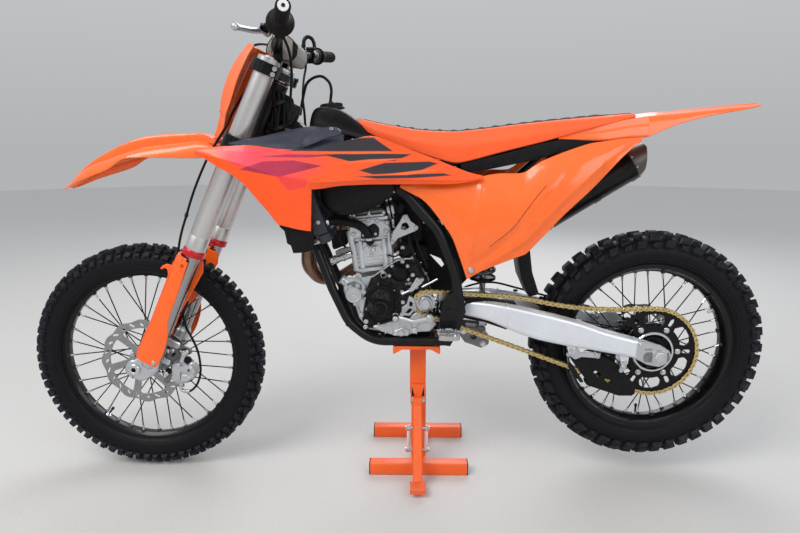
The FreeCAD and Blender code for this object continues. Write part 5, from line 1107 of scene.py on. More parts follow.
# seat: firm foam under a taut cover, an orange side cover and a dark ribbed top
SEATT = [  # x, top z, half width at the top, edge z, half width at the edge, bottom z
    (641, 1050, 36, 1043, 46, 1031), (660, 1047, 44, 1034, 56, 1016), (690, 1040, 53, 1020, 65, 1001), (725, 1033, 57, 1010, 72, 986), (760, 1027, 60, 1000, 77, 973), (800, 1021, 62, 991, 83, 960), (826, 1018, 64, 986, 87, 951),
    (870, 1016, 67, 981, 91, 938), (912, 1015, 70, 978, 93, 929), (960, 1019, 73, 981, 97, 938), (1000, 1023.5, 76, 986, 99, 949), (1060, 1031, 80, 996, 103, 965), (1130, 1039, 84, 1008, 105, 982), (1200, 1046, 85, 1019, 105, 1001),
    (1280, 1053.5, 83, 1031, 103, 1022), (1330, 1058, 78, 1041, 97, 1034), (1366, 1061, 70, 1049, 88, 1044), (1386, 1062.5, 60, 1053, 80, 1048), (1396, 1061, 50, 1054, 68, 1050), (1400, 1058, 40, 1053, 56, 1050)]
k = Kit("seat_upholstered")
side_rows, top_rows = {LEFT: [], RIGHT: []}, []
for x, top, ht, ze, he, zb in SEATT:
    for side in (LEFT, RIGHT):
        side_rows[side].append([W(x, side * (he - 5.5), zb), W(x, side * (he + 0.2), zb + 3.0), W(x, side * (he + 0.8), lerp(zb, ze, 0.55)), W(x, side * he, ze), W(x, side * lerp(he, ht, 0.5), lerp(ze, top, 0.56) + 2.0),
                                W(x, side * (ht + 1.0), top - 3.2), W(x, side * (ht - 6.0), top - 0.8)])
    top_rows.append([W(x, -(ht - 6.0), top - 0.8), W(x, -(ht - 9.5), top - 0.2), W(x, -ht * 0.6, top + 1.0), W(x, -ht * 0.3, top + 1.7), W(x, 0, top + 2.0), W(x, ht * 0.3, top + 1.7), W(x, ht * 0.6, top + 1.0),
                     W(x, ht - 9.5, top - 0.2), W(x, ht - 6.0, top - 0.8)])
M["vinyl"] = surface("orange_seat_vinyl", srgb(255, 92, 26), 0.5, var=0.04, var_scale=16, bump=0.35, bump_scale=1500, bump_dist=0.0003, sheen=0.15, fine=0.25, fine_scale=3200, dust=0.04)
M["seat_top"] = surface("seat_grip_vinyl", srgb(38, 33, 31), 0.62, var=0.12, var_scale=30, bump=0.5, bump_scale=1800, bump_dist=0.0003, sheen=0.15, dust=0.12)
M["thread"] = surface("stitch_thread", srgb(60, 50, 46), 0.7, var=0.1, bump=0.2)
for side in (LEFT, RIGHT):
    g = patch(side_rows[side], 4, 4, cv=(1,))
    k.grid(g, M["vinyl"])
    inner = [[p * 1.0 for p in (r[0], W(r[0][0] + 743.5, 0, r[0][2] + 4))] for r in side_rows[side]]
    k.grid(inner, M["black_plastic"])
g = patch(top_rows, 4, 4)
nu, nv = g.shape[:2]
k.grid(g, M["seat_top"])
# closed ends
for i in (0, -1):
    ring = list(patch(side_rows[LEFT], 1, 4, cv=(1,))[i]) + list(patch(top_rows, 1, 4)[i])[1:-1] + list(patch(side_rows[RIGHT], 1, 4, cv=(1,))[i])[::-1]
    k.add(ring, [list(range(len(ring)))], M["vinyl"])


def seat_top(x, y):
    r = table(SEATT, x)
    ht, top = r[1], r[0]
    t = min(abs(y) / ht, 1)
    return top + 2.0 - 3.0 * t * t


for j in range(15):
    x = 752 + j * 39.0
    ht = table(SEATT, x)[1] - 13
    line = [W(x + 5 * (abs(t) ** 2), t * ht, seat_top(x, t * ht) + 0.3) for t in np.linspace(-1, 1, 17)]
    k.pipe(line, [2.0 + 1.6 * min(1, 4 * (1 - abs(t))) for t in np.linspace(-1, 1, 17)], M["seat_top"], 8, flat=(1.5, 1.0))
    for dx in (11, 19.5, 28):
        line = [W(x + dx + 5 * (abs(t) ** 2), t * (ht + 1), seat_top(x + dx, t * (ht + 1)) + 0.1) for t in np.linspace(-1, 1, 15)]
        k.pipe(line, 1.15, M["seat_top"], 6)
for side in (LEFT, RIGHT):
    for off in (3.2, 6.2):
        x = 662.0
        while x < 1385:
            r0, r1 = table(SEATT, x), table(SEATT, x + 4.4)
            k.pipe([W(x, side * (r0[1] - 3.0 - off), r0[0] + 0.15), W(x + 2.2, side * (r0[1] - 3.0 - off), r0[0] + 0.75), W(x + 4.4, side * (r1[1] - 3.0 - off), r1[0] + 0.15)], 0.55, M["thread"], 6)
            x += 6.6
seat = k.finish(CHASSIS, ["seat"], smooth=40)

# tank: the rounded top between the spars, its filler and the lower lobes
TANKT = [(509, 1048, 30, 1026, 46, 1005), (516, 1066, 38, 1034, 52, 1003), (526, 1077, 43, 1040, 57, 1002), (545, 1081, 49, 1036, 62, 1001), (596, 1072, 57, 1022, 66, 1000), (640, 1044, 61, 1006, 70, 992),
         (672, 1014, 63, 996, 73, 976), (700, 988, 62, 982, 73, 962)]
k = Kit("fuel_tank_moulded")
rows = []
for x, top, ht, sh, hw, bot in TANKT:
    half = [(hw - 4, bot), (hw, bot + 5), (hw + 0.6, sh - 6), (hw - 3, sh + 6), (ht + 4, top - 7), (ht - 3, top - 1.6), (ht * 0.6, top + 0.8), (0, top + 1.6)]
    rows.append([W(x, -y, z) for y, z in half] + [W(x, y, z) for y, z in reversed(half[:-1])])
g = patch(rows, 4, 4)
k.grid(g, M["black_plastic"])
k.grid([[r[0], r[-1]] for r in g], M["black_plastic"])
for i in (0, -1):
    k.add(list(g[i]), [list(range(g.shape[1]))], M["black_plastic"])
cap, way = W(566, 0, 1078), un((-0.1, 0, 1))
k.turn(cap - way * 3, way, [(0, 37), (4, 37), (5, 35.5)], M["black_plastic"], 48)
k.turn(cap, way, [(0, 31), (9, 31), (13, 30), (14.5, 27.5), (15, 20), (14, 8)], M["black_plastic"], 60)
a, b = basis(way)
for j in range(24):
    t = 2 * math.pi * j / 24
    d = math.cos(t) * a + math.sin(t) * b
    k.block(cap + d * 31.0 + way * 6.5, (2.6, 3.6, 10), M["black_plastic"], (d, np.cross(way, d), way), 0.6)
k.block(cap + way * 15.5, (44, 9, 4), M["black_plastic"], (a, b, way), 1.4)
k.turn(cap + way * 14, way, [(0, 7), (4.5, 7), (6.5, 5.2)], M["black_alloy"], 20)
LOBE = [(546, 952, 834, 113, 128), (556, 957, 815, 112, 140), (575, 960, 800, 112, 146), (610, 960, 792, 113, 148), (650, 954, 796, 115, 148), (690, 942, 812, 120, 147), (722, 924, 832, 126, 145), (743, 906, 848, 131, 142)]
for side in (LEFT, RIGHT):
    rows = []
    for x, zt, zb, yi, yo in LOBE:
        zm = (zt + zb) / 2
        ring = [(yi, zt - 6), (yi + 4, zt), (lerp(yi, yo, 0.7), zt - 0.5), (yo - 1, zt - 10), (yo, zm + 10), (yo, zm - 12), (yo - 3, zb + 14), (lerp(yi, yo, 0.6), zb + 2), (yi + 4, zb), (yi, zb + 6), (yi - 0.5, zm)]
        rows.append([W(x, side * y, z) for y, z in ring])
    g = np.array([crom(r, 3, closed=True) for r in rows])
    g = np.array([crom(g[:, j], 4) for j in range(g.shape[1])]).transpose(1, 0, 2)
    k.grid(g, M["black_plastic"], wrap_v=True, cap=True)
k.finish(CHASSIS, ["fuel_tank"], smooth=36)

# cowls between the shrouds and the tank, with their struts; the air deflectors under the shrouds' noses
COWLT = [  # x, top z, |y| top, mid z, |y| mid, foot z, |y| foot
    (322, 984.5, 179, 982.5, 181, 980, 183), (340, 988, 172, 985, 177, 977, 181), (366, 994, 162, 988, 170, 974, 179), (397, 1000, 150, 991, 162, 971, 176), (434, 1009, 134, 996, 150, 968, 172), (470, 1018, 118, 1002, 138, 966, 168),
    (500, 1024.5, 102, 1006, 128, 964, 163), (521, 1027, 93, 1008, 122, 964, 159), (548, 1026, 86, 1009, 114, 968, 154), (575, 1022, 81, 1008, 108, 974, 148), (610, 1012, 80, 1002, 104, 985, 137)]
k = Kit("tank_cowls_moulded")
for side in (LEFT, RIGHT):
    rows = [[W(x, side * yt, zt), W(x, side * (lerp(yt, ym, 0.5) + 1.5), lerp(zt, zm, 0.5) + 1), W(x, side * ym, zm), W(x, side * (lerp(ym, yb, 0.6) + 1.5), lerp(zm, zb, 0.55)), W(x, side * yb, zb)]
            for x, zt, yt, zm, ym, zb, yb in COWLT]
    g = patch(rows, 4, 4)
    shell(k, g, 3.4, M["cowl"], (0, side, 1))
    # the strut: a folded blade, pointed in front, with its bolt by the tank
    top = [(500, 972, 167), (516, 996, 155), (536, 1012, 142), (556, 1021, 131), (576, 1025, 124), (592, 1024, 119), (604, 1017, 117)]
    low = [(500, 969, 168), (520, 976, 163), (544, 986, 156), (564, 995, 148), (584, 1001, 140), (600, 1004, 132), (608, 1007, 124)]
    rows = [[W(a[0], side * (a[2] + 2), a[1]), W(lerp(a[0], b[0], 0.5), side * (lerp(a[2], b[2], 0.5) + 5), lerp(a[1], b[1], 0.5) + 1.5), W(b[0], side * (b[2] + 1), b[1])] for a, b in zip(top, low)]
    g = patch(rows, 4, 4, cv=(1,))
    shell(k, g, 3.6, M["cowl"], (0, side, 1))
    line = crom([W(598, side * 123, 1013), W(630, side * 120, 1006), W(664, side * 118, 996)], 5)
    k.sweep(line, rounded([(-6, -2), (6, -2), (6, 2), (-6, 2)], 2, 2), M["black_gloss"], hint=(0, side * 0.75, 0.66))
    p = W(580, side * 128.5, 1018)
    k.bolt(p, (0, side * 0.7, 0.7), 5.2, M["zinc"], 3.2, kind="torx")
    DEFL = [(440, 817, 797, 191), (447, 812, 768, 190), (458, 803, 757, 188), (464, 797, 724, 186), (473, 792, 718, 184), (479, 790, 697, 182.5), (508, 790, 697, 171), (530, 790, 702, 158)]
    rows = [[W(x, side * y, lerp(zt, zb, t)) + np.array((0, side * 3.2 * math.sin(math.pi * t), 0)) for t in (0, 0.3, 0.7, 1)] for x, zt, zb, y in DEFL]
    g = patch(rows, 4, 3, cu=(1, 2, 3, 4, 5, 6))
    shell(k, g, 3.4, M["black_plastic"], (-0.3, side, 0))
    for zz in (0.25, 0.5, 0.75):  # louvre edges behind the deflector
        line = [W(x + 6, side * (y - 9), lerp(zt, zb, zz)) for x, zt, zb, y in DEFL[3:]]
        k.sweep(line, [(-1, -6), (1, -6), (1, 6), (-1, 6)], M["black_plastic"])
k.finish(CHASSIS, ["tank_cowls"], smooth=34)


def dress(node, mat, bevel=0.0, smooth=34, more=None):
    """A CAD node whose shape is right stays, with a finish of its own."""
    ob = NODES[node]
    ob.data.materials.clear()
    ob.data.materials.append(M[mat])
    for p in ob.data.polygons:
        p.use_smooth = True
        p.material_index = 0
    ob.data.set_sharp_from_angle(angle=math.radians(smooth))
    if bevel:
        weld = ob.modifiers.new("weld", "WELD")
        weld.merge_threshold = 0.00002
        mod = ob.modifiers.new("edge", "BEVEL")
        mod.width, mod.segments, mod.limit_method, mod.angle_limit = bevel * 0.001, 2, "ANGLE", math.radians(smooth)
    return ob

# ------------------------------------------------------------------ fork, bars and controls
SXD, SZD = S(1, 0, 0) - S(0, 0, 0), S(0, 0, 1) - S(0, 0, 0)
SROT = (SXD, AX, SZD)
AXS = (-52.6, -706.2)  # the front axle in the steering frame


def steer_at(a, b, t):
    """Outline in (x, z) of the steering frame, raised across the bike."""
    return S(a, t, b)


def clamp_at(a, b, t):
    """Outline in (x, y) of the steering frame, raised along the axis."""
    return S(a, b, t)


def ring(cx, cy, r, n=32):
    return arc(cx, cy, r, 0, 360, n + 1)[:-1]


M["white_plastic"] = surface("white_plug", srgb(225, 225, 222), 0.4, var=0.04, bump=0.1, dust=0.08)
M["pad_black"] = surface("black_strap", srgb(22, 22, 23), 0.75, var=0.1, var_scale=60, bump=0.5, bump_scale=1800, sheen=0.1)
M["red_plastic"] = surface("red_button", srgb(190, 20, 26), 0.4, var=0.05, bump=0.1)

k = Kit("fork_outer_tubes_turned")
for side in (LEFT, RIGHT):
    b = S(-22, side * 105, -332)
    k.turn(b, SZD, [(20.2, 26), (20.2, 28.2), (21, 28.7), (60, 28.7), (60.8, 28.3), (62.2, 28.3), (63, 28.7), (562, 28.7), (562, 26)], M["fork"], 72)
    k.turn(b, SZD, [(0, 25), (0.6, 30.4), (1.8, 31.4), (6.5, 31.5), (7.2, 30.8), (8.6, 30.8), (9.3, 31.5), (17.5, 31.4), (19.6, 30.2), (20, 28.9)], M["red"], 72)
    c = S(-22, side * 105, 231.3)
    k.turn(c, SZD, [(0, 29.6), (1.0, 30.6), (10.5, 30.6), (12.4, 29.2), (12.8, 23), (14, 22.4)], M["alloy"], 72)
    k.bolt(c + SZD * 13.6, SZD, 11.5, M["alloy"], 5, washer=False)
    k.cyl(c + SZD * 18.4, c + SZD * 22.6, 6.0, M["orange_metal"], 20)
    k.cyl(c + SZD * 12.6 + SXD * 17, c + SZD * 16.0 + SXD * 17, 2.4, M["steel"], 10)
k.finish(STEERING, ["fork_outer_tubes"], smooth=30)

k = Kit("fork_sliders_forged")
for side in (LEFT, RIGHT):
    y = side * 105
    k.cyl(S(-22, y, -655), S(-22, y, -330), 24.0, M["slider"], 56, bevel=0.5)
    k.turn(S(-22, y, -690), SZD, [(0, 18), (3, 24.5), (8, 28), (14, 29), (54, 29), (57, 28.7), (61, 26.8), (64, 25.4), (68, 24.8), (70, 24.1)], M["alloy"], 56)
    cx, cz = AXS
    out = arc(cx, cz, 27.5, 112, 285, 18) + [(-27, -734.5), (-13, -724), (3, -702), (8, -685), (6.5, -660), (2, -654), (-40, -654), (-51, -663)]
    k.plate(out, y - 22.5, y + 22.5, M["alloy"], [ring(cx, cz, 11.3)], 3.6, at=steer_at)
    # a thin black block marks the axle clamp's slit: painted shade for the gap
    k.block(S(cx + 4, y, cz - 21), (1.8, 45.6, 14), M["black_alloy"], SROT, 0.2)
    for d in (-11, 11):
        k.bolt(S(-30, y + d, -734), -SZD, 5.0, M["zinc"], 3.6, kind="torx", washer=False)
        k.bolt(S(cx - 17, y + d, -727.5), un(-SXD - SZD * 0.6), 4.6, M["zinc"], 3.2, kind="torx", washer=False)
    # small boss and drain screw on the outer face
    k.cyl(S(-8, y + side * 20, -690), S(-8, y + side * 24.2, -690), 7.5, M["alloy"], 24, bevel=1.2)
    k.bolt(S(-8, y + side * 24.2, -690), AX * side, 4.2, M["zinc"], 2.4, kind="torx", washer=False)
    if side == LEFT:  # lugs for the caliper's bracket
        for zz in (-668, -610):
            k.plate(rounded([(-10, zz - 9), (30 if zz > -640 else 24, zz - 8), (34 if zz > -640 else 28, zz), (30 if zz > -640 else 24, zz + 9), (-10, zz + 11)], 4, 2), -86, -74, M["alloy"], (), 1.6, at=steer_at)
k.finish(STEERING, ["fork_sliders"], smooth=32)

k = Kit("fork_guards_moulded")
EXT = [(-668, 25), (-662, 27), (-640, 30), (-620, 31.5), (-596, 30), (-572, 27), (-556, 22), (-540, 15), (-522, 10), (-500, 8.5), (-460, 8.2), (-400, 6), (-346, 3)]
for side in (LEFT, RIGHT):
    rows = []
    for z in (-667.5, -664, -656, -640, -618, -596, -576, -560, -545, -530, -512, -490, -455, -420, -385, -356, -350, -346.5):
        ext = float(np.interp(z, [e[0] for e in EXT], [e[1] for e in EXT]))
        tuck = 1.0 if -664 < z < -352 else 0.985
        wide = float(np.interp(z, [-667, -560, -500, -346], [0.0, 0.0, 0.35, 1.0]))
        foot = float(np.interp(z, [-667, -600, -540], [6.0, 5.0, 0.0]))
        pts = [((41 + (foot if math.cos(a) < 0 else 0)) * math.cos(a) * tuck, 37 * math.sin(a) * tuck) for a in np.radians(np.linspace(250 - 18 * wide, 100, 14))]
        pts += [(lerp(-7.1, ext, t), 36.6 + (0.6 if z < -500 else 0)) for t in (0.3, 0.6, 0.88, 1.0)]
        rows.append([S(-22 + a, side * (105 + b), z) for a, b in pts])
    g = patch(rows, 2, 2)
    shell(k, g, 3.4, M["guard"], AX * side - SXD * 0.5)
    k.bolt(S(-6, side * 142.2, -657), AX * side, 4.6, M["zinc"], 2.6, kind="torx")
    k.bolt(S(-60, side * 112, -655), -SXD, 4.2, M["zinc"], 2.6, kind="torx")
    k.bolt(S(-30, side * 141.8, -360), AX * side, 3.6, M["orange_metal"], 2.0, kind="torx")
    # stiffening rib along the front
    k.sweep([S(-63.2, side * 108, z) for z in np.linspace(-640, -370, 12)], rounded([(-4, -1.2), (4, -1.2), (3, 1.4), (-3, 1.4)], 1, 2), M["guard"], hint=tuple(-SXD))
    # the wall on the inner side of the leg
    wall = rounded([(-30, -346), (-18, -346), (4, -346.5), (14, -376), (10, -414), (3.5, -460), (-3, -512), (-10, -524), (-20, -530), (-31, -530)], [2, 3, 5, 10, 16, 20, 10, 8, 8, 4], 3)
    k.plate(wall, side * 70 - 2, side * 70 + 2, M["guard"], (), 1.6, at=steer_at)
    # a small hook at the front holds the hose of the other leg
    hook = rounded([(-58, -372), (-66, -382), (-80, -384), (-89, -394), (-92, -405), (-86, -404), (-80, -396), (-72, -399), (-66, -410), (-58, -418)], [2, 4, 5, 4, 1, 1, 4, 5, 4, 2], 3)
    k.plate(hook, side * 106 - 3, side * 106 + 3, M["guard"], (), 1.4, at=steer_at)
    k.rev([(35.4, -10), (37.8, -10), (38.2, 6), (37.6, 9.6), (35.8, 9.6)], S(-22, side * 105, -347), SZD, M["guard"], 30, closed=True, a0=112, a1=248, ref=SXD)
    # clip round the scraper ring
    k.rev([(32.2, -6), (35.6, -6), (36.4, -4), (36.4, 6), (35.4, 8), (32.2, 8)], S(-22, side * 105, -346), SZD, M["guard"], 30, closed=True, a0=95, a1=265, ref=SXD)
k.finish(STEERING, ["fork_guards"], smooth=34)

# clamps
for name, node, z0, z1 in (("lower_triple_clamp_milled", "lower_triple_clamp", -23, 23), ("upper_triple_clamp_milled", "upper_triple_clamp", 201, 231)):
    k = Kit(name)
    for side in (LEFT, RIGHT):
        c = S(-22, side * 105, z0)
        h = z1 - z0
        k.rev([(28.9, 0.8), (29.6, 0), (36.6, 0), (38.4, 1.8), (38.4, h - 1.8), (36.6, h), (29.6, h), (28.9, h - 0.8)], c, SZD, M["black_alloy"], 64, closed=True, ref=SXD)
        k.block(S(-4, side * 136, (z0 + z1) / 2), (40, 24, h), M["black_alloy"], SROT, 3.0)
        k.block(S(17.6, side * 138, (z0 + z1) / 2), (1.6, 19, h + 0.2), M["black_plastic"], SROT, 0.2)
        for zz in ((z0 + 7.5, z1 - 7.5) if z0 > 0 else (-12, 12)):
            k.cyl(S(11, side * 146, zz), S(11, side * 148.6, zz), 8.6, M["black_alloy"], 24, bevel=0.8)
            k.bolt(S(11, side * 148.2, zz), AX * side, 6.4, M["zinc"], 4.2, kind="torx", washer=False)
    web = rounded([(-54, -84), (-32, -42), (-32, 42), (-54, 84), (10, 88), (30, 26), (30, -26), (10, -88)], 12, 4)
    holes = [rounded([(-8, -66), (-14, -42), (6, -38), (6, -62)], 5, 3), rounded([(-8, 66), (-14, 42), (6, 38), (6, 62)], 5, 3)]
    if z0 > 0:
        holes.append(ring(0, 0, 15.3))
    k.plate(web, z0 + 3, z1 - 3, M["black_alloy"], holes, 2.4, at=clamp_at)
    if z0 < 0:
        k.cyl(S(0, 0, -23), S(0, 0, 231), 15, M["steel"], 32)
        k.turn(S(0, 0, 26), SZD, [(0, 27), (3, 28.5), (3.4, 24)], M["black_plastic"], 40)
        k.cyl(S(0, 0, -30), S(0, 0, -22), 20, M["steel"], 32)
        k.bolt(S(0, 0, 231.3), SZD, 17.2, M["alloy"], 9.5, washer=False)
        k.turn(S(0, 0, 196), SZD, [(0, 25), (1, 26), (4, 26), (4.6, 22)], M["black_alloy"], 24)
    else:
        for side in (LEFT, RIGHT):
            y = side * 45
            k.block(S(-22, y, 246), (40, 26, 38), M["black_alloy"], SROT, 3.0)
            k.block(S(-22, y, 281), (43, 27.6, 20), M["black_alloy"], SROT, 5.0)
            for dx in (-15.5, 15.5):
                for dy in (-7.5, 7.5):
                    k.cyl(S(-22 + dx, y + dy, 268), S(-22 + dx, y + dy, 274), 3.0, M["zinc"], 10)
                    k.bolt(S(-22 + dx, y + dy, 290.5), SZD, 3.6, M["zinc"], 2.6, kind="torx", washer=False)
    k.finish(STEERING, [node], smooth=30)

BAR = [(430, 0, 1225), (430, 62, 1225), (437, 120, 1232), (472, 225, 1252), (487, 290, 1257), (517, 405, 1269)]


def bar_at(y):
    """The handlebar's middle line at |y|."""
    for (x0, y0, z0), (x1, y1, z1) in zip(BAR, BAR[1:]):
        if y <= y1:
            t = (y - y0) / (y1 - y0)
            return np.array((x0 + t * (x1 - x0), y, z0 + t * (z1 - z0)))


def bar_point(y, side):
    p = bar_at(abs(y))
    return W(p[0], side * p[1], p[2])


ys = [0, 30, 58, 66, 74, 84, 98, 112, 124, 140, 165, 190, 214, 226, 238, 255, 275, 300, 330, 360, 390, 404]
line = []
for y in ys:
    p = bar_at(y)
    if 40 < y < 400:
        q0, q1 = bar_at(y - 12), bar_at(min(y + 12, 404.9))
        p = np.array(((p[0] * 2 + q0[0] + q1[0]) / 4, p[1], (p[2] * 2 + q0[2] + q1[2]) / 4))
    line.append(p)
pts = [W(p[0], -p[1], p[2]) for p in line[::-1]] + [W(*p) for p in line[1:]]
rad = [float(np.interp(abs(y), [0, 66, 120, 405], [14.3, 14.3, 11.1, 11.1])) for y in ys[::-1] + ys[1:]]
k = Kit("handlebar_bent")
k.pipe(pts, rad, M["black_alloy"], 28)
for y in (-34, -26, 26, 34):  # knurled bands and fine marks by the clamps
    k.rev([(14.35, -1), (14.6, -0.6), (14.6, 0.6), (14.35, 1)], W(430, y, 1225), AX, M["alloy"], 40)
k.finish(STEERING, ["handlebar"], smooth=40)

PADO = rounded([(404, 1214), (409, 1238), (422, 1256), (438, 1267), (458, 1266), (478, 1250), (489, 1233), (486, 1212), (474, 1194), (450, 1198), (424, 1208)], 9, 3)
k = Kit("bar_pad_sewn")
rows = []
for y, d in ((-88, 9), (-87.6, 5), (-86, 2.2), (-83, 0.6), (-78, 0), (-50, -0.6), (0, -1.0), (50, -0.6), (78, 0), (83, 0.6), (86, 2.2), (87.6, 5), (88, 9)):
    rows.append([W(a, y, b) for a, b in inset(PADO, d)])
k.grid(rows, M["pad"], wrap_v=True, cap=True)
for s in (-1, 1):  # piping along the edges, the strap across the end
    k.pipe([W(a, s * 85.2, b) for a, b in inset(PADO, 0.8)] + [W(*((inset(PADO, 0.8)[0][0], s * 85.2, inset(PADO, 0.8)[0][1])))], 1.3, M["pad_black"], 8)
    k.plate(rounded([(425, 1205.5), (424, 1259), (438, 1268), (452, 1267.6), (450, 1196)], 3, 2), s * 84, s * 89.2, M["pad_black"], (), 0.8)
    k.plate(rounded([(474, 1193), (478, 1251), (491, 1234), (488, 1211)], 3, 2), s * 84, s * 88.9, M["pad_black"], (), 0.8)
    for j in range(9):  # stitches
        k.pipe([W(420.6 + 0.2 * j, s * 88.1, 1216 + j * 4.6), W(420.8 + 0.2 * j, s * 88.4, 1218.6 + j * 4.6)], 0.5, M["pad_black"], 6)
        k.pipe([W(456, s * 88.1, 1204 + j * 6.2), W(456.3, s * 88.4, 1207.4 + j * 6.2)], 0.5, M["pad_black"], 6)
for a, b, d in (((424, 1259.5), (438, 1268.6), 0), ((438, 1268.6), (453, 1267.8), 0)):
    k.sweep([W((a[0] + b[0]) / 2, y, (a[1] + b[1]) / 2 + 0.6) for y in np.linspace(-86, 86, 9)], [(-math.hypot(b[0] - a[0], b[1] - a[1]) / 2, -0.9), (math.hypot(b[0] - a[0], b[1] - a[1]) / 2, -0.9),
            (math.hypot(b[0] - a[0], b[1] - a[1]) / 2, 0.9), (-math.hypot(b[0] - a[0], b[1] - a[1]) / 2, 0.9)], M["pad_black"], hint=tuple(un((-(b[1] - a[1]), 0, b[0] - a[0]))))
pad = k.finish(STEERING, ["bar_pad"], smooth=42)

k = Kit("grips_ribbed")
for side in (LEFT, RIGHT):
    a, b = W(487, side * 290, 1257), W(517, side * 405, 1269)
    way, long = un(b - a), np.linalg.norm(b - a)
    if side == LEFT:
        prof = [(-6, 12), (-6, 30.5), (-5, 32.6), (-2, 33.4), (1, 32.8), (5, 30.6), (10, 27.4), (17, 23.8), (26, 20.4), (36, 18.2), (42, 17.2)]
    else:
        prof = [(-6, 12), (-6, 25.5), (-5, 26.8), (-1, 26.9), (1, 25.6), (4, 22), (8, 19.6), (14, 18.2), (42, 17.2)]
    t = 44.0
    while t < 112:
        prof += [(t, 17.3), (t + 0.5, 16.1), (t + 1.9, 16.1), (t + 2.4, 17.3)]
        t += 4.4
    prof += [(114, 17.3), (118.6, 17.2), (120.4, 16.2), (121.2, 12.6)]
    k.turn(a, way, prof, M["grip"], 40)
    for j in range(12):  # waffle lines along the grip
        t2 = 2 * math.pi * j / 12
        e1, e2 = basis(way)
        d = math.cos(t2) * e1 + math.sin(t2) * e2
        k.sweep([a + way * 44 + d * 16.9, a + way * 112 + d * 16.9], [(-1.2, -0.8), (1.2, -0.8), (0.9, 0.7), (-0.9, 0.7)], M["grip"], hint=tuple(d))
    e = a + way * 121.2
    k.turn(e - way * 0.4, way, [(0, 12.4), (1.8, 12.4), (2.6, 11.6)], M["white_plastic"], 32)
    k.turn(e + way * 2.0, way, [(0, 4.4), (0.9, 4.4), (1.2, 3.8)], M["black_plastic"], 20)
    if side == LEFT:
        k.turn(a - way * 9, way, [(0, 14.8), (0.6, 15.4), (3.6, 15.4), (4.4, 14.6)], M["grip"], 32)
    else:  # throttle housing: drum, cover joint, elbow and screws
        c = bar_point(258, RIGHT)
        k.turn(c, way, [(0, 12), (0, 18.6), (1.4, 20.4), (7, 21), (8, 20.3), (9.4, 20.3), (10.4, 21.2), (19, 21.2), (21, 20.2), (22.5, 16)], M["black_plastic"], 44)
        k.turn(c, way, [(-3.4, 16), (-3.4, 17.5), (-2.8, 18.2), (-0.6, 18.2), (0, 17.5)], M["alloy"], 44)
        k.block(c + way * 11 + np.array((-4, 0, 17)), (26, 19, 18), M["black_plastic"], None, 5)
        k.pipe(crom([W(483, 268, 1262), W(481, 268, 1294), W(474, 266, 1308), W(462, 262.5, 1312.5), W(452, 259.5, 1304), W(449, 258, 1283)], 5), 6.0, M["black_alloy"], 18)
        k.turn(W(449, 258, 1290), W(448.9, 257.9, 1280) - W(449, 258, 1290), [(0, 6), (1, 7.0), (8, 7.0), (10, 5.0), (18, 4.6)], M["black_plastic"], 20)
        for d in ((-8, -14), (10, 12)):
            k.bolt(c + way * 22 + np.array((d[0], 0, d[1])) * 0.9, way, 3.0, M["zinc"], 2.0, kind="torx", washer=False)
k.finish(STEERING, ["grips"], smooth=32)

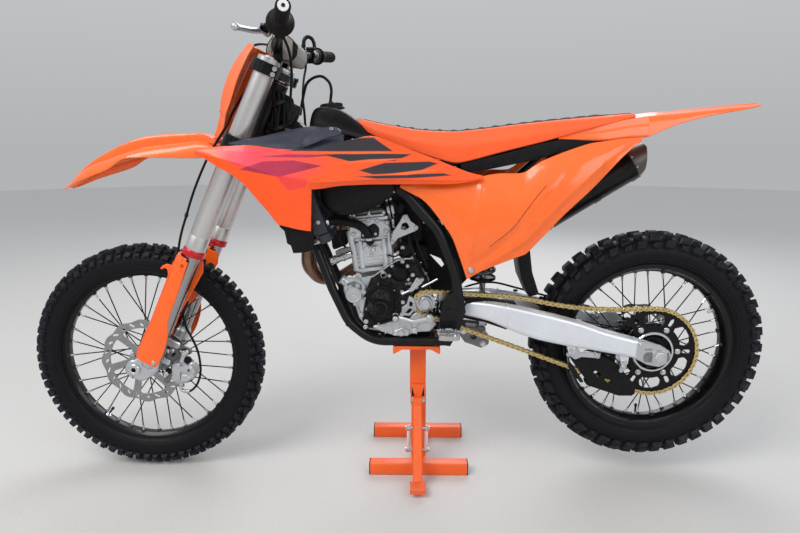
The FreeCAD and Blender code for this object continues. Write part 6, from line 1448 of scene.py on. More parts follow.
# levers with their perches and master cylinders
LEVERS = [(LEFT, 236, 262, [(440, 246, 1249), (427, 268, 1242), (414, 325, 1236), (407, 385, 1231)]), (RIGHT, 228, 254, [(440, 238, 1236), (414, 258, 1230), (402, 310, 1236), (398, 372, 1244)])]
k = Kit("hand_levers_forged")
for side, s0, s1, pts in LEVERS:
    a, b = bar_point(s0, side), bar_point(s1, side)
    way = un(b - a)
    k.turn(a, way, [(0, 11.3), (0, 16.6), (1, 17.5), (np.linalg.norm(b - a) - 1, 17.5), (np.linalg.norm(b - a), 16.6), (np.linalg.norm(b - a), 11.3)], M["black_alloy"], 36)
    for dz in (-19.5, 19.5):
        k.cyl(a + way * 6 + np.array((-13, 0, dz)), a + way * 6 + np.array((13, 0, dz)), 5.4, M["black_alloy"], 18, bevel=1.2)
        k.bolt(a + way * 6 + np.array((-13.2, 0, dz)), (-1, 0, 0), 3.4, M["zinc"], 2.6, kind="torx", washer=False)
    line = crom([W(x, side * y, z) for x, y, z in pts], 9)
    n = len(line)
    rr = [float(np.interp(i / (n - 1), [0, 0.12, 0.3, 0.8, 0.93, 1.0], [7.0, 6.2, 5.0, 4.8, 5.0, 6.2])) for i in range(n)]
    k.pipe(line, rr, M["alloy"], 18, flat=(0.72, 1.35))
    tip = line[-1]
    k.rev([(8.6 * math.sin(t), 8.6 * math.cos(t)) for t in np.linspace(0, math.pi, 13)], tip, line[-1] - line[-2], M["alloy"], 28)
    # pivot and bracket
    p0 = W(pts[0][0], side * pts[0][1], pts[0][2])
    k.block((p0 + a + way * 10) / 2 + np.array((0, 0, 1)), (46, 20, 15), M["black_alloy"], None, 4)
    k.cyl(p0 + np.array((0, 0, -9)), p0 + np.array((0, 0, 9)), 9.4, M["black_alloy"], 26, bevel=1.6)
    k.bolt(p0 + np.array((0, 0, 9)), (0, 0, 1), 5.2, M["zinc"], 3.4)
    k.bolt(p0 + np.array((0, 0, -9)), (0, 0, -1), 5.2, M["zinc"], 3.4)
    # master cylinder: body, end cap, banjo
    q = bar_at(s0 - 42)
    m0, m1 = W(q[0] - 26, side * (s0 - 42), q[2] + 3), W(pts[0][0] - 2, side * (pts[0][1] + 4), pts[0][2])
    mw = un(m1 - m0)
    k.turn(m0 - mw * 2, mw, [(0, 8), (0.8, 9.8), (6, 10.4), (9, 10.4), (10, 9.6), (12, 9.6), (13, 10.5), (np.linalg.norm(m1 - m0) - 8, 10.5), (np.linalg.norm(m1 - m0) - 2, 8.5)], M["alloy"], 32)
    k.cyl(m1 - mw * 10, m1 + mw * 3, 6.2, M["black_plastic"], 20, bevel=1.5)
    k.bolt(m0 - mw * 2, -mw, 6.0, M["zinc"], 5.0)
    e1, e2 = basis(mw)
    k.turn(p0 + np.array((-6, side * 8, 0)), (0.3, side * 0.5, 0), [(0, 5.6), (1.0, 6.6), (6.0, 6.6), (7.0, 5.6)], M["black_alloy"], 20)
    if side == LEFT:
        k.turn(m0 + mw * 22 + np.array((0, 0, 6)), (0, 0, 1), [(0, 12), (1, 13), (11, 13), (12, 11.5)], M["black_alloy"], 32)
        k.bolt(m0 + mw * 22 + np.array((0, 0, 18)), (0, 0, 1), 3, M["zinc"], 1.6, kind="torx", washer=False)
    else:
        c = W(bar_at(s0)[0] - 41, s0 - 14, bar_at(s0)[2] + 13)
        k.block(c, (29, 39, 20), M["alloy"], None, 4)
        k.block(c + np.array((0, 0, 11.4)), (31, 41, 4.6), M["black_plastic"], None, 1.6)
        for dx, dy in ((-11, -16), (11, 16)):
            k.bolt(c + np.array((dx, dy, 13.6)), (0, 0, 1), 2.6, M["zinc"], 1.6, kind="torx", washer=False)
        k.cyl(c + np.array((0, -19, 0)), c + np.array((0, -20.6, 0)), 6.0, M["clear"], 20)
# map and stop buttons by the left perch
c = bar_point(212, LEFT)
k.turn(c, un(bar_point(212, LEFT) - bar_point(200, LEFT)), [(-6, 11.6), (-6, 14.6), (-5, 15.6), (5, 15.6), (6, 14.6), (6, 11.6)], M["black_plastic"], 28)
k.block(c + np.array((8, 0, 14)), (20, 15, 13), M["black_plastic"], None, 3)
k.cyl(c + np.array((12, 0, 20)), c + np.array((14, 0, 24)), 5.0, M["red_plastic"], 18)
k.finish(STEERING, ["hand_levers"], smooth=34)

# front axle
k = Kit("front_axle_machined")
c = FRONT_C - AX * 134.2
k.rev([(6.6, 12), (6.6, 0.8), (7.4, 0), (15.6, 0), (17, 1.3), (17, 5.2), (16.0, 6.2), (11, 6.2), (11, 262), (10, 263.2), (6.6, 263.2), (6.6, 250)], c, AX, M["zinc"], 44)
# black discs inside the hollow ends: painted shade deep in the bore
for t in (10, 252):
    k.rev([(0.0, t), (6.7, t)], c, AX, M["black_alloy"], 24)
for y0, y1 in ((-81, -63), (57, 81)):
    k.rev([(11, y0), (16, y0), (17, y0 + 1), (17, y1 - 1), (16, y1), (11, y1)], FRONT_C, AX, M["orange_metal"], 40)
k.finish(STEERING, ["front_axle"], smooth=32)

# front caliper: two halves over the disc, pistons' housings, bracket, sliding pins and pads
k = Kit("front_caliper_cast")
BODYO = rounded([(91, 298), (95, 350), (121, 361), (148, 347), (159, 325), (153, 304), (128, 290), (99, 285)], 9, 4)
k.plate(BODYO, -90, -64, M["cast"], (), 4.5)
k.plate([(lerp(a, 124, 0.06), lerp(b, 323, 0.06)) for a, b in BODYO], -48, -38.5, M["cast"], (), 3.0)
k.plate(rounded([(134, 346), (149, 346), (159, 325), (153, 304), (141, 297), (137, 315)], 4, 3), -68, -44, M["cast"], (), 2.0)
k.plate(rounded([(94, 301), (96, 352), (108, 358), (120, 354), (117, 300), (105, 295)], 8, 4), -98.5, -88, M["cast"], (), 3.4)
k.plate(rounded([(112, 326), (112, 345), (134, 348), (152, 341), (155, 331), (146, 324)], 6, 4), -95.5, -88, M["alloy"], (), 2.6)
k.plate(rounded([(116, 296), (118, 318), (138, 318), (150, 308), (136, 296)], 6, 4), -94, -88, M["cast"], (), 2.6)
k.cyl(W(144, -95.5, 333), W(144, -96.2, 333), 3.6, M["black_alloy"], 16, bevel=0.3)
for x, z in ((104, 312), (107, 338)):
    k.cyl(W(x, -98.5, z), W(x, -99.6, z), 10.5, M["alloy"], 30, bevel=0.9)
BRK = rounded([(84, 383), (103, 398), (120, 403), (147, 393), (151, 379), (133, 371), (113, 363), (99, 353), (84, 339), (70, 327), (54, 328), (40, 333), (39, 347), (60, 352), (70, 365)], 6, 3)
slots = [rounded([(88, 371), (99, 382), (104, 378), (92, 367)], 2, 2), rounded([(74, 352), (82, 361), (87, 357), (79, 348)], 2, 2), rounded([(112, 388), (124, 392), (126, 384), (114, 380)], 2, 2)]
k.plate(BRK, -79, -69, M["cast_dark"], slots, 1.6)
k.plate(rounded([(60, 292), (66, 304), (78, 322), (92, 330), (96, 316), (84, 298), (72, 284)], 5, 3), -79, -69, M["cast_dark"], (), 1.6)
for x, z, r0 in ((131, 384, 9.0), (75, 321, 8.4)):
    k.turn(W(x, -88, z), (0, 1, 0), [(0, 6.0), (1, r0), (4, r0), (5, r0 - 1.2), (7, r0 - 1.2), (8, r0), (11, r0), (12, r0 - 1.2), (18, r0 - 1.2)], M["black_plastic"], 26)
    k.bolt(W(x, -88.2, z), (0, -1, 0), 6.0, M["zinc"], 3.0)
k.plate(rounded([(122, 376), (138, 394), (146, 388), (128, 352), (112, 352)], 6, 3), -92, -80, M["cast"], (), 3.0)
k.bolt(W(132, -92, 382), (0, -1, 0), 4.6, M["zinc"], 2.6, kind="torx")
k.turn(W(142, -84, 363), (0, -1, 0), [(0, 10), (3, 11), (8, 11), (9, 9.5), (9.6, 6)], M["black_plastic"], 28)
k.turn(W(83, -84, 329), (0, -1, 0), [(0, 7), (2, 8.4), (6, 8.4), (7, 6.5)], M["black_plastic"], 24)
for x, z in ((55, 342), (96, 390)):
    k.cyl(W(x, -84, z), W(x, -68, z), 8.0, M["cast_dark"], 22, bevel=1.0)
    k.bolt(W(x, -84, z), (0, -1, 0), 5.0, M["zinc"], 3.2)
for y0, y1 in ((-66, -59.4), (-50.6, -44)):  # the pads' back plates, one on each side of the disc
    k.plate(rounded([(100, 286), (104, 298), (140, 300), (150, 312), (154, 306), (140, 288), (112, 279)], 4, 3), y0, y1, M["black_alloy"], (), 1.0)
k.turn(W(112, -76, 289), (0.1, 0, -1), [(0, 7), (8, 7), (9, 8.4), (14, 8.4), (15, 6)], M["zinc"], 24)
k.turn(W(101, -70, 354), (-0.3, 0, 1), [(0, 4.4), (6, 4.4), (6.6, 3.2), (12, 3.2), (12.6, 4.2), (15, 4.2)], M["zinc"], 16)
k.cyl(W(101, -70, 366), W(99.6, -70, 371.5), 4.6, M["black_plastic"], 16, bevel=1.5)
k.finish(STEERING, ["front_caliper"], smooth=32)

# brake hose: from the hand lever behind the plate, down inside the left leg and round the caliper
BRAKE_HOSE = [(-28.5, 184.8, 292.8), (-36, 165, 291), (-52, 142, 275), (-67, 118, 252), (-69, 90, 226), (-72, 58, 198), (-75, 22, 166), (-76, -14, 128), (-75, -46, 84), (-74, -66, 38), (-79, -77, -10), (-86, -80.5, -62),
              (-89, -80.5, -120), (-89, -79, -180), (-85, -78, -240), (-80, -77, -300), (-70, -73, -352), (-54, -66, -396), (-34, -61.5, -436), (-14, -61, -478), (2, -62, -520)]
HOSE_END = [(135, -69, 458), (153, -74, 424), (167, -76, 388), (172.5, -76, 350), (170.5, -76, 313), (158, -76, 281), (139, -76, 262.5), (119, -76, 260.5)]
line = crom([S(*p) for p in BRAKE_HOSE] + [W(*p) for p in HOSE_END], 7)
k = Kit("front_brake_hose_braided")
k.pipe(line, 3.4, M["hose"], 14)
k.turn(line[-1] + un(line[-4] - line[-1]) * 2, line[-4] - line[-1], [(0, 4.6), (1, 5.2), (14, 5.2), (15, 4.2)], M["zinc"], 18)
k.turn(line[0] + un(line[3] - line[0]) * 2, line[3] - line[0], [(0, 4.6), (1, 5.2), (14, 5.2), (15, 4.2)], M["zinc"], 18)
k.pipe(crom([W(122, -76, 260.8), W(114, -76, 262.5), W(110.5, -76, 271), W(111, -76, 279)], 5), 4.2, M["zinc"], 14)
for i in (len(line) // 2, int(len(line) * 0.74)):
    d = un(line[i + 1] - line[i])
    k.turn(line[i] - d * 6, d, [(0, 4.2), (1, 5.0), (11, 5.0), (12, 4.2)], M["black_plastic"], 16)
k.finish(STEERING, ["front_brake_hose"], smooth=40)

# throttle cable and clutch hose, running between the frame and the bar
THROTTLE = [(448.8, 257.9, 1283.4), (450, 257, 1262), (455, 255, 1240), (457, 238, 1215), (458, 200, 1186), (463, 145, 1150), (470, 92, 1107), (477, 68, 1072), (480, 66, 1012)]
CLUTCH = [(435.6, -193.2, 1249.1), (436, -172, 1254), (444, -148, 1260), (460, -126, 1250), (472, -106, 1212), (472, -88, 1160), (464, -72, 1104), (458, -64, 1045)]
flexes = []
for name, pts in (("throttle_cable_flexible", THROTTLE), ("clutch_hose_flexible", CLUTCH)):
    k = Kit(name)
    line = crom([W(*p) for p in pts], 8)
    k.pipe(line, 3.6, M["hose"], 14)
    k.turn(line[0], line[3] - line[0], [(-1, 4.4), (0, 5.4), (10, 5.4), (14, 4.4)], M["black_plastic"], 16)
    k.turn(line[-1], line[-4] - line[-1], [(-1, 4.4), (0, 5.4), (16, 5.4), (20, 4.4)], M["black_plastic"], 16)
    ob = k.finish(None, ["control_cables"], smooth=40)
    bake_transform(ob)

# wiring and hoses strapped beside the steering head, clear of the fork legs as they turn
k = Kit("steering_head_loom")
for pts, r in (([(12, -31, 176), (30, -38, 146), (46, -42, 96), (66, -46, 52), (98, -46, 30)], 7.0), ([(8, -32, 160), (28, -40, 126), (50, -43, 80), (76, -47, 48), (106, -48, 32)], 5.6),
               ([(22, -30, 178), (40, -36, 152), (60, -42, 112), (84, -47, 62), (116, -48, 34)], 6.2), ([(28, -22, 176), (48, -26, 150), (72, -36, 104), (98, -44, 66), (130, -48, 40)], 5.0),
               ([(14, -28, 156), (24, -36, 118), (38, -40, 64), (54, -42, 36), (84, -46, 31)], 4.6), ([(30, -34, 164), (52, -40, 128), (78, -46, 88), (106, -50, 54), (140, -52, 34)], 3.4)):
    k.pipe(crom([S(*q) for q in pts], 7), r, M["hose"], 16)
for at, w in ((S(30, -38, 146), (0.3, 0, -0.95)), (S(56, -44, 84), (0.35, 0, -0.93))):
    k.turn(at, w, [(-5, 18), (-4.4, 19.6), (4.4, 19.6), (5, 18)], M["black_plastic"], 30)
# a black cover plate and block beside the head: covers for the loom, and also dark fill that paints the shade between
# the fork legs
k.plate(rounded([(18, 178), (58, 174), (98, 112), (146, 44), (120, 30), (74, 34), (34, 100)], 10, 4), -30, -22, M["black_plastic"], (), 2.4, at=steer_at)
k.block(S(64, -18, 132), (48, 34, 60), M["black_plastic"], SROT, 5)
k.finish(CHASSIS, (), smooth=36)

# ------------------------------------------------------------------ engine, exhaust and radiators
def L(x, y, z):
    """The cylinder's own frame: leaned forward six degrees about the crankcase mouth."""
    return W(688 + x * 0.99452 - z * 0.10453, y, 625 + x * 0.10453 + z * 0.99452)


LROT = ((0.99452, 0, 0.10453), (0, 1, 0), (-0.10453, 0, 0.99452))


def bent(pts, r, n=7):
    """A bar's middle line: straight runs joined by arcs."""
    p = [np.array(q, float) for q in pts]
    out = [p[0]]
    for a, b, c in zip(p, p[1:], p[2:]):
        u, w = un(a - b), un(c - b)
        ang = math.acos(max(-1, min(1, float(np.dot(u, w)))))
        back = min(r / math.tan(ang / 2), 0.45 * np.linalg.norm(a - b), 0.45 * np.linalg.norm(c - b))
        for t in np.linspace(0, 1, n + 1):
            out.append((1 - t) ** 2 * (b + u * back) + 2 * t * (1 - t) * b + t * t * (b + w * back))
    out.append(p[-1])
    return np.array(out)


def leaned_at(a, b, t):
    return L(a, b, t)


k = Kit("engine_cases_cast")
CASEO = [(640, 482), (668, 448), (720, 441), (792, 441), (850, 445), (867, 470), (861, 520), (838, 598), (800, 648), (745, 639), (690, 611), (636, 600), (617, 562)]
k.plate(rounded([(640, 482), (668, 448), (702, 443), (702, 615), (690, 611), (636, 600), (617, 562)], [14, 10, 0, 0, 8, 14, 14], 4), -57, -1.2, M["cast"], (), 2.0)
k.plate(rounded([(702, 443), (720, 441), (792, 441), (850, 445), (867, 470), (861, 520), (838, 598), (800, 648), (745, 639), (702, 615)], [0, 8, 10, 12, 12, 14, 14, 14, 14, 0], 4), -57, -1.2, M["engine_black"], (), 2.0)
k.plate(rounded(CASEO, 14, 4), 1.2, 63.5, M["cast"], (), 3.0)
k.plate(inset(rounded(CASEO, 14, 4), 1.6), -1.4, 1.4, M["cast_dark"], (), 0.2)
for (x0, z0), (x1, z1) in (((668, 446), (720, 441)), ((792, 441), (850, 445)), ((866, 480), (859, 530)), ((846, 580), (820, 626)), ((640, 492), (622, 556))):
    k.plate(rounded([(x0 - 4, z0 - 1), (x1 + 1, z1 - 1), (x1 - 2, z1 + 8), (x0, z0 + 8)], 3, 2), -8, 8, M["cast"], (), 1.2)
    k.bolt(W((x0 + x1) / 2, -8, (z0 + z1) / 2 + 3), (0, -1, 0), 4.0, M["zinc"], 3)
# the raised rim that carries the covers, bright along its edge
k.plate(rounded([(650, 480), (664, 456), (706, 452), (756, 470), (790, 505), (800, 560), (830, 604), (806, 644), (784, 658), (750, 652), (700, 620), (676, 602), (660, 560), (650, 520)], 12, 4), -66, -56, M["engine_black"], (), 2.2)
k.pipe(crom([W(681, -66, 607), W(704, -66.5, 624), W(728, -66.5, 641), W(753, -66.5, 655), W(775, -66.5, 661), W(789, -66, 661)], 5), 2.4, M["machined"], 10)
k.plate(rounded([(800, 480), (828, 476), (858, 490), (852, 540), (836, 590), (812, 604), (806, 560), (812, 520)], 10, 3), -64, -56, M["engine_black"], (), 2.2)
# lower case with its sump ribs and the silver bosses round the countershaft
k.plate(rounded([(676, 462), (706, 447), (738, 437), (784, 437), (806, 446), (846, 448), (866, 470), (852, 500), (820, 500), (792, 474), (760, 486), (726, 478), (700, 470)], 7, 3), -77, -56, M["cast"], (), 2.6)
for x in (716, 734, 752, 770, 788, 806):
    k.plate([(x, 442), (x + 3.4, 442), (x + 5, 474), (x + 1, 474)], -80.5, -75, M["cast"], (), 0.8)
k.plate(rounded([(738, 437), (784, 437), (790, 452), (768, 462), (742, 452)], 5, 3), -84, -74, M["cast"], (), 2.0)
k.bolt(W(763, -84, 448), (0, -1, 0), 9, M["zinc"], 5)
# water pump with its round cover
k.plate(rounded([(597, 600), (612, 611), (646, 601), (662, 580), (664, 548), (659, 524), (655, 496), (648, 500), (640, 526), (624, 536), (607, 545), (600, 568)], 6, 4), -84, -57, M["cast"], (), 3.2)
k.plate(rounded([(606, 590), (630, 600), (650, 590), (654, 574), (640, 584), (616, 584)], 4, 3), -88, -82, M["cast_dark"], (), 1.4)
k.turn(W(629, -89, 561), (0, -1, 0), [(0, 24), (1.5, 23.6), (4.5, 22.5), (7.5, 22.3), (8.4, 21.6), (8.4, 18.6), (7.2, 17.8), (7.0, 13), (8.6, 11.6), (9.0, 4)], M["cast"], 48)
ov = [(629 + 8 * math.cos(t) - 1.6 * math.sin(t), 561 + 4.4 * math.sin(t) + 3 * math.cos(t)) for t in np.linspace(0, 2 * math.pi, 33)[:-1]]
k.plate(ov, -99, -97, M["machined"], (), 0.9)
k.turn(W(608, -76, 592), (-0.75, -0.1, 0.6), [(0, 13), (8, 12.2), (14, 12.2), (15, 13.4), (18, 13.4), (19, 12)], M["cast"], 28)
for x, z in ((601, 597), (620, 582), (640, 587), (657, 568), (633, 535), (649, 500), (661, 466), (663, 482)):
    k.cyl(W(x, -89, z), W(x, -92.4, z), 6.6, M["cast"], 18, bevel=0.8)
    k.bolt(W(x, -92.4, z), (0, -1, 0), 4.0, M["zinc"], 3.2, washer=False)
# ignition cover: faceted black casting with a hub
IGN = [(652, 556), (674, 580), (700, 600), (748, 582), (752, 560), (748, 489), (700, 470), (672, 492), (657, 518), (666, 537)]
k.plate(rounded(IGN, 5, 3), -84, -58, M["engine_black"], (), 3.0)
k.plate(rounded(inset(rounded(IGN, 5, 3), 3), 2, 1), -95, -83, M["engine_black"], (), 7.5)
k.plate(rounded([(676, 556), (700, 578), (730, 570), (734, 540), (712, 548), (690, 545)], 5, 3), -98.4, -92, M["engine_black"], (), 2.6)
k.plate(rounded([(672, 508), (700, 486), (734, 496), (736, 524), (722, 500), (700, 499), (684, 512)], 4, 3), -98.4, -92, M["engine_black"], (), 2.2)
k.rev([(16.5, 0), (17.0, 3.4), (19.5, 4.2), (22.5, 3.0), (23.5, -1.5)], W(704, -94, 520), (0, -1, 0), M["engine_black"], 44)
k.cyl(W(704, -88, 520), W(704, -93.4, 520), 16.4, M["black_alloy"], 36, bevel=0.8)
k.bolt(W(704, -93.2, 520), (0, -1, 0), 8.6, M["black_alloy"], 3.0, kind="torx", washer=False)
for x, z in ((660, 551), (700, 590), (742, 574), (743, 497), (700, 478), (665, 519)):
    k.cyl(W(x, -84, z), W(x, -89.5, z), 6.0, M["engine_black"], 18, bevel=1)
    k.bolt(W(x, -89.5, z), (0, -1, 0), 3.8, M["zinc"], 3.0, washer=False)
# starter dome above the ignition cover
for i, (y0, rx, rz) in enumerate(((-58, 31, 27), (-64, 30, 26), (-66, 27.5, 23.5), (-80, 26.5, 22.5), (-87, 24, 20), (-91.5, 19, 15.5), (-93.5, 11, 9))):
    ringp = [W(759 + rx * math.cos(t) - 4 * math.sin(t) * 0.5, y0, 620 + rz * math.sin(t) - 0.1 * rx * math.cos(t)) for t in np.linspace(0, 2 * math.pi, 45)[:-1]]
    if i:
        k.grid([prev, ringp], M["engine_black"], wrap_v=True)
    prev = ringp
k.add([p for p in prev] + [W(759, -94, 620)], [[j, (j + 1) % 44, 44] for j in range(44)], M["engine_black"])
k.plate([(758 + 15 * math.cos(t), 622 + 9 * math.sin(t) - 1.5 * math.cos(t)) for t in np.linspace(0, 2 * math.pi, 33)[:-1]], -95.6, -92.6, M["black_alloy"], (), 1.0)
for x, z in ((729, 612), (783, 602), (781, 640), (737, 640)):
    k.cyl(W(x, -58, z), W(x, -70, z), 6.4, M["engine_black"], 18, bevel=1)
    k.bolt(W(x, -70, z), (0, -1, 0), 4.0, M["zinc"], 3.2)
k.cyl(W(713, -58, 615), W(713, -78, 615), 9.0, M["cast"], 24, bevel=1.6)
k.bolt(W(713, -78, 615), (0, -1, 0), 5.0, M["black_alloy"], 3.2)
# gearbox side: bolts, the drive sprocket's slotted guard, spring box and levers
for x, z in ((767, 655), (711, 624), (796, 616), (822, 602), (806, 581), (768, 536), (765, 500), (790, 572), (766, 566)):
    k.cyl(W(x, -64, z), W(x, -78, z), 5.6, M["engine_black"], 16, bevel=0.8)
    k.bolt(W(x, -78, z), (0, -1, 0), 4.6, M["zinc"], 3.2)
k.plate(rounded([(764, 499), (788, 496), (808, 520), (800, 548), (786, 556), (778, 530), (764, 520)], 5, 3), -82, -60, M["cast"], [rounded([(774, 505), (786, 503), (796, 516), (788, 519)], 2, 2), rounded([(786, 526), (796, 523), (797, 534), (788, 541)], 2, 2)], 1.6)
k.plate(rounded([(784, 480), (812, 484), (826, 500), (806, 506), (792, 496)], 5, 3), -80, -62, M["cast"], (), 1.8)
k.turn(W(801, -62, 458), (0, -1, 0), [(0, 16), (8, 16), (10, 12.4), (16, 12.4), (17, 9), (34, 9)], M["cast"], 32)
k.plate(rounded([(805, 610), (822, 608), (824, 596), (796, 570), (786, 572), (790, 584)], 4, 3), -88, -80, M["zinc"], (), 1.2)
k.cyl(W(789, -84, 573), W(765, -84, 561), 3.4, M["zinc"], 14)
k.cyl(W(822, -92, 584), W(866, -92, 608), 3.2, M["zinc"], 14)
k.cyl(W(812, -66, 602), W(812, -92, 602), 6.0, M["zinc"], 20, bevel=1)
for i in range(7):  # return spring
    k.pipe([W(776 + i * 2.6 + 1.3 * math.cos(t) * 0.6, -72 - 5.4 * math.sin(t), 590 + 5.4 * math.cos(t)) for t in np.linspace(0, 2 * math.pi, 13)], 0.9, M["zinc"], 6)
# frame bosses and the mounts at the case's front and foot
k.cyl(W(622, -30, 486), W(622, 30, 486), 11, M["cast"], 24)
k.cyl(W(640, -57, 606), W(640, -30, 606), 10, M["cast"], 24)
k.finish(CHASSIS, ["crankcase", "ignition_cover"], smooth=34)

k = Kit("intake_duct_rubber")
k.pipe([W(700, 0, 792), W(752, 0, 802), W(812, 0, 806), W(880, 0, 812), W(930, 0, 822)], [40, 42, 46, 50, 50], M["black_plastic"], 40)
for x, z in ((726, 797), (738, 799.6)):
    k.turn(W(x, 0, z), (1, 0, 0.2), [(-4, 38), (-3.4, 44.6), (3.4, 44.6), (4, 38)], M["zinc"], 44)
k.finish(CHASSIS, (), smooth=34)

k = Kit("inner_mud_guard")
k.plate(rounded([(799.8, 747.7), (876.7, 753.8), (922.0, 700.0), (947.1, 633.3), (960.2, 581.2), (945.4, 565.7), (906.6, 540.7), (840.0, 540.5), (821.2, 633.0)], [6, 6, 10, 10, 6, 6, 8, 8, 8], 3), 30, 33, M["black_plastic"], [[(846.5, 657.4), (882.9, 617.9), (890.3, 625.5), (879.6, 643.8)]], 1.0)
for x, z in ((838, 735), (885, 700), (850, 560), (925, 560)):
    k.bolt(W(x, 30, z), (0, -1, 0), 5.0, M["black_alloy"], 2.6)
k.finish(CHASSIS, (), smooth=34)

k = Kit("engine_skid_guard_and_shade_fill")
# the side wing between the down tube and the case: a black guard that also fills the gap there, painted shade
k.plate(rounded([(585, 606), (604, 600), (628, 548), (652, 482), (690, 440), (744, 436), (744, 424), (676, 424), (640, 432), (616, 470), (598, 520), (580, 566)], 8, 4), -54.5, -51.0, M["black_plastic"], (), 1.0)
for (x0, z0), (x1, z1) in (((600, 560), (626, 486)), ((626, 486), (664, 438))):
    k.sweep([W(x0, -56, z0), W(x1, -56, z1)], [(-3, -1.2), (3, -1.2), (2, 1.2), (-2, 1.2)], M["black_plastic"], hint=(0, 1, 0))
for x, z in ((612, 540), (640, 462), (700, 431)):
    k.bolt(W(x, -54.5, z), (0, -1, 0), 4.4, M["zinc"], 2.6, kind="torx")
k.plate([(664, -66), (700, -82), (862, -82), (862, 82), (700, 82), (664, 66)], 427.0, 431.0, M["black_plastic"], [ring(720, -40, 8, 22), ring(800, -40, 8, 22)], 1.2, at=lambda a, b, t: W(a, b, t))
for x in (712, 780, 848):
    k.block(W(x, 0, 432.0), (7, 150, 3.4), M["black_plastic"], None, 1.2)
k.finish(CHASSIS, (), smooth=34)

k = Kit("engine_top_end_cast")
BARREL = rounded([(-55, -57), (55, -57), (55, 57), (-55, 57)], 16, 5)
for t0, t1, dd, mat in ((-2, 9, 0.0, "cast"), (9, 14, 3.2, "cast_dark"), (14, 84, 1.0, "cast"), (84, 88, 3.4, "cast_dark"), (88, 96.5, 0.0, "cast")):
    k.plate(inset(BARREL, dd + 0.01), t0, t1, M[mat], (), 1.4, at=leaned_at)
for x, y0 in ((-34, -57), (34, -57)):  # stud towers on the near side
    k.cyl(L(x, y0 + 3, 8), L(x, y0 + 3, 90), 8.0, M["cast"], 22, bevel=2)
k.plate(rounded([(-30, 20), (28, 20), (34, 44), (20, 74), (-22, 74), (-38, 46)], 12, 4), -59.5, -54, M["cast"], (), 2.6, at=lambda a, b, t: L(a, t, b))
k.bolt(L(-4, -59.5, 47), (0, -1, 0), 5.0, M["zinc"], 3.4)
k.bolt(L(30, -58, 12), (0, -1, 0), 4.4, M["zinc"], 3.2)
HEADO = rounded([(-63, -64), (59, -64), (59, 64), (-63, 64)], 18, 5)
for t0, t1, dd, mat in ((97, 106, 0.0, "cast"), (106, 110, 4.0, "cast_dark"), (110, 138, 2.0, "cast"), (138, 143, 6.0, "cast_dark"), (143, 153, 0.5, "cast")):
    k.plate(inset(HEADO, dd + 0.01), t0, t1, M[mat], (), 1.6, at=leaned_at)
k.plate(rounded([(-60, 103), (-44, 100), (50, 102), (57, 116), (50, 138), (10, 150), (-40, 146), (-60, 130)], 9, 4), -65.5, -58, M["cast"], (), 2.6, at=lambda a, b, t: L(a, t, b))
for x, z in ((-48, 112), (-20, 106), (14, 106), (44, 112), (49, 134), (22, 142), (-2, 146)):
    k.cyl(L(x, -64, z), L(x, -66.6, z), 7.0, M["cast"], 20, bevel=1)
    k.bolt(L(x, -66.0, z), (0, -1, 0), 4.4, M["zinc"], 3.4)
CAMO = rounded([(-52, -58), (49, -58), (49, 58), (-52, 58)], 20, 5)
k.plate(CAMO, 153, 160, M["cast"], (), 1.4, at=leaned_at)
k.plate(inset(CAMO, 3), 160, 174, M["cast_dark"], (), 5.0, at=leaned_at)
k.plate(inset(CAMO, 14), 173, 190, M["cast_dark"], (), 7.0, at=leaned_at)
for x, y in ((-44, -50), (42, -50), (-44, 50), (42, 50), (0, -52), (0, 52)):
    k.cyl(L(x, y, 158), L(x, y, 166), 6.4, M["cast"], 18, bevel=1)
    k.bolt(L(x, y, 166), L(0, 0, 1) - L(0, 0, 0), 4.4, M["zinc"], 3.2)
k.cyl(L(0, 0, 186), L(0, 0, 214), 15, M["black_plastic"], 28, bevel=4)
# exhaust flange and its studs
k.plate(rounded([(-34, 112), (34, 112), (34, 146), (-34, 146)], 14, 4), -66.5, -60, M["cast"], (), 2, at=lambda a, b, t: L(t, a + 4, b))
for y in (-24, 32):
    k.cyl(L(-76, y, 130), L(-64, y, 130), 3.0, M["zinc"], 12)
    k.bolt(L(-70, y, 130), L(-1, 0, 0) - L(0, 0, 0), 4.6, M["copper"], 5)
# head stays: thin plates with a window, from the head to the frame
STAY = rounded([(731, 707), (742, 704), (752, 722), (771, 730), (790, 738), (805, 744), (811, 753), (800, 764), (790, 771), (780, 790), (769, 788), (758, 768), (741, 742)], 5, 3)
for y0, y1 in ((-91.5, -86.5), (86.5, 91.5)):
    k.plate(STAY, y0, y1, M["alloy"], [rounded([(766, 764), (778, 768), (787, 754), (774, 746), (762, 750)], 4, 3)], 0.8)
    for x, z in ((777, 781), (804, 753), (739, 713)):
        s = -1 if y0 < 0 else 1
        k.bolt(W(x, y1 if s > 0 else y0, z), (0, s, 0), 5.2, M["zinc"], 3.6)
        k.cyl(W(x, s * 64, z), W(x, s * 87, z), 6.4, M["alloy"] if x == 739 else M["frame"], 20)
# throttle body and rubber boots behind the head
c0, c1 = L(56, 0, 128), W(806, 0, 766)
k.turn(c0, c1 - c0, [(0, 27), (2, 30), (18, 30), (20, 27), (24, 27), (26, 31), (46, 31), (48, 27), (np.linalg.norm(c1 - c0), 28)], M["black_plastic"], 36)
k.turn(c0 + un(c1 - c0) * 27, c1 - c0, [(0, 31.4), (17, 31.4)], M["cast"], 36)
k.rev([(30.4, 6), (31.4, 6), (31.4, 12), (30.4, 12)], c0, c1 - c0, M["zinc"], 36, closed=True)
k.block(W(778, -42, 754), (26, 22, 30), M["black_plastic"], None, 4)
k.block(W(768, -60, 744), (18, 16, 18), M["cast"], None, 3)
k.cyl(W(768, -52, 744), W(768, -72, 744), 8, M["zinc"], 22, bevel=1)
k.pipe(crom([W(743, -66, 786), W(752, -70, 772), W(757, -71, 740), (W(754, -70, 700)), W(748, -64, 676)], 6), 3.2, M["hose"], 10)
k.pipe(crom([W(777, -58, 751), W(787, -62, 722), W(790, -62, 700), W(802, -60, 676)], 6), 5.0, M["hose"], 12)
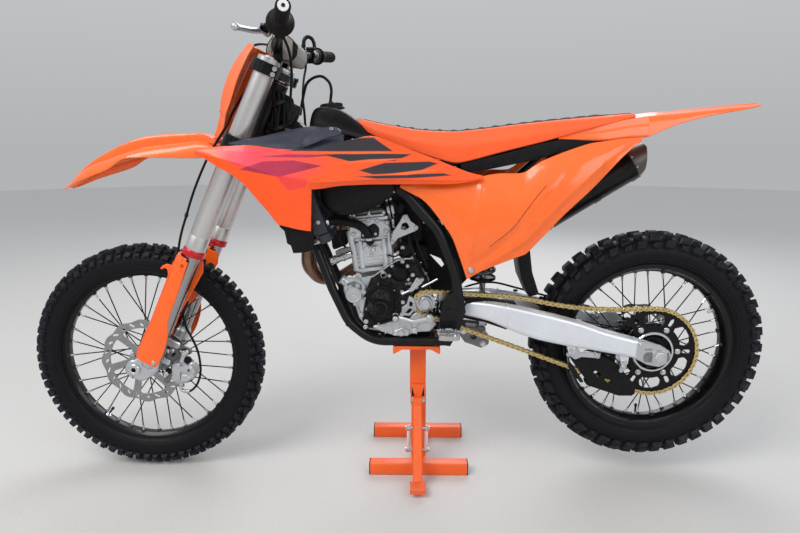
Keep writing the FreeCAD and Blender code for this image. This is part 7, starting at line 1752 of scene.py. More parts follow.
k.pipe(crom([W(768, -70, 690), W(760, -72, 676), W(744, -70, 668), W(724, -66, 672)], 6), 2.4, M["hose"], 10)
k.bolt(W(752, -66, 678), (0, -1, 0), 4.6, M["zinc"], 4)
k.bolt(W(767, -66, 692), (0, -1, 0), 4.6, M["zinc"], 4)
k.cyl(W(752, -56, 678), W(752, -66, 678), 6, M["cast"], 18)
k.cyl(W(767, -50, 692), W(767, -66, 692), 6, M["cast"], 18)
# coolant hose along the near side of the head
k.pipe(crom([W(548, -86, 765), W(566, -80, 769), W(590, -74, 769), W(618, -72, 765), W(644, -73, 757), W(664, -74, 741), W(673, -72, 722), W(675, -62, 708)], 6), 12.5, M["hose"], 20)
for x, y, z, w in ((556, -83, 767, (1, 0.3, 0.15)), (673, -71, 721, (0.1, 0.3, -1))):
    k.turn(W(x, y, z), w, [(-3.5, 12), (-3.5, 13.8), (3.5, 13.8), (3.5, 12)], M["zinc"], 28)
k.plate(rounded([(648, 716), (700, 722), (702, 748), (688, 764), (668, 752), (650, 738)], 10, 4), -69, -60, M["engine_black"], (), 3.0)
# a plain three-cornered boss and ribs on the barrel's face
k.plate(rounded([(-14, 70), (14, 70), (0, 44)], 3, 3), -62, -56, M["machined"], [rounded([(-6, 66), (6, 66), (0, 55)], 1.5, 2)], 1.2, at=lambda a, b, t: L(a, t, b))
for z in (18, 30, 42):
    k.plate(rounded([(-50, z), (48, z - 2), (48, z + 2), (-50, z + 4)], 1.8, 2), -60.5, -55, M["cast"], (), 1.4, at=lambda a, b, t: L(a, t, b))
k.pipe(crom([L(-52, -50, 4), L(-53, -53, 30), L(-54, -54, 64), L(-58, -56, 98), L(-60, -54, 120)], 5), 9.5, M["cast"], 18)
k.pipe(crom([L(50, -52, 6), L(50, -54, 40), L(50, -55, 80), L(52, -58, 118)], 5), 7.0, M["cast"], 16)
# starter motor, wiring and hoses that fill the room behind the barrel, with plain black plates as dark fill: they stand
# for unmodelled parts and paint the shade in that room
k.cyl(W(776, -50, 684), W(776, 30, 684), 27, M["engine_black"], 40, bevel=4)
k.cyl(W(776, -58, 684), W(776, -50, 684), 18, M["black_alloy"], 32, bevel=2)
k.plate(rounded([(752, 700), (800, 706), (838, 690), (842, 650), (806, 640), (800, 700)], 8, 3), -30, 20, M["black_plastic"], (), 4)
k.plate(rounded([(744, 738), (744, 800), (812, 812), (826, 760), (820, 706), (770, 700)], 10, 3), -40, 40, M["black_plastic"], (), 5)
k.plate(rounded([(560, 672), (604, 690), (612, 744), (604, 792), (560, 806), (552, 740)], 8, 3), 0, 34, M["black_plastic"], (), 5)
for pts, r in ((((735, -60, 828), (752, -60, 806), (768, -60, 780), (782, -60, 744), (786, -62, 702), (804, -64, 660), (819, -64, 636)), 4.6), (((742, -50, 812), (764, -52, 770), (772, -54, 730), (794, -56, 690)), 3.2),
               (((800, -70, 742), (812, -72, 700), (826, -72, 664), (838, -72, 636)), 3.6), (((590, -40, 812), (600, -46, 790), (592, -50, 752), (586, -52, 716), (606, -56, 690), (630, -60, 672)), 3.4)):
    k.pipe(crom([W(*q) for q in pts], 6), r, M["hose"], 12)
k.plate(rounded([(748, 792), (768, 786), (776, 812), (756, 824)], 4, 3), -66, -44, M["black_plastic"], (), 3)
k.plate(rounded([(579, 665), (612, 672), (621, 682), (616, 694), (590, 688), (574, 680)], 5, 3), -62, -50, M["cast_dark"], (), 2.0)
k.turn(W(560, -56, 650), (1, 0, 0.38), [(0, 9), (3, 11), (14, 11), (15, 13), (20, 13), (21, 11), (36, 11), (37, 13.4), (43, 13.4), (44, 12), (66, 12)], M["steel"], 26)
k.finish(CHASSIS, ["cylinder", "cylinder_head", "engine_head_stays"], smooth=34)

k = Kit("clutch_cover_cast")
CL = rounded([(640, 522), (660, 482), (710, 459), (790, 457), (840, 491), (855, 550), (830, 619), (780, 645), (700, 615), (650, 589)], 16, 4)
k.plate(CL, 64.6, 84, M["cast"], (), 3)
k.plate([(lerp(a, 745, 0.05), lerp(b, 552, 0.05)) for a, b in CL], 84, 96, M["engine_black"], (), 5)
k.turn(W(768, 92, 552), (0, 1, 0), [(0, 66), (6, 66), (9, 63), (11, 58), (14, 56), (15.6, 50)], M["engine_black"], 64)
k.turn(W(668, 92, 524), (0, 1, 0), [(0, 20), (6, 19), (9, 16), (11, 10)], M["cast"], 32)
for i in range(8):
    t = 2 * math.pi * (i + 0.3) / 8
    k.cyl(W(768 + 60 * math.cos(t), 98, 552 + 60 * math.sin(t)), W(768 + 60 * math.cos(t), 104, 552 + 60 * math.sin(t)), 6, M["engine_black"], 18, bevel=1)
    k.bolt(W(768 + 60 * math.cos(t), 103.6, 552 + 60 * math.sin(t)), (0, 1, 0), 3.8, M["zinc"], 3, washer=False)
for x, z in ((652, 528), (668, 489), (712, 468), (700, 606), (660, 580), (776, 636), (842, 500), (790, 466)):
    k.bolt(W(x, 92, z), (0, 1, 0), 4.2, M["zinc"], 3.2)
k.cyl(W(700, 90, 590), W(700, 104, 590), 11, M["orange_metal"], 26, bevel=1.5)
k.finish(CHASSIS, ["clutch_cover"], smooth=34)

# exhaust: header with a swelling at its lowest bend, a flange, springs and the silencer
HEADER = [(609, 4, 751), (545, 4, 748), (488, 10, 700), (484, 30, 622), (505, 80, 570), (560, 116, 562), (660, 130, 624), (790, 106, 690), (890, 76, 704), (1000, 84, 706), (1086, 98, 696), (1150, 100, 735.8)]
k = Kit("exhaust_header_bent")
line = bent([W(*p) for p in HEADER], 70, 9)
along = np.concatenate([[0], np.cumsum(np.linalg.norm(np.diff(line, axis=0), axis=1))])
even = np.linspace(0, along[-1], 90)
line = np.stack([np.interp(even, along, line[:, i]) for i in range(3)], 1)
k.pipe(line, [19.2 + 4.2 * math.exp(-((s - 205) / 42) ** 2) for s in even], M["copper"], 28)
for i in (22, 38, 52, 68, 80):
    d = un(line[i + 1] - line[i])
    k.turn(line[i], d, [(-1.6, 19.0), (-0.8, 20.0), (0.8, 20.0), (1.6, 19.0)], M["pipe"], 28)
k.turn(line[0], line[2] - line[0], [(-3, 22), (-3, 27), (2, 27), (5, 22)], M["pipe"], 32)
k.turn(line[-1] - un(line[-1] - line[-3]) * 24, line[-1] - line[-3], [(0, 20), (1, 22.6), (22, 22.6), (23.5, 21)], M["pipe"], 32)
k.plate(rounded([(640, 596), (690, 618), (740, 646), (742, 668), (690, 650), (640, 618)], 6, 3), 146.4, 148.4, M["cast_dark"], (), 0.5)
k.finish(CHASSIS, ["exhaust_header"], smooth=40)

SIL0, SILD = W(1156, 100, 739.5), np.array((math.cos(math.radians(31.9)), 0, math.sin(math.radians(31.9))))
SILN = np.array((-SILD[2], 0, SILD[0]))
k = Kit("silencer_sleeve")
k.turn(SIL0, SILD, [(0, 24), (0, 26), (8, 26.6), (12, 28), (40, 46.6), (43, 47.6), (50, 47.8), (54, 48.4), (56, 48.4), (58, 47.6), (100, 47.6), (300, 47.6), (330, 47.6), (332, 48.3), (345, 48.3), (346, 47)], M["silencer"], 72)
k.turn(SIL0, SILD, [(46, 48.2), (47, 49), (54, 49), (55, 48.2)], M["steel"], 72, cap=False)


def cap_end(phi, r_of, s0=346.0):
    """How far the end cap reaches in this direction before its slanting end."""
    s = s0
    while s < 402:
        q = SIL0 + SILD * (s + 1) + r_of(s + 1) * (math.cos(phi) * SILN + math.sin(phi) * AX)
        x, z = q[0] + 743.5, q[2]
        lim = float(np.interp(z, [852, 874, 906, 1010], [1440, 1467, 1484, 1484]))
        if x > lim:
            break
        s += 0.5
    return s


cone_r = lambda s: 48 - 11 * (s - 345) / 57
rows, lips, bores = [], [], []
for j in range(64):
    phi = 2 * math.pi * j / 64
    e = cap_end(phi, cone_r)
    rows.append([SIL0 + SILD * s + (cone_r(s) + (0.2 if 0 < i < 7 else 0)) * (math.cos(phi) * SILN + math.sin(phi) * AX) for i, s in enumerate(np.linspace(345.5, e, 8))])
    e2 = cap_end(phi, lambda s: 25.0)
    e3 = cap_end(phi, lambda s: 22.0)
    lips.append([SIL0 + SILD * e + cone_r(e) * (math.cos(phi) * SILN + math.sin(phi) * AX), SIL0 + SILD * (min(e, e2) - 0.4) + (cone_r(e) - 3.0) * (math.cos(phi) * SILN + math.sin(phi) * AX),
                 SIL0 + SILD * (e2 - 1.4) + 25.0 * (math.cos(phi) * SILN + math.sin(phi) * AX), SIL0 + SILD * (e3 - 2.0) + 22.0 * (math.cos(phi) * SILN + math.sin(phi) * AX)])
    bores.append([SIL0 + SILD * (e3 - 2.0) + 22.0 * (math.cos(phi) * SILN + math.sin(phi) * AX), SIL0 + SILD * 338 + 22.0 * (math.cos(phi) * SILN + math.sin(phi) * AX), SIL0 + SILD * 337.4])
k.grid(rows, M["carbon"], wrap_u=True)
k.grid(lips, M["carbon"], wrap_u=True)
k.grid(bores, M["black_alloy"], wrap_u=True)
k.turn(SIL0, SILD, [(341, 48.0), (342, 49.2), (349, 49.2), (350, 47.6)], M["carbon"], 72, cap=False)
for j in range(9):  # rivets round the cap's seam
    phi = 2 * math.pi * (j + 0.5) / 9
    d = math.cos(phi) * SILN + math.sin(phi) * AX
    k.rev([(0.0, 1.8), (1.6, 1.4), (3.0, 0.2), (3.0, -0.4)], SIL0 + SILD * 345.4 + d * 49.2, d, M["steel"], 12)
    k.rev([(0.0, 1.6), (1.6, 1.2), (2.8, 0.2), (2.8, -0.4)], SIL0 + SILD * 50.5 + d * 48.9, d, M["steel"], 12)
# strap, hanger and clip
k.turn(SIL0, SILD, [(196, 47.8), (196.6, 49.4), (216, 49.4), (216.6, 47.8)], M["black_alloy"], 72, cap=False)
h = SIL0 + SILD * 206
k.plate(rounded([(0, 40), (16, 40), (22, 56), (14, 70), (-12, 70), (-18, 56), (-14, 40)], 6, 3), 40, 46, M["black_alloy"], [ring(2, 60, 4.2)], 1.0, at=lambda a, b, t: h + SILD * a + SILN * (b - 16) + AX * (t - 88))
k.bolt(h + SILD * 2 + SILN * 44 - AX * 48, (0, -1, 0), 5.0, M["zinc"], 3.4)
for a, r in ((12, 28), (18, 32)):  # header springs
    p = SIL0 + SILD * (a - 16) - AX * (r - 2)
    k.pipe([p + SILD * (3.0 * i / 8) + 3.0 * (math.cos(i * 0.8) * SILN + math.sin(i * 0.8) * AX) for i in range(40)], 0.8, M["zinc"], 6)
k.plate(rounded([(322, -50), (340, -50.5), (341, -46), (323, -45)], 1.5, 2), -7, 7, M["black_plastic"], (), 0.6, at=lambda a, b, t: SIL0 + SILD * a + SILN * b * 0.985 + AX * t)
k.finish(CHASSIS, ["silencer"], smooth=32)

k = Kit("radiators_finned")
for y0 in (56, -150):
    def rad_at(a, b, t, y0=y0):
        return W(546 + a * 0.9397 - t * 0.342, y0 + b, 712 + a * 0.342 + t * 0.9397)
    RR = ((0.9397, 0, 0.342), (0, 1, 0), (-0.342, 0, 0.9397))
    k.block(rad_at(17, 47, 14), (33, 93, 28), M["radiator"], RR, 6)
    k.block(rad_at(17, 47, 222), (33, 93, 28), M["radiator"], RR, 6)
    for b in (2, 92):
        k.block(rad_at(17, b, 118), (30, 4, 182), M["radiator"], RR, 1)
    k.block(rad_at(17, 47, 118), (21, 87, 182), M["black_alloy"], RR, 0.4)
    for b in np.linspace(8, 86, 12):
        k.block(rad_at(17, b, 118), (24, 1.6, 181), M["radiator"], RR, 0.3)
    for c in np.linspace(30, 206, 54):
        k.block(rad_at(17, 47, c), (24.5, 86, 0.9), M["radiator"], RR, 0.2)
    s = 1 if y0 > 0 else -1
    k.cyl(rad_at(20, 47 - s * 40, 20), rad_at(34, 47 - s * 62, 16), 11, M["radiator"], 24)
    k.bolt(rad_at(17, 47 + s * 46.4, 60), (0, s, 0), 4.4, M["zinc"], 2.6)
    k.bolt(rad_at(17, 47 + s * 46.4, 180), (0, s, 0), 4.4, M["zinc"], 2.6)
# the coolant elbow in bright alloy, its clamp and the low bracket
k.pipe(crom([W(510, -110, 716), W(520, -111, 716), W(534, -110, 717), (W(546, -106, 722)), W(556, -96, 726)], 6), 8.0, M["alloy"], 18)
k.turn(W(511, -110, 716), (1, 0, 0), [(-4, 8), (-4, 10.2), (3, 10.2), (3, 8)], M["zinc"], 24)
k.plate(rounded([(536, 718), (548, 722), (561, 735), (574, 755), (567, 772), (556, 740), (545, 732)], 4, 3), -62, -57, M["alloy"], (), 0.8)
k.bolt(W(559, -62, 738), (0, -1, 0), 4.4, M["zinc"], 2.8)
k.finish(CHASSIS, ["radiators"], smooth=34)

# ------------------------------------------------------------------ chain, swingarm, brake, pegs and levers
DRIVE_C = W(833, 0, 533)
SLACK = [(960, 559), (1101, 549), (1190, 532), (1270, 520.5), (1370, 515.5)]
R1, R2 = 33.5, 127.0
dx, dz = 1490 - 833, 391 - 533
dist, tilt = math.hypot(dx, dz), math.atan2(dz, dx)
lap = math.asin((R2 - R1) / dist)
low = tilt - math.pi / 2 - lap


def on_circle(cx, cz, r, a):
    return (cx + r * math.cos(a), cz + r * math.sin(a))


start, end = math.radians(86), math.radians(93)
path = [on_circle(833, 533, R1, a) for a in np.linspace(start, low + 2 * math.pi, 24)]
path += [on_circle(1490, 391, R2, a) for a in np.linspace(low, end, 60)]
a1, b1 = on_circle(833, 533, R1, start), on_circle(1490, 391, R2, end)
up = crom([(b1[0] + 20, b1[1] - 1.6), b1] + SLACK[::-1] + [a1, (a1[0] - 12, a1[1])], 10)
up = [tuple(q) for q in up if a1[0] + 2 < q[0] < b1[0] - 2]
path += up + [path[0]]
path = np.array(path)
run = np.concatenate([[0], np.cumsum(np.linalg.norm(np.diff(path, axis=0), axis=1))])
LINKS = 2 * int(round(run[-1] / 15.875 / 2))
pins = [np.array((np.interp(i * run[-1] / LINKS, run, path[:, 0]), np.interp(i * run[-1] / LINKS, run, path[:, 1]))) for i in range(LINKS)]
k = Kit("chain_linked")
for i in range(LINKS):
    p, q = pins[i], pins[(i + 1) % LINKS]
    d = un(q - p)
    n = np.array((-d[1], d[0]))
    mid, hl = (p + q) / 2, np.linalg.norm(q - p) / 2
    rr = 6.2 if i % 2 else 5.9
    pts = []
    for t in np.linspace(-100, 100, 8):
        c = math.radians(t)
        pts.append(mid + d * (hl + rr * math.cos(c)) + n * rr * math.sin(c))
    pts.append(mid + n * (rr * 0.74))
    for t in np.linspace(80, 280, 8):
        c = math.radians(t)
        pts.append(mid + d * (-hl + rr * math.cos(c)) + n * rr * math.sin(c))
    pts.append(mid - n * (rr * 0.74))
    pts = [tuple(a) for a in pts]
    for s in (-1, 1):
        y0, y1 = ((-70 + s * 5.8, -70 + s * 7.6) if i % 2 else (-70 + s * 3.7, -70 + s * 5.6))
        k.plate(pts, y0, y1, M["gold"] if i % 2 else M["gold"], (), 0.35)
    k.cyl(W(p[0], -74.8, p[1]), W(p[0], -65.2, p[1]), 5.0, M["roller"], 12, bevel=0.3)
    k.cyl(W(p[0], -78.0, p[1]), W(p[0], -62.0, p[1]), 2.6, M["roller"], 8, bevel=0.5)
k.finish(CHASSIS, ["chain"], smooth=34)

k = Kit("drive_sprocket_cut")
teeth = []
for j in range(13):
    a0 = 360 / 13 * j + 4
    for da, r in ((-10.5, 27.6), (-6.5, 28.0), (-4.0, 31.6), (-1.6, 34.6), (1.6, 34.6), (4.0, 31.6), (6.5, 28.0), (10.5, 27.6)):
        t = math.radians(a0 + da)
        teeth.append((833 + r * math.cos(t), 533 + r * math.sin(t)))
k.plate(teeth, -72.6, -67.4, M["steel"], [ring(833, 533, 9)], 0.8)
k.turn(W(833, -66, 533), (0, -1, 0), [(0, 12), (8, 12), (8.4, 19.4), (15, 19.4), (16, 18)], M["steel"], 36)
k.bolt(W(833, -80, 533), (0, -1, 0), 15.2, M["zinc"], 9, washer=True)
k.cyl(W(833, -88, 533), W(833, -91.6, 533), 8.6, M["steel"], 24, bevel=1.0)
k.rev([(13.4, 0), (13.8, 1.2), (11, 1.6), (8.8, 1.0)], W(833, -89.4, 533), (0, -1, 0), M["zinc"], 30)
k.finish(CHASSIS, ["drive_sprocket"], smooth=30)

ARM = [(880, 545, 496, 64, 84), (930, 546, 500, 64, 84), (1024, 545, 484, 78, 112), (1115, 529, 443, 86, 121), (1194, 510, 424, 88, 123),
       (1268, 491, 411, 88, 123), (1324, 470, 402, 88, 123), (1423, 442, 383, 89, 122), (1490, 423, 362, 90, 122), (1524, 406, 374, 90, 121)]
k = Kit("swingarm_beams")
xs = [880, 886, 905, 930, 955, 985, 1010, 1035, 1070, 1110, 1150, 1194, 1230, 1268, 1300, 1330, 1370, 1410, 1440, 1466, 1490, 1508, 1518, 1523]
for side in (LEFT, RIGHT):
    rows = []
    sm = np.array([table(ARM, x) for x in xs])
    sm2 = sm.copy()
    sm2[1:-1] = (sm[:-2] + 2 * sm[1:-1] + sm[2:]) / 4
    for x, (zt, zb, y0, y1) in zip(xs, sm2):
        g = 0.0 if 883 < x < 1520 else 3.0
        sec = rounded([(y0 + g, zb + g), (y1 - g, zb + 4 + g), (y1 - g, zt - 4 - g), (y0 + g, zt - g)], [5, 11, 11, 5], 4)
        rows.append([W(x, side * a, b) for a, b in sec])
    k.grid(rows, M["swingarm"], wrap_v=True, cap=True)
    # pressed panel line on the outer face
    for zz in (0.2, 0.84):
        k.sweep([W(x, side * (table(ARM, x)[3] - 0.3), lerp(table(ARM, x)[1] + 6, table(ARM, x)[0] - 6, zz)) for x in np.linspace(1060, 1420, 18)], [(-1.2, -0.8), (1.2, -0.8), (0.7, 0.9), (-0.7, 0.9)], M["swingarm"], hint=(0, side, 0))
    # cast end: axle slot, adjuster block, bolts and marks
    end_o = rounded([(1424, 386), (1424, 438), (1452, 436), (1494, 425), (1520, 408), (1525, 392), (1516, 372), (1492, 361), (1458, 368)], 8, 4)
    lo_y, hi_y = side * 112, side * 124
    k.plate(end_o, lo_y, hi_y, M["alloy"], (), 2.4)
    # the axle slot, drawn as a darker plate: painted shade for the opening round the adjuster
    k.plate(rounded([(1446, 376), (1446, 406), (1520, 406), (1520, 376)], 13, 5), side * 118, side * 124.6, M["cast_dark"], (), 0.8)
    k.plate(rounded([(1470, 373), (1470, 409), (1512, 409), (1512, 373)], 6, 3), side * 118, side * 127.4, M["alloy"], [ring(1490, 391, 13)], 1.4)
    for j in range(6):
        k.block(W(1450 + j * 3.6, side * 124.6, 414), (0.8, 0.8, 5), M["black_alloy"], None, 0.1)
    k.cyl(W(1512, side * 104, 390), W(1531, side * 104, 390), 5.4, M["zinc"], 18)
    k.bolt(W(1524, side * 104, 390), (1, 0, 0), 7.0, M["zinc"], 5, washer=False)
    k.bolt(W(1437, side * 123.6, 428), (0, side, 0), 4.4, M["zinc"], 2.6, kind="torx")
    # weld beads where the beam meets the cast ends
    for x in (1062, 1426):
        zt, zb, y0, y1 = table(ARM, x)
        sec = rounded([(y0, zb), (y1, zb + 4), (y1, zt - 4), (y0, zt)], [5, 11, 11, 5], 4)
        k.pipe([W(x + 0.9 * math.sin(j * 2.2), side * a, b) for j, (a, b) in enumerate(sec + [sec[0]])], 1.7, M["swingarm"], 8)
BRO = rounded([(928, 540), (1010, 540), (1068, 522), (1072, 470), (1040, 466), (928, 500)], 8, 3)
k.plate(BRO, -84, -47, M["swingarm"], (), 3)
k.plate(BRO, 47, 84, M["swingarm"], (), 3)
k.plate(rounded([(1049, 528), (1068, 522), (1072, 472), (1049, 468)], 6, 3), -84, 84, M["swingarm"], (), 3)
for s in (-1, 1):
    k.cyl(W(898, s * 64, 519), W(898, s * 86, 519), 27, M["swingarm"], 48, bevel=3)
    k.turn(W(898, s * 86, 519), (0, s, 0), [(-1, 24), (0, 24), (1.5, 23), (1.5, 13)], M["black_plastic"], 40)
k.cyl(W(898, -64, 519), W(898, 64, 519), 21, M["swingarm"], 40)
for x, z in ((1246, 418), (1398, 384)):  # lugs for the chain guide
    k.plate(rounded([(x - 16, z + 14), (x + 16, z + 10), (x + 12, z - 22), (x - 4, z - 26)], 5, 3), -108, -98, M["swingarm"], (), 1.6)
    k.bolt(W(x + 2, -108, z - 14), (0, -1, 0), 5.2, M["zinc"], 3.4)
# hose clips along the far arm
for x in (1120, 1260):
    zt = table(ARM, x)[0]
    k.block(W(x, 106, zt + 1), (14, 12, 6), M["black_plastic"], None, 2)
k.finish(CHASSIS, ["swingarm"], smooth=34)

k = Kit("rear_axle_machined")
k.rev([(6, -133), (9.4, -133), (10, -132.4), (10, 122), (9.4, 123)], REAR_C, AX, M["zinc"], 32)
k.rev([(12.4, -124.4), (12.4, -127), (20, -127), (20, -129.2), (14, -130)], REAR_C, AX, M["zinc"], 40)
k.bolt(REAR_C - AX * 127.2, (0, -1, 0), 15.5, M["alloy"], 8.4, washer=False)
k.rev([(0, 132), (8, 132), (11, 131), (15, 129.6), (19.6, 127.6), (19.6, 124), (12, 123)], REAR_C, AX, M["alloy"], 40)
# a black disc in the axle's end: painted shade for its hollow bore
k.rev([(0.0, -131.6), (6.2, -131.6)], REAR_C, AX, M["black_alloy"], 20)
for y0, y1 in ((-90, -81), (62.5, 90)):
    k.rev([(12.5, y0), (19, y0), (20, y0 + 1), (20, y1 - 1), (19, y1), (12.5, y1)], REAR_C, AX, M["black_alloy"], 40)
k.finish(CHASSIS, ["rear_axle"], smooth=32)

# chain guide with its brackets; the slider on the arm belongs with it
GO = rounded([(1232, 404), (1252, 374), (1272, 345), (1312, 293), (1350, 276), (1398, 263), (1445, 263), (1444, 292), (1392, 352), (1366, 372), (1314, 392), (1272, 373)], [6, 8, 8, 8, 8, 8, 6, 6, 6, 6, 6, 6], 3)
holes = [rounded([(1318, 330), (1327, 337), (1345, 322), (1336, 315)], 4, 3), rounded([(1352, 308), (1361, 315), (1379, 301), (1370, 294)], 4, 3)]
k = Kit("chain_guide_moulded")
k.plate(GO, -87.6, -81.4, M["black_plastic"], holes, 1.6)
k.plate(GO, -58, -52.4, M["black_plastic"], holes, 1.6)
for q in ((1246, 386), (1330, 380), (1400, 338)):
    k.bolt(W(q[0], -87.6, q[1]), (0, -1, 0), 5.4, M["zinc"], 3.0)
k.plate(rounded([(1244, 349), (1262, 350), (1296, 300), (1286, 298)], 3, 2), -84, -55, M["black_plastic"], (), 1)
k.plate(rounded([(1300, 304), (1400, 266), (1440, 264), (1440, 258.4), (1398, 258.6), (1304, 291)], 2, 2), -84, -55, M["black_plastic"], (), 1)
k.plate(rounded([(1240, 412), (1262, 420), (1276, 396), (1300, 399), (1336, 392), (1330, 378), (1280, 382), (1262, 374), (1246, 386)], 5, 3), -101, -94, M["alloy"], (), 1.4)
k.plate(rounded([(1378, 396), (1412, 388), (1410, 352), (1398, 336), (1390, 344), (1396, 366), (1376, 380)], 5, 3), -101, -94, M["alloy"], (), 1.4)
for q in ((1254, 392), (1322, 388), (1402, 350)):
    k.cyl(W(q[0], -94, q[1]), W(q[0], -86, q[1]), 6, M["zinc"], 18)
    k.bolt(W(q[0], -101, q[1]), (0, -1, 0), 5.0, M["zinc"], 3.2)
k.plate(rounded([(882, 546), (900, 551), (1000, 549.4), (1086, 539), (1096, 528), (1000, 538), (882, 538)], 3, 2), -86.6, -60, M["black_plastic"], (), 1.2)
k.plate(rounded([(882, 504), (930, 506), (1010, 492), (1070, 468), (1066, 458), (1004, 480), (930, 494), (882, 492)], 3, 2), -86.6, -60, M["black_plastic"], (), 1.2)
k.plate(rounded([(876, 546), (914, 548), (960, 546), (1012, 543), (1016, 538), (950, 536), (930, 508), (884, 500), (870, 520)], 6, 3), -92, -86, M["black_plastic"], (), 1.4)
for x, z in ((940, 541), (1000, 540), (898, 504)):
    k.bolt(W(x, -92, z), (0, -1, 0), 3.8, M["zinc"], 2.2, kind="torx")
k.finish(CHASSIS, ["chain_guide"], smooth=32)

# shock absorber with its spring, and the linkage
k = Kit("shock_absorber_coiled")
turns = 7.4
k.pipe([W(1003 + 33 * math.cos(t), 33 * math.sin(t), 594 + 178 * (t / (2 * math.pi * turns))) for t in np.linspace(0, 2 * math.pi * turns, 220)], 5.9, M["spring"], 12)
k.turn(W(1003, 0, 588), (0, 0, 1), [(0, 20), (0, 38), (4, 38.6), (8, 36), (9, 22)], M["black_alloy"], 44)
k.turn(W(1003, 0, 770), (0, 0, 1), [(0, 24), (1, 38.6), (5, 38.6), (6, 34), (7, 34), (8, 38), (13, 38), (14, 26), (28, 26), (34, 22), (40, 18)], M["black_alloy"], 44)
k.cyl(W(1003, 0, 612), W(1003, 0, 778), 23.5, M["steel"], 40)
k.cyl(W(1003, 0, 462), W(1003, 0, 614), 9, M["steel"], 28)
k.turn(W(1003, 0, 578), (0, 0, 1), [(0, 14), (4, 22), (10, 22)], M["black_plastic"], 32)
k.cyl(W(1003, -20, 808), W(1003, 20, 808), 16, M["alloy"], 32, bevel=2)
k.block(W(1003, 0, 462), (30, 40, 34), M["alloy"], None, 6)
LK = rounded([(932, 432), (950, 406), (1000, 388), (1022, 400), (1020, 430), (990, 450), (952, 454)], 9, 3)
for y0, y1 in ((-42, -30), (30, 42)):
    k.plate(LK, y0, y1, M["cast_dark"], [ring(976, 424, 8, 20)], 2)
k.plate([(lerp(a, 978, 0.2), lerp(b, 422, 0.2)) for a, b in LK], -30, 30, M["cast_dark"], (), 2)
for x, z in ((946, 440), (1004, 402), (1006, 432)):
    k.bolt(W(x, -42, z), (0, -1, 0), 7.4, M["zinc"], 4.4)
    k.bolt(W(x, 42, z), (0, 1, 0), 7.4, M["zinc"], 4.4)
k.finish(CHASSIS, ["shock_absorber"], smooth=34)

k = Kit("rear_caliper_cast")
RC = rounded([(1354, 469), (1420, 477), (1445, 452), (1436, 415), (1400, 405), (1354, 429)], 9, 4)
k.plate(RC, 72.6, 86.5, M["cast"], (), 4)
k.plate([(lerp(a, 1400, 0.06), lerp(b, 442, 0.06)) for a, b in RC], 51.5, 59.4, M["cast"], (), 3)
k.plate(rounded([(1354, 468), (1410, 478), (1404, 471), (1380, 458), (1356, 450)], 3, 3), 52, 86, M["cast"], (), 2)
k.cyl(W(1400, 51.4, 438), W(1400, 48.4, 438), 15, M["cast"], 36, bevel=1.5)
for x, z in ((1364, 458), (1432, 444), (1372, 428)):
    k.bolt(W(x, 51.6, z), (0, -1, 0), 5.2, M["zinc"], 3.4)
    k.bolt(W(x, 86.4, z), (0, 1, 0), 5.2, M["zinc"], 3.4)
k.plate(rounded([(1420, 452), (1446, 444), (1478, 416), (1506, 408), (1512, 386), (1490, 372), (1466, 380), (1446, 404), (1424, 420)], 8, 3), 78, 86, M["cast_dark"], [rounded([(1442, 428), (1460, 418), (1456, 404), (1440, 416)], 4, 2), ring(1490, 391, 11, 24)], 1.4)
k.turn(W(1362, 56, 470), (0, 0, 1), [(0, 4.5), (5, 4.5), (5.6, 3.2), (8, 3.2)], M["zinc"], 14)
k.pipe(crom([W(1370, 78, 468), W(1352, 82, 482), W(1326, 96, 486), W(1284, 106, 496), W(1200, 106, 516), W(1120, 106, 538), W(1040, 100, 556), W(960, 98, 540), W(916, 112, 500), W(880, 118, 470), W(862, 124, 462)], 6), 3.2, M["hose"], 12)
k.finish(CHASSIS, ["rear_caliper"], smooth=34)

# pegs: a hinged bracket and an open tread with teeth
k = Kit("foot_pegs_toothed")
for s in (-1, 1):
    k.block(W(893, s * 129.4, 461), (35, 13, 33), M["frame"], None, 3)
    k.cyl(W(893, s * 131, 468), W(893, s * 140, 468), 8.0, M["steel"], 20, bevel=1.5)
    k.bolt(W(876, s * 131, 470), (-1, 0, 0), 5.0, M["zinc"], 3.4)
    k.block(W(895, s * 137, 468), (24, 16, 20), M["steel"], None, 4)
    fr = rounded([(867, 141), (863.5, 160), (866, 192), (882, 196.5), (908, 196.5), (923, 192), (926, 160), (921, 141)], 8, 4)
    inn = inset(fr, 4.4)
    k.plate(fr, 459, 472, M["steel"], [inn], 0.9, at=lambda a, b, t, s=s: W(a, s * b, t))
    k.block(W(895, s * 168, 465), (54, 4.0, 11), M["steel"], None, 0.8)
    k.block(W(895, s * 168, 463), (4.4, 52, 9), M["steel"], None, 0.8)
    n = len(fr)
    line = np.array(fr + [fr[0]])
    seg = np.concatenate([[0], np.cumsum(np.linalg.norm(np.diff(line, axis=0), axis=1))])
    m = int(seg[-1] // 9.5)
    for j in range(m):
        t = (j + 0.5) * seg[-1] / m
        c = np.array([np.interp(t, seg, line[:, 0]), np.interp(t, seg, line[:, 1])])
        e = un(np.array([np.interp(t + 1, seg, line[:, 0]), np.interp(t + 1, seg, line[:, 1])]) - c)
        mid = np.array((895.0, 168.0))
        nin = un(mid - c)
        c = c + nin * 2.2
        pts = [W(*(c + e * u + nin * v), 471.2) * (1, 1, 1) for u, v in ((-3.2, -1.6), (3.2, -1.6), (3.2, 1.6), (-3.2, 1.6))]
        pts = [np.array((q[0], s * q[1], q[2])) for q in pts]
        apex = [W(*(c + e * u), 477.4) for u in (-1.0, 1.0)]
        apex = [np.array((q[0], s * q[1], q[2])) for q in apex]
        k.add(pts + apex, [[0, 1, 5, 4], [1, 2, 5], [2, 3, 4, 5], [3, 0, 4]], M["steel"])
    k.pipe([W(900 + 5 * math.cos(i * 0.7), s * (126 + i * 0.28), 450 + 5 * math.sin(i * 0.7)) for i in range(50)], 1.0, M["zinc"], 6)
k.finish(CHASSIS, ["foot_pegs"], smooth=30)

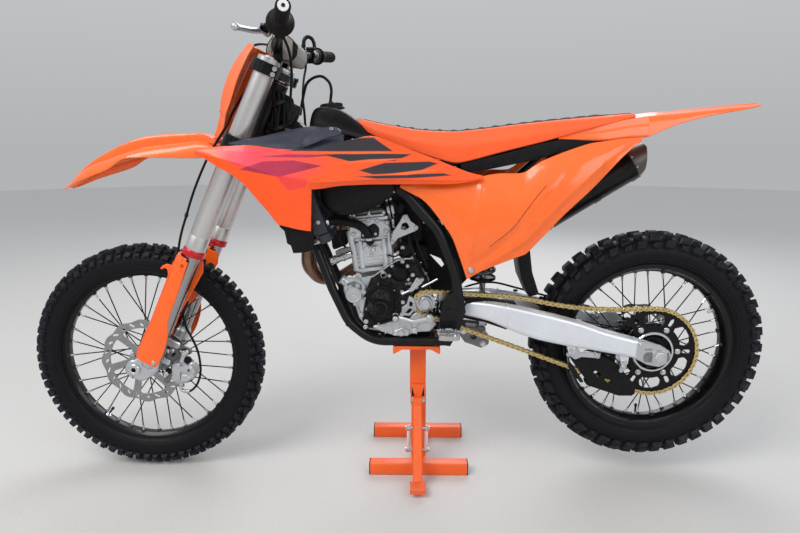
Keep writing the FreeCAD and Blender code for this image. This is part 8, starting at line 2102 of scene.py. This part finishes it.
k = Kit("foot_levers_forged")
arm = bent([W(845, -112, 497), W(800, -119, 489), W(748, -128, 507)], 30, 8)
k.pipe(arm, [6.6 - 1.2 * (i / (len(arm) - 1)) for i in range(len(arm))], M["alloy"], 16, flat=(0.8, 1.25))
k.cyl(W(845, -103, 497), W(845, -119, 497), 12, M["alloy"], 30, bevel=1.6)
k.cyl(W(845, -100, 497), W(845, -121, 497), 6.2, M["zinc"], 20)
k.bolt(W(836, -111, 488), (-0.6, 0, -1), 4.2, M["zinc"], 3.4, washer=False)
k.cyl(W(748, -121, 508), W(748, -127, 508), 9, M["alloy"], 24, bevel=1)
k.rev([(0.0, 0), (6.8, 0), (8.4, 1.5), (8.4, 27), (7.2, 29.6), (5, 31), (0.0, 31.2)], W(748, -127, 508), (0, -1, 0), M["alloy"], 26)
for t in range(6):
    k.rev([(8.3, 0), (9.1, 0.6), (9.1, 1.8), (8.3, 2.4)], W(748, -131 - t * 4.2, 508), (0, -1, 0), M["black_plastic"], 26)
pedal = bent([W(850, 134, 448), W(790, 138, 442), W(700, 142, 460)], 40, 8)
k.pipe(pedal, 7.0, M["black_alloy"], 16, flat=(0.8, 1.3))
k.cyl(W(850, 124, 448), W(850, 140, 448), 13, M["black_alloy"], 30, bevel=1.6)
k.plate(rounded([(675, 127), (675, 169), (706, 169), (706, 127)], 6, 3), 461, 466, M["black_alloy"], [rounded([(684, 136), (684, 160), (698, 160), (698, 136)], 4, 2)], 0.8, at=lambda a, b, t: W(a, b, t))
for x in (680, 686.5, 694, 701):
    for y in (129, 136, 143, 150, 157, 164):
        if not (683 < x < 699 and 134 < y < 162):
            k.cyl(W(x, y, 466), W(x, y, 468.8), 1.6, M["alloy"], 8, bevel=0.4)
k.finish(CHASSIS, ["foot_levers"], smooth=32)

# ------------------------------------------------------------------ lift stand: steel tube, welded, powder coated
M["rod"] = surface("bright_zinc_rod", srgb(232, 233, 235), 0.35, metal=0.35, var=0.04, var_scale=60, bump=0.1, bump_scale=1200)
M["stand_cap"] = surface("stand_end_cap", srgb(24, 24, 25), 0.55, var=0.12, var_scale=60, bump=0.3, bump_scale=1500, dust=0.2)


def tube_bar(k, p, q, wide, high, mat, r=4.0, wall=2.4, up=(0, 0, 1), ends=True):
    """A hollow square bar from p to q with rounded edges."""
    p, q = np.array(p, float), np.array(q, float)
    d = un(q - p)
    b = un(np.array(up, float) - np.dot(up, d) * d)
    a = np.cross(b, d)
    sec = rounded([(-wide / 2, -high / 2), (wide / 2, -high / 2), (wide / 2, high / 2), (-wide / 2, high / 2)], r, 4)
    rows = [[p + d * t + a * (u * s) + b * (v * s) for u, v in sec] for t, s in ((0.0, 1 - 0.6 / wide), (0.8, 1.0), (np.linalg.norm(q - p) - 0.8, 1.0), (np.linalg.norm(q - p), 1 - 0.6 / wide))]
    k.grid(rows, mat, wrap_v=True, cap=ends)


def weld(k, pts, mat, r=1.9):
    line = crom(pts, 10)
    k.pipe([q + np.array((0.35 * math.sin(i * 2.1), 0.35 * math.cos(i * 1.7), 0.3 * math.sin(i * 2.9))) for i, q in enumerate(line)], [r * (1 + 0.14 * math.sin(i * 1.9)) for i in range(len(line))], mat, 8)


k = Kit("stand_feet_welded")
for y0 in (-86, 160):
    y = y0 + 19
    tube_bar(k, W(670, y, 19), W(962, y, 19), 38, 38, M["stand"], 4.5)
    for x, s in ((667.2, 1), (964.8, -1)):
        k.block(W(x + s * 2.0, y, 19), (4.4, 37.6, 37.6), M["stand_cap"], None, 1.6)
        k.block(W(x + s * 0.6, y, 19), (2.0, 29, 29), M["stand_cap"], None, 0.8)
tube_bar(k, W(816, -48.4, 19), W(816, 160.4, 19), 44, 30, M["stand"], 4)
for y, s in ((-47.2, 1), (159.2, -1)):
    weld(k, [W(795, y, 6), W(794.4, y, 20), W(795, y, 33), W(806, y, 34.6), W(826, y, 34.6), W(837, y, 33), W(837.6, y, 20), W(837, y, 6)], M["stand"], 2.2)
k.finish(CHASSIS, ["stand_base"], smooth=32)

k = Kit("stand_column_welded")
tube_bar(k, W(816, 0, 34.4), W(816, 0, 254), 44, 44, M["stand"], 4.5, up=(1, 0, 0))
tube_bar(k, W(813, 0, 236.4), W(813, 0, 390), 48, 48, M["stand"], 5, up=(1, 0, 0))
weld(k, [W(794.4, -22.4, 35.4), W(816, -22.8, 35.8), W(838, -22.4, 35.4)], M["stand"], 2.0)
for z in (70, 92, 114):
    k.cyl(W(816, -21.4, z), W(816, -22.25, z), 5.2, M["stand_cap"], 22, bevel=0.2)
    k.rev([(5.2, 0), (6.2, 0.35), (6.4, 0)], W(816, -22.1, z), (0, -1, 0), M["stand"], 24)
# the bracket plates on either side of the upper tube
for y0, y1 in ((-30.5, -24.2), (24.2, 30.5)):
    k.plate(rounded([(791, 206), (791, 262), (795, 268), (831, 268), (836, 262), (836, 206)], [4, 4, 3, 3, 4, 4], 3), y0, y1, M["stand"], (), 0.4)
    s = -1 if y0 < 0 else 1
    if s < 0:  # the openings beside the tapered foot of the upper tube, drawn as dark plates: painted shade inside them
        for tri in ([(794.0, 231.0), (803.0, 231.0), (795.4, 262)], [(833.0, 231.0), (824.0, 231.0), (831.6, 262)]):
            k.plate(tri, y0 - 0.6, y0 + 0.4, M["stand_cap"], (), 0.1)
    k.bolt(W(799, y0 if s < 0 else y1, 218), (0, s, 0), 5.6, M["zinc"], 3.8)
    k.bolt(W(828, y0 if s < 0 else y1, 218), (0, s, 0), 5.6, M["zinc"], 3.8)
k.finish(CHASSIS, ["stand_column"], smooth=32)

k = Kit("stand_platform_pressed")
zt, x0, x1 = 405.7, 739.0, 877.0
prof = [(x0, zt - 18), (x0, zt - 2.4), (x0 + 1.6, zt), (x1 - 1.6, zt), (x1, zt - 2.4), (x1, zt - 18), (x1 - 4, zt - 18), (x1 - 4, zt - 5.6), (x0 + 4, zt - 5.6), (x0 + 4, zt - 18)]
k.plate([(x0 + 4, -84.8), (x1 - 4, -84.8), (x1 - 1, -81), (x1 - 1, 81), (x1 - 4, 84.8), (x0 + 4, 84.8), (x0 + 1, 81), (x0 + 1, -81)], zt - 6, zt, M["stand"], [ring(760, -60, 6, 20), ring(856, -60, 6, 20), ring(760, 60, 6, 20), ring(856, 60, 6, 20)], 1.2,
        at=lambda a, b, t: W(a, b, t))
SK = rounded([(739.4, 401), (739.4, 383.8), (744, 383.6), (766, 396.4), (850, 396.4), (872, 383.6), (876.6, 383.8), (876.6, 401)], 2, 2)
for y0, y1 in ((-85, -81), (81, 85)):
    k.plate(SK, y0, y1, M["stand"], (), 0.8)
k.block(W(813, 0, 395), (56, 56, 9), M["stand"], None, 2)
weld(k, [W(785, -28.6, 391), W(813, -29, 391), W(841, -28.6, 391)], M["stand"], 1.6)
k.finish(CHASSIS, ["stand_platform"], smooth=32)

k = Kit("stand_lever_welded")
LV = rounded([(-24.4, 231.6), (-24.4, 202), (-126, 53), (-150, 11), (-211.6, 11), (-211.6, 19.6), (-172, 23.6), (-150, 60), (-52, 208), (-50, 231.6)], [3, 4, 8, 8, 2, 2, 8, 10, 8, 3], 3)
k.plate(LV, -14, 14, M["stand"], (), 2.6, at=lambda a, b, t: W(812 + t, a, b))
k.block(W(812, -189, 24.4), (44, 45, 7.6), M["stand"], None, 2.0)
k.block(W(812, -210.4, 19.5), (44, 3.2, 14), M["stand"], None, 0.8)
for s in (-1, 1):
    x = 812 + s * 26
    k.pipe([W(x, -58, 68), W(x, -62, 80), W(x, -84, 150), W(x, -87, 158)], 5.4, M["rod"], 18)
    for y, z in ((-58, 70), (-86, 154)):
        k.cyl(W(x - 5, y, z), W(x + 5, y, z), 8.6, M["zinc"], 24, bevel=1)
        k.bolt(W(x + s * 5, y, z), (s, 0, 0), 5.8, M["zinc"], 4)
        k.cyl(W(812 + s * 13, y, z), W(x, y, z), 4.4, M["zinc"], 16)
k.finish(CHASSIS, ["stand_pedal_lever"], smooth=32)

# ------------------------------------------------------------------ CAD nodes that stay
for node, mat, bevel in (
        ("main_frame", "frame", 0), ("frame_cradle", "frame", 0), ("subframe", "frame", 0), ("crankcase", "cast", 2.0), ("ignition_cover", "engine_black", 2.0), ("clutch_cover", "cast_dark", 2.0),
        ("cylinder", "cast", 2.0), ("cylinder_head", "cast", 2.0), ("engine_head_stays", "alloy", 0.6), ("drive_sprocket", "steel", 0.4), ("chain", "gold", 0.4), ("swingarm", "swingarm", 3.0),
        ("rear_axle", "zinc", 0.6), ("chain_guide", "black_plastic", 2.0), ("rear_caliper", "cast", 2.0), ("shock_absorber", "steel", 0.6), ("exhaust_header", "pipe", 0), ("silencer", "silencer", 1.0),
        ("radiators", "radiator", 2.0), ("airbox", "black_plastic", 1.2), ("foot_pegs", "steel", 0.8), ("foot_levers", "alloy", 0.6), ("stand_base", "stand", 1.5), ("stand_column", "stand", 1.5),
        ("stand_platform", "stand", 1.0), ("stand_pedal_lever", "stand", 1.0), ("vent_hose", "hose", 0), ("fork_outer_tubes", "fork", 0.8), ("fork_sliders", "alloy", 1.0), ("fork_guards", "guard", 1.0),
        ("lower_triple_clamp", "black_alloy", 1.5), ("upper_triple_clamp", "black_alloy", 1.5), ("handlebar", "black_alloy", 0), ("bar_pad", "pad", 3.0), ("grips", "grip", 0.6), ("hand_levers", "alloy", 0.6),
        ("front_caliper", "cast", 2.0), ("front_axle", "zinc", 0.6), ("front_brake_hose", "hose", 0), ("control_cables", "hose", 0)):
    if not NODES[node].hide_render:
        dress(node, mat, bevel)
